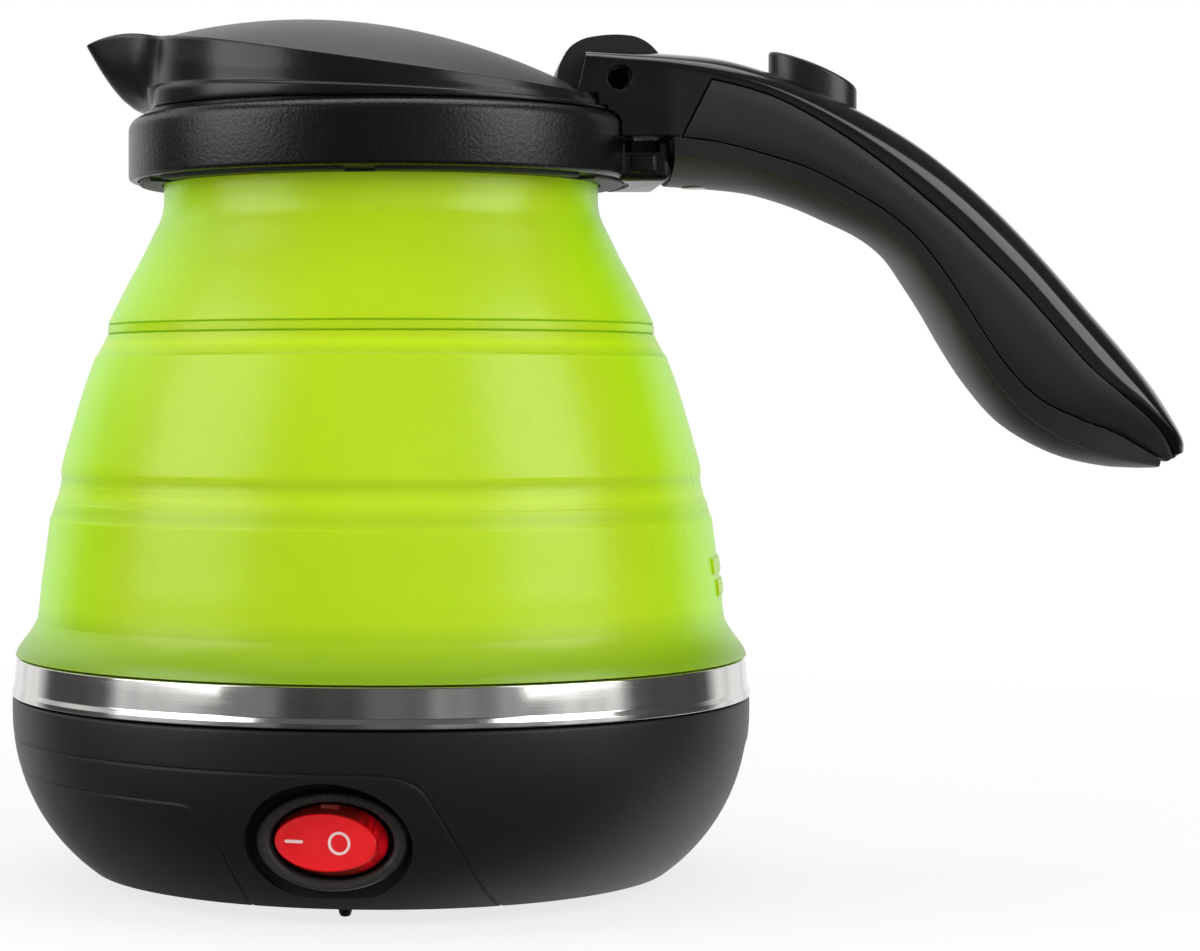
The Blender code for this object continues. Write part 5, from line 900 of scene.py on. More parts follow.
class Finish(Nodes):
    """A material in the making: its tree, its shader and the place on the piece that patterns follow."""

    def __init__(self, name, **constants):
        self.material = bpy.data.materials.new(name)
        super().__init__(self.material)
        self.shader = self.tree.nodes["Principled BSDF"]
        for words, value in constants.items():
            self.shader.inputs[SHADER_WORDS[words]].default_value = value
        self.place = self.node("ShaderNodeTexCoord", output="Object")

    def stretched(self, x, y, z):
        return self.node("ShaderNodeVectorMath", {"operation": "MULTIPLY"}, {0: self.place, 1: (x, y, z)})

    def noise(self, scale, detail=2.0, roughness=0.5, vector=None):
        values = {"Vector": vector or self.place, "Scale": scale, "Detail": detail, "Roughness": roughness}
        return self.node("ShaderNodeTexNoise", values=values)

    def mix(self, factor, first, second):
        """A colour between two others."""
        colours = [value if isinstance(value, Wire) else (*value[:3], 1.0) for value in (first, second)]
        return self.node("ShaderNodeMix", {"data_type": "RGBA"}, {0: factor, 6: colours[0], 7: colours[1]}, output=2)

    def edges(self, radius):
        """1 on the piece's edges and 0 on its flats, with the normal of the rounded edges."""
        bevel = self.node("ShaderNodeBevel", {"samples": BEVEL_SAMPLES}, {"Radius": radius})
        plain = self.node("ShaderNodeNewGeometry", output="Normal")
        same = self.node("ShaderNodeVectorMath", {"operation": "DOT_PRODUCT"}, {0: bevel, 1: plain}, output="Value")
        return (EDGE_GAIN * (1.0 - same)).held(), bevel

    def bump(self, height, distance, normal=None):
        values = {"Height": height, "Distance": distance, "Strength": 1.0}
        if normal:
            values["Normal"] = normal
        return self.node("ShaderNodeBump", values=values)

    def wire(self, **links):
        for words, value in links.items():
            feed(self.tree, self.shader.inputs[SHADER_WORDS[words]], value)
        return self.material


def tone(colour, factor):
    return tuple(min(1.0, channel * factor) for channel in colour[:3])


def moulded_black(name):
    """Black moulding: fine grain, slow changes of shade and gloss, and a painted highlight along its edges, which are
    also a little glossier.
    """
    level, roughness, grain, depth, spread, coat, specular = BLACKS[name]
    colour = tone(bpy.context.scene.kettle_colours.black, level)
    finish = Finish(name, coat=coat, coat_roughness=COAT_ROUGHNESS, specular=specular)
    fine = finish.noise(grain, detail=3.0, roughness=0.6)
    specks = finish.node("ShaderNodeTexVoronoi", values={"Vector": finish.place, "Scale": grain * SPECK_SHARE})
    slow = finish.noise(FLOW_SCALE, detail=4.0)
    edge_highlight, rounded = finish.edges(EDGE_BEVEL_RADIUS)
    shade = finish.mix(slow, tone(colour, 0.75), tone(colour, 1.3))
    # Painted highlight: the edges are coloured lighter than the flats.
    shade = finish.mix(edge_highlight * 0.5, shade, tone(colour, 3.0))
    gloss = roughness + (fine - 0.5) * spread + (slow - 0.5) * 0.10 - edge_highlight * 0.06
    relief = finish.bump(fine + specks * 0.5, depth * MM, normal=rounded)
    return finish.wire(colour=shade, roughness=gloss.held(), normal=relief)


def rubbery(name):
    """Soft rubber or wire insulation: dull, a little dusty."""
    colour, roughness = RUBBERS[name]
    finish = Finish(name, sheen=0.15, sheen_roughness=0.5)
    fine = finish.noise(1400.0, detail=4.0)
    slow = finish.noise(60.0, detail=3.0)
    dust = (finish.noise(420.0, detail=5.0) - 0.58).held() * 3.0
    shade = finish.mix(slow, tone(colour, 0.7), tone(colour, 1.35))
    shade = finish.mix(dust.held() * 0.25, shade, DUST_COLOUR)
    relief = finish.bump(fine, 0.04 * MM)
    return finish.wire(colour=shade, roughness=roughness + (fine - 0.5) * 0.2, normal=relief)


def metal(name):
    """Bare metal with drawing lines, slow stains and fine scratches."""
    colour, roughness, lines, depth, stain = METALS[name]
    colour = colour or tuple(bpy.context.scene.kettle_colours.steel)
    finish = Finish(name, metallic=1.0)
    along = finish.noise(1.0, detail=4.0, roughness=0.7, vector=finish.stretched(*lines))
    slow = finish.noise(45.0, detail=5.0, roughness=0.62)
    pits = finish.noise(1800.0, detail=2.0)
    shade = finish.mix((slow - 0.35).held() * stain * 2.0, colour, tone(colour, 0.62))
    shade = finish.mix((along - 0.5).held() * 0.5, shade, tone(colour, 1.25))
    gloss = roughness + (along - 0.5) * 0.16 + (slow - 0.5) * 0.14
    relief = finish.bump(along + pits * 0.3, depth * MM)
    return finish.wire(colour=shade, roughness=gloss.held(), normal=relief)


def silicone_finish():
    """Satin translucent rubber with painted light: a painted rim light where its sides turn from view, painted shade
    where it lies over the metal and along its creases, and painted highlight bands on the fold ledges.
    """
    colours = bpy.context.scene.kettle_colours
    finish = Finish(
        "silicone_satin", depth_weight=0.55, depth_radius=(0.8, 1.0, 0.15), depth_scale=4.0 * MM, specular=0.45)
    height = finish.part(finish.place, "Z")
    slow = finish.noise(22.0, detail=4.0)
    fine = finish.noise(1100.0, detail=3.0)
    # Painted shade low on the body, where it lies over the metal
    painted_shade_low = 1.0 - height.rising(*LOW_SHADE_HEIGHTS)
    shade = finish.mix(slow, tone(colours.silicone, 0.76), tone(colours.silicone, 0.90))
    # Painted rim light: the colour turns to the rim colour where the surface turns away from view
    facing = finish.node("ShaderNodeLayerWeight", values={"Blend": 0.5}, output="Facing")
    shade = finish.mix(facing.rising(0.35, 0.80) * 0.9, shade, colours.silicone_rim)
    shade = finish.mix(painted_shade_low * 0.85, shade, colours.silicone_shade)
    # Painted shade along the creases
    shade = finish.mix(height.lines(CREASE_SHADE_LINES) * 0.55, shade, colours.silicone_shade)
    # Painted highlight bands on the fold ledges, paler than the silicone and patchy along their length
    fold_band = height.lines(FOLD_HIGHLIGHT_LINES) * slow.rising(0.1, 0.4) * 0.6
    shade = finish.mix(fold_band, shade, tone(colours.silicone, 1.25))
    dust = (finish.noise(600.0, detail=2.0) - 0.66).held() * 4.0
    gloss = 0.30 + (slow - 0.5) * 0.08 + (fine - 0.5) * 0.10 + dust.held() * 0.15
    relief = finish.bump(fine, 0.02 * MM)
    return finish.wire(colour=shade, roughness=gloss.held(), normal=relief)


def lens_finish():
    """Red lens: a clear bright face over a wall in browner painted shade, with ribs at the wall's open end painted in
    lit and shaded stripes.
    """
    colours = bpy.context.scene.kettle_colours
    finish = Finish(
        "rocker_lens", coat=0.6, coat_roughness=0.08, through=0.12, depth_weight=0.25,
        depth_radius=(1.0, 0.1, 0.1), depth_scale=2.0 * MM)
    shift = (ROCKER_FACE + ROCKER_PIVOT_DEPTH) * math.sin(math.radians(ROCKER_REST_TILT))
    across = (finish.part(finish.place, "X") + shift) / LENS_HALF_LENGTH
    up = finish.part(finish.place, "Z") / LENS_HALF_HEIGHT
    wall = ((across * across + up * up) ** 0.5).rising(*LENS_WALL)
    facets = across.rising(*LENS_FACETS) * wall
    ribs = finish.noise(1.0, detail=2.0, vector=finish.stretched(*LENS_RIBS))
    slow = finish.noise(300.0, detail=3.0)
    shade = finish.mix(slow, tone(colours.lens, 0.82), tone(colours.lens, 1.12))
    # Painted light and shade: the right-hand wall's ribs are striped lighter and darker than the lens.
    lit_and_shaded_ribs = finish.mix(ribs.rising(0.42, 0.58) * 0.8, tone(colours.lens, 1.5), tone(colours.lens, 0.5))
    # Painted shade on the lens wall.
    shade = finish.mix(wall * 0.9, shade, colours.lens_wall_shade)
    shade = finish.mix(facets, shade, lit_and_shaded_ribs)
    relief = finish.bump(slow + facets * ribs, 0.03 * MM)
    return finish.wire(colour=shade, roughness=0.16 + (slow - 0.5) * 0.1, normal=relief)


def mark_finish():
    """Pad-printed marks, a little uneven."""
    colour = bpy.context.scene.kettle_colours.mark
    finish = Finish("rocker_marks", specular=0.4)
    patchy = finish.noise(2500.0, detail=3.0)
    shade = finish.mix(patchy, tone(colour, 0.85), tone(colour, 1.1))
    return finish.wire(colour=shade, roughness=0.4 + patchy * 0.1, normal=finish.bump(patchy, 0.01 * MM))


# Base

def bowl_radius(height, inset=0.0):
    """Radius of the bowl's outer face at a height, or of a face parallel to it inside."""
    curve = BOWL_CURVE - inset
    drop = max(0.0, BOWL_SHOULDER - height)
    return BASE_RADIUS - BOWL_CURVE + math.sqrt(curve * curve - drop * drop)


def bowl_side(low, high, inset=0.0):
    """Side of the bowl, top to bottom, with equal turns along its arc."""
    curve = BOWL_CURVE - inset
    first = math.asin(max(0.0, BOWL_SHOULDER - high) / curve)
    last = math.asin((BOWL_SHOULDER - low) / curve)
    turns = [first + (last - first) * step / BOWL_STEPS for step in range(BOWL_STEPS + 1)]
    middle = BASE_RADIUS - BOWL_CURVE
    return [(middle + curve * math.cos(turn), BOWL_SHOULDER - curve * math.sin(turn)) for turn in turns]


def bowl_limit(name):
    """The space inside the bowl's outer face, which keeps inner lumps out of sight."""
    side = bowl_side(HOUSING_RIM, BOWL_SHOULDER, HOUSING_WALL / 3)
    return lathe(name, [(0, BOWL_SHOULDER), *side, (0, HOUSING_RIM)], closed=False)


def switch_place():
    """Where the switch panel's own frame sits: its origin is the centre of the pocket's floor."""
    centre = around(SWITCH_DEPTH_RADIUS, SWITCH_TURN - 90, SWITCH_HEIGHT)
    return Matrix.Translation(centre) @ Matrix.Rotation(math.radians(SWITCH_TURN), 4, "Z")


def on_switch_panel(obj):
    obj.matrix_world = switch_place()
    return obj


def seam_path(seam):
    """A seam line's points on the bowl, from its list of angles and heights."""
    run = smooth_run([(turn, height * MM) for turn, height in seam], SEAM_SUBSTEPS)
    return [around(bowl_radius(height), turn, height) for turn, height in run]


def inlet_block(name, margin, near, far):
    """A rounded block along X with the inlet's outline."""
    width = INLET_HALF_WIDTH + margin
    top = INLET_HEIGHT + INLET_HALF_HEIGHT + margin
    low = INLET_HEIGHT - INLET_HALF_HEIGHT - margin
    corner = INLET_CORNER
    outline = filleted([(-width, top, corner), (width, top, corner), (width, low, corner), (-width, low, corner)])
    obj = prism(name, outline, near, far)
    obj.data.transform(Matrix.Rotation(-math.pi / 2, 4, "Z"))
    return obj


def build_base(finish):
    top = BASE_TOP - GAP
    inner_top = BASE_RADIUS - HOUSING_WALL
    opening = COVER_RADIUS + GAP
    outer = bowl_side(HOUSING_RIM, BOWL_SHOULDER)
    inner = bowl_side(HOUSING_FLOOR_TOP, BOWL_SHOULDER, HOUSING_WALL)
    edge = filleted([(inner_top, top), (BASE_RADIUS, top, HOUSING_EDGE), outer[0]], closed=False)[:-1]
    outline = [*edge, *outer, (opening, HOUSING_RIM), (opening, HOUSING_FLOOR_TOP), *reversed(inner)]
    housing = lathe("base_shell", outline, finish)
    out = BASE_RADIUS - SWITCH_DEPTH_RADIUS + OVERRUN
    wall = POCKET_WALL
    lump = oval_prism("pocket_lump", POCKET_HALF_LENGTH + wall, POCKET_HALF_HEIGHT + wall, -out, HOUSING_WALL)
    kept_inside(on_switch_panel(lump), bowl_limit("pocket_limit"))
    recess_lump = inlet_block("recess_lump", GAP + INLET_BOSS_WALL, INLET_FACE - HOUSING_WALL, BASE_RADIUS + OVERRUN)
    kept_inside(recess_lump, bowl_limit("recess_limit"))
    joined(housing, lump, recess_lump)
    pocket = on_switch_panel(oval_prism("pocket", POCKET_HALF_LENGTH, POCKET_HALF_HEIGHT, -out, 0))
    half_length, _, half_height = SWITCH_BODY
    through = on_switch_panel(oval_prism(
        "switch_hole", half_length + GAP, half_height + GAP, -OVERRUN, HOUSING_WALL + OVERRUN))
    recess = inlet_block("recess", GAP, INLET_FACE - HOUSING_WALL - OVERRUN * 2, BASE_RADIUS + OVERRUN)
    cut(housing, pocket, through, recess)
    radius = bpy.context.scene.kettle_sizes.seam_radius
    for name, seam in (("upper_seam", UPPER_SEAM), ("lower_seam", LOWER_SEAM)):
        cut(housing, groove_tool(name, seam_path(seam), radius))
    worn(housing, "base", "base_housing", "base_housing")


def build_feet(finish):
    outline = filleted([
        (0, FOOT_TOP), (FOOT_RADIUS, FOOT_TOP), (FOOT_RADIUS, FOOT_SHOULDER, FOOT_SHOULDER_ROUND),
        (FOOT_WAIST, 0, FOOT_ROOT_ROUND), (FOOT_MIDDLE, -FOOT_REACH / 2), (FOOT_TIP, -FOOT_REACH, FOOT_TIP_ROUND),
        (0, -FOOT_REACH),
    ], closed=False)
    for index, turn in enumerate(FOOT_TURNS, start=1):
        x, y, _ = around(FOOT_CIRCLE, turn)
        foot = lathe(f"foot_nub_{index}", outline, finish, closed=False, place=(x, y, 0), steps=SMALL_STEPS)
        worn(foot, "base", "feet", f"foot_{index}")


def build_band(finish):
    shelf_top = BASE_TOP + BAND_LIP
    inner = BAND_TOP_RADIUS - BAND_WALL
    outline = filleted([
        (inner, BAND_TOP, BAND_INNER_ROUND), (BAND_TOP_RADIUS, BAND_TOP, BAND_TOP_ROUND),
        (BAND_FOOT_RADIUS, shelf_top + BAND_LIP * BAND_FOOT_SHARE, BAND_FOOT_ROUND),
        (BAND_LIP_RADIUS, shelf_top - BAND_LIP * BAND_LIP_SHARE, BAND_LIP_ROUND),
        (BAND_LIP_RADIUS, BASE_TOP, BAND_INNER_ROUND),
        (inner - BAND_SHELF, BASE_TOP), (inner - BAND_SHELF, shelf_top), (inner, shelf_top),
    ])
    worn(lathe("band", outline, finish), "base", "steel_band", "steel_band")


# Silicone body

def wall_outline():
    """The wall's outer points from foot to neck, and the inner points across from them."""
    outer = []
    for run in WALL_RUNS:
        outer.extend(Vector(point) * MM for point in smooth_run(run, WALL_SUBSTEPS))
    inner = []
    for index in range(WALL_SUBSTEPS * WALL_FOOT_SPANS, len(outer) - 1, WALL_INNER_STRIDE):
        along = (outer[index + 1] - outer[index - 1]).normalized()
        fold_band = any(low < outer[index].y < high for low, high in FOLD_ZONES)
        inner.append(outer[index] - Vector((along.y, -along.x)) * (FOLD_THICKNESS if fold_band else WALL_THICKNESS))
    return outer, inner


def build_silicone(finish):
    outer, inner = wall_outline()
    bead = BAND_TOP_RADIUS - BAND_WALL - GAP
    bore = PAN_RADIUS - PAN_WALL
    neck = outer[-1].x
    outline = [
        (NECK_BORE, NECK_FLANGE_TOP), (NECK_FLANGE_RADIUS, NECK_FLANGE_TOP), (NECK_FLANGE_RADIUS, NECK_FLANGE_LOW),
        (neck, NECK_FLANGE_LOW), *reversed(outer), (outer[0].x - WALL_TUCK, WALL_FOOT - WALL_TUCK_DROP),
        (bead, WALL_FOOT), (bead, BEAD_SEAT), (bore, BEAD_SEAT), (bore, BEAD_STEP), *inner,
        (neck - WALL_THICKNESS, NECK_FLANGE_LOW),
        (NECK_BORE, NECK_FLANGE_LOW + WALL_THICKNESS / 2),
    ]
    body = lathe("silicone_wall", outline, finish)
    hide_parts("silicone_body")
    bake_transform(body)


def wall_radius(height):
    """Radius of the silicone's outer face at a height."""
    outer, _ = wall_outline()
    for first, second in zip(outer, outer[1:]):
        if first.y <= height <= second.y:
            return first.x + (second.x - first.x) * (height - first.y) / (second.y - first.y)
    return outer[-1].x


def build_level_marks(finish):
    """Two raised level marks low on the handle's side, each a short curved bar that follows the wall."""
    sizes = bpy.context.scene.kettle_sizes
    for index, (middle, first, last) in enumerate(LEVEL_MARKS, start=1):
        rings = []
        for step in range(LEVEL_MARK_STEPS + 1):
            turn = first + (last - first) * step / LEVEL_MARK_STEPS
            ring = []
            for share, proud in LEVEL_MARK_SECTION:
                height = middle + sizes.mark_height * share
                ring.append(around(wall_radius(height) + sizes.mark_relief * proud, turn, height))
            rings.append(ring)
        worn(loft(f"level_mark_{index}", rings, finish), "base", "silicone_body")


# Collar and retaining ring

def build_retaining_ring(finish):
    inner = WALL_RUNS[-1][-1][0] * MM + GAP
    outline = filleted([
        (inner, NECK_FLANGE_LOW - GAP), (RETAINER_RADIUS, NECK_FLANGE_LOW - GAP),
        (RETAINER_RADIUS, RETAINER_LOW, COLLAR_EDGE / 2), (inner, RETAINER_LOW, COLLAR_EDGE / 3),
    ])
    ring = lathe("retaining_ring_fine", outline, finish)
    half = RETAINER_NOTCH / 2
    notches = []
    for index in range(RETAINER_NOTCH_COUNT):
        notch = block(
            f"notch_{index}", (inner + GAP * 2, -half, RETAINER_LOW - OVERRUN),
            (RETAINER_RADIUS + OVERRUN, half, RETAINER_LOW + RETAINER_NOTCH_DEPTH))
        turn = RETAINER_FIRST_TURN + 360 * index / RETAINER_NOTCH_COUNT
        notch.data.transform(Matrix.Rotation(math.radians(turn), 4, "Z"))
        notches.append(notch)
    cut(ring, *notches)
    worn(ring, "collar", "retaining_ring", "retaining_ring")


def collar_side(margin=0.0):
    """Outer side of the collar, top to bottom."""
    radius = COLLAR_RADIUS + margin
    top = COLLAR_TOP + margin
    return filleted([
        (radius - COLLAR_SHOULDER, top), (radius, top, COLLAR_SHOULDER),
        (radius, COLLAR_LOW, COLLAR_EDGE), (radius - COLLAR_WALL, COLLAR_LOW),
    ], closed=False, steps=COLLAR_STEPS)


def build_collar(finish):
    shelf_low = NECK_FLANGE_TOP + GAP
    shelf_top = shelf_low + SHELF_THICKNESS
    inner = COLLAR_RADIUS - COLLAR_WALL
    seat = RING_SKIRT_RADIUS + GAP
    outline = [
        (seat, COLLAR_TOP), *collar_side(), (inner, shelf_low), (NECK_BORE, shelf_low), (NECK_BORE, shelf_top),
        (seat, shelf_top),
    ]
    collar = lathe("collar_fine", outline, finish)
    top = handle_point(SEAM, 2).y - GAP
    lug = block("lug", (RETAINER_RADIUS - OVERRUN, -LUG_HALF_WIDTH, LUG_LOW), (LUG_REACH, LUG_HALF_WIDTH, top))
    softened(lug, LUG_CORNER)
    tenon = block(
        "tenon", (LUG_REACH - OVERRUN, -TENON_HALF_WIDTH, TENON_LOW), (TENON_REACH, TENON_HALF_WIDTH, TENON_TOP))
    joined(lug, tenon)
    core_radius = COLLAR_RADIUS - COLLAR_WALL / 2
    core = [(0, top + OVERRUN), (core_radius, top + OVERRUN), (core_radius, LUG_LOW - OVERRUN), (0, LUG_LOW - OVERRUN)]
    tools = [lathe("lug_core", core, closed=False)]
    for side in (-1, 1):
        near = side * (LUG_HALF_WIDTH - WINDOW_DEPTH)
        far = side * (LUG_HALF_WIDTH + OVERRUN)
        tools.append(block(
            f"lug_window_{side + 2}", (WINDOW_START, min(near, far), WINDOW_LOW),
            (WINDOW_END, max(near, far), top + OVERRUN)))
    cut(lug, *tools)
    start, end, low = LUG_TAB
    reach = LUG_HALF_WIDTH + GAP
    tabs = block("lug_tabs", (start, -reach, low), (end, reach, WINDOW_LOW - GAP))
    softened(tabs, GAP * 2)
    joined(lug, tabs)
    joined(collar, lug)
    half = KNUCKLE_HALF_WIDTH + GAP
    cut(collar, block(
        "knuckle_relief", (HINGE_X - TONGUE_SWING, -half, HINGE_Z - KNUCKLE_RADIUS),
        (COLLAR_RADIUS + OVERRUN, half, COLLAR_TOP + OVERRUN)))
    worn(collar, "collar", "collar", "collar")


# Spout ring

def rim_fall(x):
    """How far the rim lies above or below its height on the kettle's axis."""
    return x * x / (2 * RIM_ARC) - x * RIM_FALL_SHARE


def laid(x, height):
    """Height of a moulding line of the ring, which fans out from the collar to the rim."""
    share = held((height - COLLAR_TOP) / (RING_RIM - COLLAR_TOP))
    nose = max(0.0, -x - RING_RIM_RADIUS)
    return height + (rim_fall(x) - nose * nose / BEAK_DROOP_ARC) * share


def beak_radius(root, reach, turn):
    """Radius of the beak's side at an angle from its middle, with a soft valley at its root."""
    spread = BEAK_VALLEY_TURN * held((abs(turn) - BEAK_VALLEY_TURN) / BEAK_VALLEY_TURN)
    offsets = [spread * (2 * step / BEAK_SAMPLES - 1) for step in range(BEAK_SAMPLES + 1)]
    return sum(beak_flank(root, reach, turn + offset) for offset in offsets) / len(offsets)


def beak_flank(root, reach, turn):
    """Radius of the beak's straight flank at an angle from its middle, from its root to its nose."""
    if abs(turn) >= BEAK_HALF_TURN or reach <= root:
        return root
    half = math.radians(BEAK_HALF_TURN)
    away = math.radians(math.hypot(turn, BEAK_NOSE_TURN * (1 - abs(turn) / BEAK_HALF_TURN)))
    away = min(away, half)
    return reach * root * math.sin(half) / (reach * math.sin(away) + root * math.sin(half - away))


def beak_reach(height):
    """How far the beak's nose reaches at a height, from the ring's bead to the rim."""
    share = held((height - RING_BEAD_LOW) / (RING_RIM - RING_BEAD_LOW))
    return RING_WALL_RADIUS + (BEAK_REACH - RING_WALL_RADIUS) * share ** BEAK_FLARE_SHARE


def ring_corners():
    """The ring's outer side, from its rim down to its skirt, with every edge rounded."""
    shelf = NECK_FLANGE_TOP + GAP + SHELF_THICKNESS + GAP
    wall = []
    for step in range(RING_WALL_STEPS + 1):
        share = step / RING_WALL_STEPS
        height = RING_RIM - RIM_ROUND - (RING_RIM - RIM_ROUND - RING_BEAD_TOP - RIM_ROUND) * share
        wall.append((RING_RIM_RADIUS + (RING_WALL_RADIUS - RING_RIM_RADIUS) * held(share * RING_WALL_LEAN), height))
    rim = arc_points((RING_RIM_RADIUS - RIM_ROUND, RING_RIM - RIM_ROUND), RIM_ROUND, *RIM_TURNS, RIM_STEPS)
    bead = filleted([
        (RING_WALL_RADIUS, RING_BEAD_TOP + RIM_ROUND), (RING_WALL_RADIUS, RING_BEAD_TOP, BEAD_ROOT),
        (RING_BEAD_RADIUS, RING_BEAD_TOP, BEAD_ROUND), (RING_BEAD_RADIUS, RING_BEAD_LOW, BEAD_ROUND),
        (RING_SKIRT_RADIUS, RING_BEAD_LOW, SKIRT_ROOT), (RING_SKIRT_RADIUS, shelf),
    ], closed=False)
    return [*rim, *wall, *bead[1:]], shelf


def ring_section(turn, outer, shelf):
    """The ring's closed section at an angle in degrees, from its inner rim over and down outside."""
    from_beak = turn % 360 - 180
    ledge = RING_RIM - LEDGE_DROP
    steps = RING_LEDGE_STEPS
    heights = [RING_BEAD_TOP + (ledge - RING_BEAD_TOP) * step / steps for step in range(steps + 1)]
    inner = [(RING_BORE, shelf), *((RING_BORE, height) for height in heights)]
    inner += [(LEDGE_RADIUS, ledge), (LEDGE_RADIUS, RING_RIM - GAP / 2)]
    first, last = BEAD_FADE
    bead = held((abs(from_beak) - first) / (last - first))
    places = []
    for radius, height in outer:
        if radius > RING_WALL_RADIUS and height >= RING_BEAD_LOW:
            radius = RING_WALL_RADIUS + (radius - RING_WALL_RADIUS) * bead
        places.append((beak_radius(radius, beak_reach(height), from_beak), height))
    for radius, height in inner:
        places.append((max(radius, beak_radius(radius, beak_reach(height) - BEAK_WALL, from_beak)), height))
    direction = around(1.0, turn)
    section = []
    for radius, height in places:
        point = direction * radius
        point.z = laid(point.x, height)
        section.append(point)
    return section


def build_spout_ring(finish):
    reach = BEAD_FADE[1]
    beak = [180 + reach * step / BEAK_COLUMNS for step in range(-BEAK_COLUMNS, BEAK_COLUMNS)]
    rest = 360 - 2 * reach
    others = [180 + reach + rest * step / RING_COLUMNS for step in range(RING_COLUMNS)]
    outer, shelf = ring_corners()
    ring = loft("spout_ring_fine", [ring_section(turn, outer, shelf) for turn in beak + others], finish, wrapped=True)
    half = KNUCKLE_HALF_WIDTH + GAP
    out = RING_BEAD_RADIUS + OVERRUN
    top = RING_RIM + OVERRUN
    cut(ring, block("hinge_notch", (LID_CHORD, -half, HINGE_Z - KNUCKLE_BARREL - GAP), (out, half, top)))
    low = (HINGE_X - TONGUE_SWING, -half, HINGE_Z - KNUCKLE_RADIUS - OVERRUN)
    cut(ring, block("sweep_notch", low, (out, half, top)))
    worn(ring, "collar", "spout_ring", "spout_ring")


# Lid

def follow_rim(obj):
    """Lay a turned piece of the lid along the falling rim."""
    for vertex in obj.data.vertices:
        vertex.co.z += rim_fall(vertex.co.x)
    return smoothed(obj)


def sector(radius, hub, first, last):
    """Side view of a sector about the pin between two angles, from a hub to an outer radius."""
    centre = (HINGE_X, HINGE_Z)
    return arc_points(centre, radius, first, last, KNUCKLE_STEPS) + arc_points(centre, hub, last, first, KNUCKLE_STEPS)


def pin_bore(name, reach):
    return bar(name, HINGE_HOLE_RADIUS, (HINGE_X, -reach, HINGE_Z), (HINGE_X, reach, HINGE_Z))


def knuckle_outline():
    """Side view of the knuckle: an arch over the pin, flattened on top, with a barrel round it."""
    centre = Vector((HINGE_X, HINGE_Z))
    circle = arc_points(centre, KNUCKLE_RADIUS, KNUCKLE_FIRST_TURN, KNUCKLE_LAST_TURN, KNUCKLE_STEPS)
    arch = []
    for index, point in enumerate(circle):
        share = blended(KNUCKLE_ARCH_SHARES, index * (len(KNUCKLE_ARCH_SHARES) - 1) / KNUCKLE_STEPS)
        arch.append(tuple(centre + (Vector(point) - centre) * share))
    return arch + arc_points(centre, KNUCKLE_BARREL, KNUCKLE_LAST_TURN, KNUCKLE_FIRST_TURN - 360, KNUCKLE_STEPS)


def build_knuckle():
    """The arch, notched in the middle for the button's finger, and the tongue which that presses."""
    knuckle = prism("knuckle", knuckle_outline(), -KNUCKLE_HALF_WIDTH, KNUCKLE_HALF_WIDTH)
    notch = sector(KNUCKLE_RADIUS + OVERRUN, KNUCKLE_BARREL, FINGER_NOTCH_TURN, TONGUE_LOW_TURN)
    half = FINGER_HALF_WIDTH + BUTTON_CLEARANCE
    cut(knuckle, prism("finger_notch", notch, -half, half))
    tongue = sector(KNUCKLE_RADIUS, HINGE_PIN_RADIUS, TONGUE_TOP_TURN, TONGUE_LOW_TURN)
    return joined(knuckle, prism("knuckle_tongue", tongue, -FINGER_HALF_WIDTH, FINGER_HALF_WIDTH))


def build_lid(finish):
    rest = RING_RIM + GAP
    edge = RING_RIM - LID_SINK
    flange_low = edge - LID_EDGE
    dome = [(0, edge + LID_RISE)]
    for step in range(1, LID_STEPS + 1):
        radius = (LID_RADIUS - LID_MARGIN) * math.sin(math.pi / 2 * step / LID_STEPS)
        dome.append((radius, edge + LID_RISE * (1 - (radius / LID_RADIUS) ** 2)))
    plug_low = rest - LID_STEP - LID_PLUG_DROP
    plug_inner = LID_PLUG_RADIUS - LID_PLUG_WALL
    ceiling = [(radius, height - LID_WALL) for radius, height in dome[::3] if radius < plug_inner]
    rim = filleted([
        dome[-1], (LID_RADIUS, edge, LID_EDGE_ROUND), (LID_RADIUS, flange_low, LID_EDGE_ROUND),
        (RING_BORE - GAP, flange_low),
    ], closed=False)
    outline = [
        *dome, *rim[1:], (RING_BORE - GAP, rest - LID_STEP), (LID_PLUG_RADIUS, rest - LID_STEP),
        (LID_PLUG_RADIUS, plug_low), (plug_inner, plug_low), *reversed(ceiling),
    ]
    lid = follow_rim(lathe("lid_fine", outline, finish, closed=False))
    cut(lid, block(
        "lid_chord", (LID_CHORD, -LID_CHORD_HALF_WIDTH, RING_RIM - LID_RADIUS),
        (LID_RADIUS + OVERRUN, LID_CHORD_HALF_WIDTH, RING_RIM + LID_RADIUS)))
    post_top = edge + LID_RISE - LID_WALL / 2
    post_low = plug_low + POST_RADIUS * RIM_FALL_SHARE
    joined(lid, build_knuckle(), bar("lid_post", POST_RADIUS, (0, 0, post_low), (0, 0, post_top)))
    cut(lid, pin_bore("knuckle_bore", KNUCKLE_HALF_WIDTH + OVERRUN), bar(
        "post_bore", SCREW_RADIUS + GAP, (0, 0, plug_low - OVERRUN), (0, 0, plug_low + LID_SCREW_LENGTH)))
    worn(lid, "lid", "lid", "lid")


# Handle

def handle_point(column, position):
    """A point of one of the handle's side-view lines, as (x, z)."""
    along = blended([station[column][0] for station in STATION_SHARES], position)
    down = blended([station[column][1] for station in STATION_SHARES], position)
    return Vector((HINGE_X + HANDLE_REACH * along, HANDLE_TOP - HANDLE_DROP * down))


def handle_width(position):
    return HANDLE_HALF_WIDTH * blended([station[WIDTH] for station in STATION_SHARES], position)


def spots(first, last):
    """Positions along the handle, with the finer steps between its stations."""
    substeps = bpy.context.scene.kettle_sizes.handle_substeps
    return [first + step / substeps for step in range((last - first) * substeps + 1)]


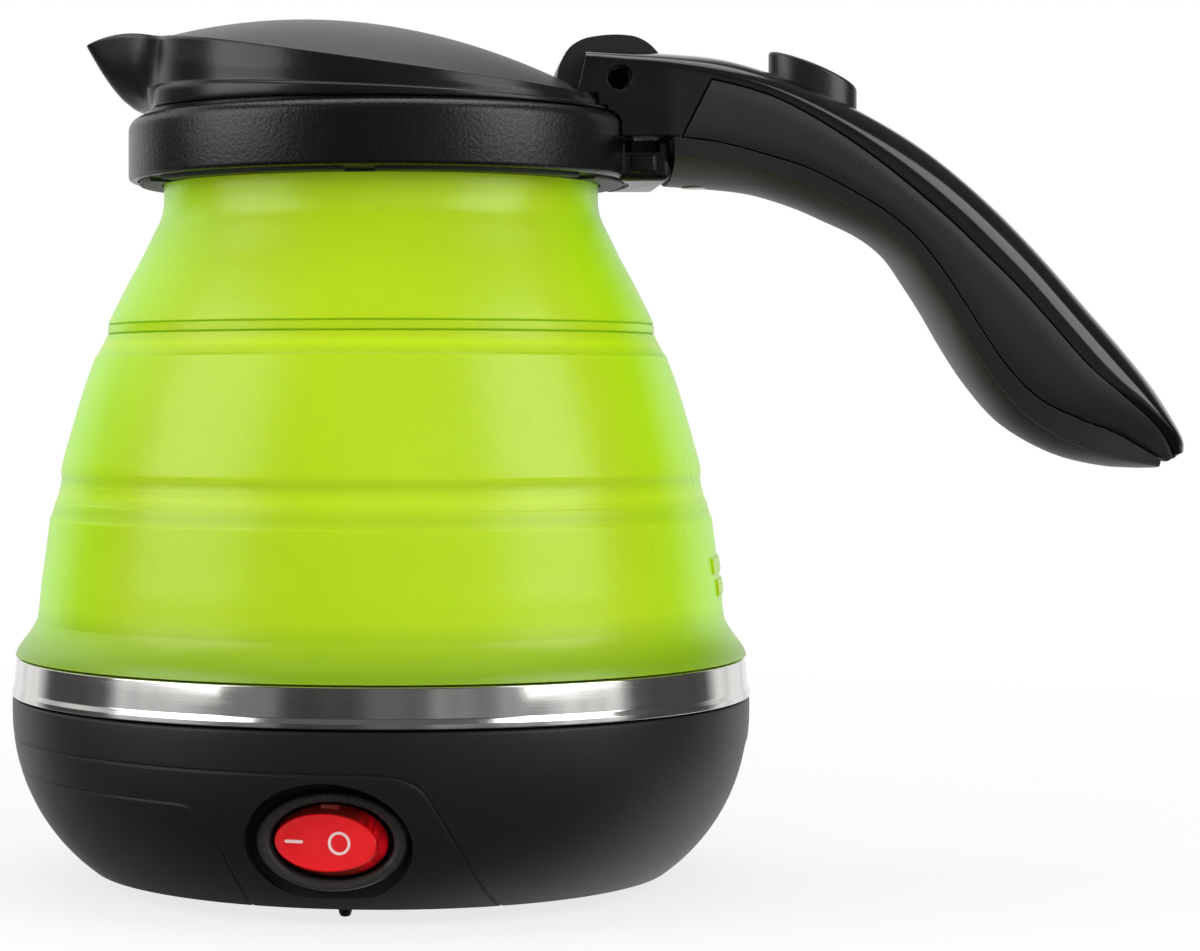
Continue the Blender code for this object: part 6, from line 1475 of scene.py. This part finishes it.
def as_space(point, y):
    return Vector((point.x, y, point.y))


def handle_ring(position):
    """The upper handle's section: an arched top from side to side, then straight sides and a flat seam."""
    width = handle_width(position)
    top = handle_point(TOP, position)
    side = handle_point(STRIP, position)
    seam = handle_point(SEAM, position)
    ring = []
    for step in range(-STRIP_ARC_STEPS, STRIP_ARC_STEPS + 1):
        turn = math.pi / 2 * step / STRIP_ARC_STEPS
        ring.append(as_space(side + (top - side) * max(0.0, math.cos(turn)) ** STRIP_CROWN, width * math.sin(turn)))
    return ring + [as_space(seam, width), as_space(seam, -width)]


def grip_spots(trim):
    """Pairs of positions on the strip line and on the seam, from a slanted front edge to the tail."""
    end = LAST_STATION - GRIP_TAIL_SHARE - trim
    between = 0.5 / bpy.context.scene.kettle_sizes.handle_substeps
    later = [position + between for position in spots(4, LAST_STATION)]
    pairs = [(position, position) for position in later if position < end - between]
    return [*GRIP_FIRST_SHARES, *pairs[1:], (end, end)]


def grip_pocket(name, side):
    """What a side grip takes out of the handle: from just under the strip down past the seam."""
    rings = []
    for on_strip, on_seam in grip_spots(0):
        upper = handle_point(STRIP, on_strip)
        lower = handle_point(SEAM, on_seam)
        upper = upper + (lower - upper).normalized() * GAP
        lower = lower + (lower - upper).normalized() * OVERRUN
        upper_in = side * (handle_width(on_strip) - GRIP_THICKNESS - GAP)
        lower_in = side * (handle_width(on_seam) - GRIP_THICKNESS - GAP)
        out = side * (HANDLE_HALF_WIDTH + OVERRUN)
        rings.append([
            as_space(upper, upper_in), as_space(upper, out), as_space(lower, out), as_space(lower, lower_in)])
    return loft(name, rings)


def build_side_grip(name, side, finish):
    """A soft panel let into the handle's side, slightly bulged."""
    rings = []
    for index, (on_strip, on_seam) in enumerate(grip_spots(GRIP_END_GAP_SHARE)):
        upper = handle_point(STRIP, on_strip)
        lower = handle_point(SEAM, on_seam)
        down = (lower - upper).normalized()
        ahead = Vector((-down.y, down.x)) * (GAP if index == 0 else 0)
        upper = upper + down * GAP * 2 + ahead
        lower = lower + ahead
        wide = side * handle_width(on_strip)
        narrow = side * handle_width(on_seam)
        inset = side * GRIP_THICKNESS
        ring = []
        for step in range(GRIP_SECTION_STEPS + 1):
            share = step / GRIP_SECTION_STEPS
            bulge = side * GRIP_BULGE * (1 - (2 * share - 1) ** 4)
            ring.append(as_space(upper.lerp(lower, share), wide + (narrow - wide) * share + bulge))
        ring += [as_space(lower, narrow - inset), as_space(upper, wide - inset)]
        rings.append(ring)
    grip = loft(name, rings, finish)
    worn(grip, "collar", "side_grips", "side_grip_near" if side < 0 else "side_grip_far")


def body_clearance():
    """The ring, the lid's edge and the collar with a little room round them."""
    side = collar_side(GAP)
    over_bead = RING_BEAD_TOP + GAP
    rim = RING_RIM + GAP
    outline = [
        (0, rim), (RING_WALL_RADIUS + GAP, rim), (RING_WALL_RADIUS + GAP, over_bead),
        (RING_BEAD_RADIUS + GAP, over_bead), (RING_BEAD_RADIUS + GAP, COLLAR_TOP + GAP), *side[1:-1],
        (side[-2][0], LUG_LOW - OVERRUN), (0, LUG_LOW - OVERRUN),
    ]
    clearance = lathe("body_clearance", outline, closed=False)
    for vertex in clearance.data.vertices:
        vertex.co.z = laid(vertex.co.x, vertex.co.z)
    return clearance


def knuckle_slot():
    """Room for the knuckle to swing, open to the lid and to the top."""
    over = HANDLE_TOP + OVERRUN
    sweep = arc_points((HINGE_X, HINGE_Z), SLOT_RADIUS, 0, -90, KNUCKLE_STEPS)
    start = LID_CHORD - OVERRUN * 2
    outline = [(start, over), (HINGE_X + SLOT_RADIUS, over), *sweep, (start, HINGE_Z - SLOT_RADIUS)]
    return prism("knuckle_slot", outline, -SLOT_HALF_WIDTH, SLOT_HALF_WIDTH)


def seal_notch():
    """Room between the ears for the seal's edge when the lid stands open."""
    end, half_width, floor = SEAL_NOTCH
    return block("seal_notch", (LID_CHORD - OVERRUN * 2, -half_width, floor), (end, half_width, HANDLE_TOP + OVERRUN))


def finger_passage():
    """The tunnel under the strip in which the button's finger moves up and down."""
    room = BUTTON_TRAVEL + GAP * 2
    front = BUTTON_X - BUTTON_HALF_LENGTH - BUTTON_CLEARANCE
    outline = [
        (FINGER_TIP - GAP * 2, STRIP_CEILING), (FINGER_BEND, STRIP_CEILING),
        (BUTTON_X, FINGER_ROOT_TOP + BUTTON_CLEARANCE), (BUTTON_X, FINGER_ROOT_LOW - room),
        (front, FINGER_ROOT_LOW - room), (FINGER_BEND - BUTTON_CLEARANCE, FINGER_LOW - room),
        (FINGER_TIP - GAP * 2, FINGER_LOW - room),
    ]
    width = FINGER_HALF_WIDTH + BUTTON_CLEARANCE
    return prism("finger_passage", outline, -width, width)


def button_hole():
    """The oval hole in the strip that guides the cap."""
    low = BUTTON_LOW - BUTTON_TRAVEL - GAP
    half_length = BUTTON_HALF_LENGTH + BUTTON_CLEARANCE
    outline = [(BUTTON_X + x, y) for x, y in oval_points(half_length, BUTTON_HALF_WIDTH + BUTTON_CLEARANCE)]
    return prism("button_hole", outline, low, HANDLE_TOP + OVERRUN, upright=False)


def build_handle_frame(finish):
    body = loft("handle_body", [handle_ring(position) for position in spots(0, LAST_STATION)], finish)
    cut(body, grip_pocket("grip_pocket_near", -1), grip_pocket("grip_pocket_far", 1))
    cut(body, body_clearance())
    cut(body, knuckle_slot(), seal_notch(), finger_passage(), button_hole())
    cut(body, pin_bore("ear_bore", HANDLE_HALF_WIDTH + OVERRUN))
    cut(body, bar("spring_well", SPRING_WELL_RADIUS, (BUTTON_X, 0, SPRING_WELL_LOW), (BUTTON_X, 0, BUTTON_LOW)))
    worn(body, "collar", "handle_frame", "handle_frame")


def shell_ring(on_seam, on_belly):
    """The lower shell's section: flat along the seam, upright to a crease, then rounded below."""
    width = handle_width(on_seam)
    seam = handle_point(SEAM, on_seam)
    belly = handle_point(BELLY, on_belly)
    crease = blended(CREASE_SHARES, on_seam)
    seam = seam + (belly - seam).normalized() * GAP
    start = math.radians(CREASE_ANGLE)
    edge = seam.lerp(belly, crease - CREASE_LIP)
    ring = [as_space(seam, -width), as_space(edge, -width)]
    for step in range(-SHELL_ARC_STEPS, SHELL_ARC_STEPS + 1):
        turn = start + (math.pi / 2 - start) * (1 - abs(step) / SHELL_ARC_STEPS)
        deep = crease + (1 - crease) * (math.sin(turn) - math.sin(start)) / (1 - math.sin(start))
        side = (width + CREASE_PROUD) * math.cos(turn) / math.cos(start)
        ring.append(as_space(seam.lerp(belly, deep), math.copysign(side, step)))
    return ring + [as_space(edge, width), as_space(seam, width)]


def build_lower_shell(finish):
    later = [(position, position) for position in spots(3, LAST_STATION - 1)]
    pairs = [*SHELL_FIRST_SHARES, *later[1:], *SHELL_LAST_SHARES]
    shell = loft("handle_shell", [shell_ring(*pair) for pair in pairs], finish)
    room = Vector((GAP, GAP, GAP))
    low = Vector((LUG_REACH - OVERRUN, -TENON_HALF_WIDTH, TENON_LOW)) - room
    high = Vector((TENON_REACH, TENON_HALF_WIDTH, HANDLE_TOP)) + room
    cut(shell, block("tenon_socket", low, high))
    worn(shell, "collar", "handle_lower_shell", "handle_lower_shell")


# Lid button

def cap_top(x):
    """Height of the cap's sloped top."""
    share = (x - BUTTON_X) / BUTTON_HALF_LENGTH
    slope = (BUTTON_FRONT_TOP + BUTTON_REAR_TOP) / 2 + (BUTTON_REAR_TOP - BUTTON_FRONT_TOP) / 2 * share
    return slope + BUTTON_CROWN * (1 - share * share)


def build_button(finish):
    """A sloped oval cap with a rounded edge and a shallow dish, and the finger that reaches the lid."""
    rows = [[(BUTTON_X + x, y, BUTTON_LOW) for x, y in oval_points(BUTTON_HALF_LENGTH, BUTTON_HALF_WIDTH)]]
    turns = [math.pi / 2 * step / BUTTON_EDGE_STEPS for step in range(BUTTON_EDGE_STEPS + 1)]
    insets = [(BUTTON_ROUND * (1 - math.cos(turn)), BUTTON_ROUND * (1 - math.sin(turn))) for turn in turns]
    insets += [(BUTTON_ROUND * share, drop) for share, drop in BUTTON_DISH]
    for inset, drop in insets:
        oval = oval_points(BUTTON_HALF_LENGTH - inset, BUTTON_HALF_WIDTH - inset)
        rows.append([(BUTTON_X + x, y, cap_top(BUTTON_X + x) - drop) for x, y in oval])
    button = loft("button_cap", rows, finish)
    front = BUTTON_X - BUTTON_HALF_LENGTH
    finger = [
        (FINGER_TIP, FINGER_LOW), (FINGER_BEND, FINGER_LOW - GAP), (front, FINGER_ROOT_LOW),
        (BUTTON_X, FINGER_ROOT_LOW), (BUTTON_X, FINGER_ROOT_TOP - GAP), (front, FINGER_ROOT_TOP),
        (FINGER_BEND, FINGER_TOP), (FINGER_TIP, FINGER_TOP)]
    joined(button, prism("finger", finger, -FINGER_HALF_WIDTH, FINGER_HALF_WIDTH))
    cut(button, bar(
        "spring_pocket", SPRING_WELL_RADIUS, (BUTTON_X, 0, BUTTON_LOW - OVERRUN),
        (BUTTON_X, 0, BUTTON_LOW + SPRING_POCKET)))
    worn(button, "button", "lid_button", "lid_button")


# Switch

def build_bezel(finish):
    """An oval bezel that swells up from the panel and slopes into the rocker's hole."""
    back = -GAP
    front = -BEZEL_THICKNESS - GAP
    across = BEZEL_HALF_LENGTH - ROCKER_HOLE_HALF_LENGTH
    up = BEZEL_HALF_HEIGHT - ROCKER_HOLE_HALF_HEIGHT
    section = [(0.0, back), *((share, front * swell) for share, swell in BEZEL_SECTION), (1.0, ROCKER_HOLE_DEPTH)]
    section += [(BEZEL_INNER_SHARE, ROCKER_HOLE_DEPTH + MM), (BEZEL_INNER_SHARE, back)]
    rings = [(BEZEL_HALF_LENGTH - across * share, BEZEL_HALF_HEIGHT - up * share, depth) for share, depth in section]
    bezel = oval_stack("switch_bezel", rings, finish, wrapped=True)
    half_length, depth, half_height = SWITCH_BODY
    body = oval_prism("switch_body", half_length, half_height, SWITCH_BODY_START, depth)
    cut(body, oval_prism(
        "body_room", ROCKER_HOLE_HALF_LENGTH, ROCKER_HOLE_HALF_HEIGHT, -OVERRUN, ROCKER_HOLE_DEPTH))
    joined(bezel, body)
    worn(on_switch_panel(bezel), "base", "switch_frame", "switch_frame")


def tilted(obj):
    """Turn a piece of the rocker about its pivot to the position of rest."""
    pivot = Matrix.Translation((0, ROCKER_PIVOT_DEPTH, 0))
    obj.data.transform(pivot @ Matrix.Rotation(math.radians(-ROCKER_REST_TILT), 4, "Z") @ pivot.inverted())
    return obj


def build_rocker(lens, mark):
    """An oval lens with a rounded edge and a slightly dished face, on its stem, and its printed marks."""
    front = -ROCKER_FACE
    rings = []
    for share in ROCKER_WALL_SHARES:
        rings.append((
            ROCKER_HALF_LENGTH + (LENS_HALF_LENGTH - ROCKER_HALF_LENGTH) * share ** ROCKER_WALL_CURVE,
            ROCKER_HALF_HEIGHT + (LENS_HALF_HEIGHT - ROCKER_HALF_HEIGHT) * share ** ROCKER_WALL_CURVE,
            front + ROCKER_DEPTH * (1 - share) + ROCKER_ROUND * share * ROCKER_WALL_RISE))
    for step in range(1, ROCKER_EDGE_STEPS + 1):
        turn = math.pi / 2 * step / ROCKER_EDGE_STEPS
        inset = ROCKER_ROUND * (1 - math.cos(turn))
        rings.append((
            LENS_HALF_LENGTH - inset, LENS_HALF_HEIGHT - inset,
            front + ROCKER_ROUND * ROCKER_EDGE_RISE * (1 - math.sin(turn))))
    for share in ROCKER_FACE_SHARES:
        rings.append((
            (LENS_HALF_LENGTH - ROCKER_ROUND) * share, (LENS_HALF_HEIGHT - ROCKER_ROUND) * share,
            front + ROCKER_DISH * (1 - share * share)))
    rocker = oval_stack("rocker_lens", rings, lens)
    stem = bar("rocker_stem", ROCKER_STEM_RADIUS, (0, front + ROCKER_DEPTH / 2, 0), (
        0, ROCKER_PIVOT_DEPTH + ROCKER_STEM_RADIUS, 0))
    joined(rocker, stem)
    worn(on_switch_panel(tilted(rocker)), "rocker", "switch_rocker", "switch_rocker")
    near, far = front - MARK_PROUD, front + MARK_DEPTH
    corners = [(side * DASH_HALF_LENGTH, up * DASH_HALF_STROKE, DASH_CORNER) for side, up in (
        (-1, 1), (1, 1), (1, -1), (-1, -1))]
    dash = prism("rocker_dash", [(x + DASH_MIDDLE, z) for x, z in filleted(corners)], near, far, mark)
    ring = oval_ring("rocker_ring", O_MIDDLE, O_RADIUS, O_HALF_STROKE, near, far, mark)
    low, high = ((TAB_SIDES[end], front + TAB_DEPTHS[end], ROCKER_HALF_HEIGHT + TAB_HEIGHTS[end]) for end in (0, 1))
    tab = block("rocker_tab", low, high, lens)
    softened(tab, TAB_ROUND, 3)
    for piece in (dash, ring, tab):
        worn(on_switch_panel(tilted(piece)), "rocker", "switch_rocker")


def oval_ring(name, middle, radius, half_stroke, near, far, finish):
    """A flat round ring, seen from the front."""
    inner, outer = radius - half_stroke, radius + half_stroke
    rows = []
    for size, depth in ((inner, far), (inner, near), (outer, near), (outer, far)):
        rows.append([(middle + x, depth, z) for x, z in oval_points(size, size, O_STEPS)])
    return loft(name, rows, finish, wrapped=True)


# Stage

def placed(name, data, place):
    """A lamp or camera set at its place in the scene."""
    obj = bpy.data.objects.new(name, data)
    obj.location = place
    bpy.context.scene.collection.objects.link(obj)
    return obj


def build_lamp(name, place, target, size, power, glossy):
    lamp = bpy.data.lights.new(name, "AREA")
    lamp.shape = "RECTANGLE"
    lamp.size, lamp.size_y = size
    lamp.energy = getattr(bpy.context.scene.kettle_light, power)
    obj = placed(name, lamp, place)
    obj.rotation_euler = (Vector(target) - Vector(place)).to_track_quat("-Z", "Y").to_euler()
    obj.visible_camera = False
    obj.visible_glossy = glossy


def build_camera():
    camera = bpy.data.cameras.new("picture_camera")
    camera.sensor_width = SENSOR_WIDTH
    camera.lens = camera.sensor_width * CAMERA_DISTANCE / FRAME_WIDTH
    camera.shift_x = (PICTURE[0] / 2 - AXIS_COLUMN) / PICTURE[0]
    camera.shift_y = (HORIZON_ROW - PICTURE[1] / 2) / PICTURE[0]
    camera.clip_start, camera.clip_end = CLIP
    obj = placed("picture_camera", camera, (0, -CAMERA_DISTANCE, CAMERA_HEIGHT))
    obj.rotation_euler = (math.pi / 2, 0, 0)
    bpy.context.scene.camera = obj


def build_floor():
    """A wide pale floor that keeps the shadow close by and fades to plain white far away."""
    colours = bpy.context.scene.kettle_colours
    bm = bmesh.new()
    bmesh.ops.create_circle(bm, cap_ends=True, segments=FLOOR_SIDES, radius=FLOOR_RADIUS)
    floor = mesh_piece("floor", bm)
    floor.location.z = FLOOR_HEIGHT
    finish = Finish("floor_card", specular=0.1)
    fine = finish.noise(90.0, detail=3.0)
    shade = finish.mix(fine, tone(colours.floor, 0.99), tone(colours.floor, 1.01))
    finish.wire(colour=shade, roughness=0.8 + fine * 0.05)
    away = finish.node("ShaderNodeVectorMath", {"operation": "LENGTH"}, {0: finish.place}, output="Value")
    seen = finish.node("ShaderNodeLightPath", output="Is Camera Ray")
    white = finish.node("ShaderNodeEmission", values={"Color": (1, 1, 1, 1), "Strength": 1.0})
    share = seen * (FLOOR_WHITE_SHARE + (1 - FLOOR_WHITE_SHARE) * away.rising(*FLOOR_FADE))
    card = Wire(finish.tree, finish.shader.outputs[0])
    blend = finish.node("ShaderNodeMixShader", values={0: share, 1: card, 2: white})
    feed(finish.tree, finish.tree.nodes["Material Output"].inputs["Surface"], blend)
    floor.data.materials.append(finish.material)
    floor.visible_glossy = False


def build_room():
    """A white room behind the kettle and a dim one in front, as in a picture box."""
    world = bpy.data.worlds.new("room")
    bpy.context.scene.world = world
    room = Nodes(world)
    place = room.node("ShaderNodeTexCoord", output="Generated")
    x, y, z = (room.part(place, axis) for axis in "XYZ")
    seen, glossy, through = (room.node("ShaderNodeLightPath", output=f"Is {kind} Ray") for kind in (
        "Camera", "Glossy", "Transmission"))
    mirrored = (glossy + through).held()
    turn = x.maths("ARCTAN2", x, -y) / (2 * math.pi) + 0.5
    stops = [(share, (level, level, level)) for share, level in ROOM_CARD_SHARES]
    cards = room.node("ShaderNodeValToRGB", {"stops": stops}, {0: turn})
    streaks = room.node("ShaderNodeTexNoise", {"noise_dimensions": "1D"}, {"W": turn, "Scale": ROOM_STREAKS})
    level_with_kettle = (2.0 - abs(z) * ROOM_BAND).held()
    ring = cards * (0.5 + streaks) * level_with_kettle
    upper = z.rising(*ROOM_HORIZON)
    over = upper * (1.0 - x.rising(*OVER_RIGHT_END)) * (1.0 - z.rising(*OVER_TOP_END))
    under = (1.0 - upper) * (UNDER_LEVEL + UNDER_RIGHT_GAIN * x.rising(*UNDER_RIGHT_START))
    behind = y.rising(*BACKDROP_START) * (1.0 - level_with_kettle) * (over + under)
    reflected = (ROOM_DARK + ring + behind * BACKDROP_LEVEL + z.rising(*CEILING_START) * CEILING_LEVEL).held()
    level = bpy.context.scene.kettle_light.room_level * (1.0 - mirrored) + reflected * mirrored
    shader = room.tree.nodes["Background"]
    feed(room.tree, shader.inputs["Strength"], seen + (1.0 - seen) * level)
    shader.inputs["Color"].default_value = (1, 1, 1, 1)


# Operators

class KETTLE_OT_base(Operator):
    """Build the black base with its seam lines, switch pocket and inlet recess, and its feet"""
    bl_idname = "kettle.base"
    bl_label = "Base"

    def execute(self, context):
        build_base(moulded_black("base_black"))
        finished_node("bottom_cover", moulded_black("cover_black"))
        finished_node("inlet_body", moulded_black("inlet_black"))
        build_feet(rubbery("foot_rubber"))
        return {"FINISHED"}


class KETTLE_OT_band(Operator):
    """Build the polished band and give the pan and its clamp ring their brushed steel"""
    bl_idname = "kettle.band"
    bl_label = "Steel Band and Pan"

    def execute(self, context):
        build_band(metal("band_steel"))
        finished_node("heating_pan", metal("pan_steel"))
        finished_node("clamp_ring", metal("clamp_steel"))
        return {"FINISHED"}


class KETTLE_OT_switch(Operator):
    """Build the oval bezel and the red rocker with its marks"""
    bl_idname = "kettle.switch"
    bl_label = "Switch"

    def execute(self, context):
        build_bezel(moulded_black("bezel_black"))
        build_rocker(lens_finish(), mark_finish())
        return {"FINISHED"}


class KETTLE_OT_silicone(Operator):
    """Build the folding silicone wall and its raised level marks"""
    bl_idname = "kettle.silicone"
    bl_label = "Silicone Body"

    def execute(self, context):
        lime = silicone_finish()
        build_silicone(lime)
        build_level_marks(lime)
        return {"FINISHED"}


class KETTLE_OT_collar(Operator):
    """Build the grained collar with its lug, and the retaining ring below it"""
    bl_idname = "kettle.collar"
    bl_label = "Collar and Retaining Ring"

    def execute(self, context):
        build_collar(moulded_black("collar_grain"))
        build_retaining_ring(moulded_black("retainer_black"))
        return {"FINISHED"}


class KETTLE_OT_spout_ring(Operator):
    """Build the ring with the pouring beak"""
    bl_idname = "kettle.spout_ring"
    bl_label = "Spout Ring"

    def execute(self, context):
        build_spout_ring(moulded_black("ring_satin"))
        return {"FINISHED"}


class KETTLE_OT_lid(Operator):
    """Build the domed lid with its knuckle and finish its inner plate, its seal and the hinge pin"""
    bl_idname = "kettle.lid"
    bl_label = "Lid"

    def execute(self, context):
        build_lid(moulded_black("lid_grain"))
        finished_node("inner_lid", metal("inner_lid_steel"))
        finished_node("lid_seal", rubbery("seal_silicone"))
        finished_node("hinge_pin", metal("pin_blackened"))
        return {"FINISHED"}


class KETTLE_OT_handle(Operator):
    """Build the handle: the glossy upper body, both soft side grips and the lower shell"""
    bl_idname = "kettle.handle"
    bl_label = "Handle"

    def execute(self, context):
        build_handle_frame(moulded_black("handle_gloss"))
        soft = moulded_black("grip_soft")
        build_side_grip("grip_near", -1, soft)
        build_side_grip("grip_far", 1, soft)
        build_lower_shell(moulded_black("shell_satin"))
        return {"FINISHED"}


class KETTLE_OT_button(Operator):
    """Build the lid's button and finish its spring"""
    bl_idname = "kettle.button"
    bl_label = "Lid Button"

    def execute(self, context):
        build_button(moulded_black("button_satin"))
        finished_node("button_spring", metal("spring_steel"))
        return {"FINISHED"}


class KETTLE_OT_works(Operator):
    """Finish the solids that stay out of sight: heater, sensors, terminals, leads and screws"""
    bl_idname = "kettle.works"
    bl_label = "Inner Works"

    def execute(self, context):
        for name, nodes in WORKS.items():
            finish = metal(name) if name in METALS else rubbery(name)
            for node in nodes:
                finished_node(node, finish)
        return {"FINISHED"}


class KETTLE_OT_stage(Operator):
    """Set the floor, the room, the lamps and the camera"""
    bl_idname = "kettle.stage"
    bl_label = "Stage"

    def execute(self, context):
        context.scene.view_settings.view_transform = "Standard"
        build_floor()
        build_room()
        for lamp in LAMPS:
            build_lamp(*lamp)
        build_camera()
        return {"FINISHED"}


class KETTLE_PT_looks(Panel):
    """Settings and build steps of the folding kettle"""
    bl_label = "Folding Kettle"
    bl_idname = "KETTLE_PT_looks"
    bl_space_type = "VIEW_3D"
    bl_region_type = "UI"
    bl_category = "Kettle"

    def draw(self, context):
        layout = self.layout
        for group in (context.scene.kettle_sizes, context.scene.kettle_colours, context.scene.kettle_light):
            column = layout.column(align=True)
            for name in group.__annotations__:
                column.prop(group, name)
        for step in STEPS:
            layout.operator(step.bl_idname)


STEPS = (
    KETTLE_OT_base, KETTLE_OT_band, KETTLE_OT_switch, KETTLE_OT_silicone, KETTLE_OT_collar, KETTLE_OT_spout_ring,
    KETTLE_OT_lid, KETTLE_OT_handle, KETTLE_OT_button, KETTLE_OT_works, KETTLE_OT_stage,
)
GROUPS = (("kettle_sizes", KettleSizes), ("kettle_colours", KettleColours), ("kettle_light", KettleLight))


def register():
    for name, group in GROUPS:
        bpy.utils.register_class(group)
        setattr(bpy.types.Scene, name, PointerProperty(type=group))
    for kind in (*STEPS, KETTLE_PT_looks):
        bpy.utils.register_class(kind)


def unregister():
    for kind in reversed((*STEPS, KETTLE_PT_looks)):
        bpy.utils.unregister_class(kind)
    for name, group in reversed(GROUPS):
        delattr(bpy.types.Scene, name)
        bpy.utils.unregister_class(group)


def main():
    register()
    for step in STEPS:
        group, action = step.bl_idname.split(".")
        getattr(getattr(bpy.ops, group), action)()


if __name__ == "__main__":
    main()
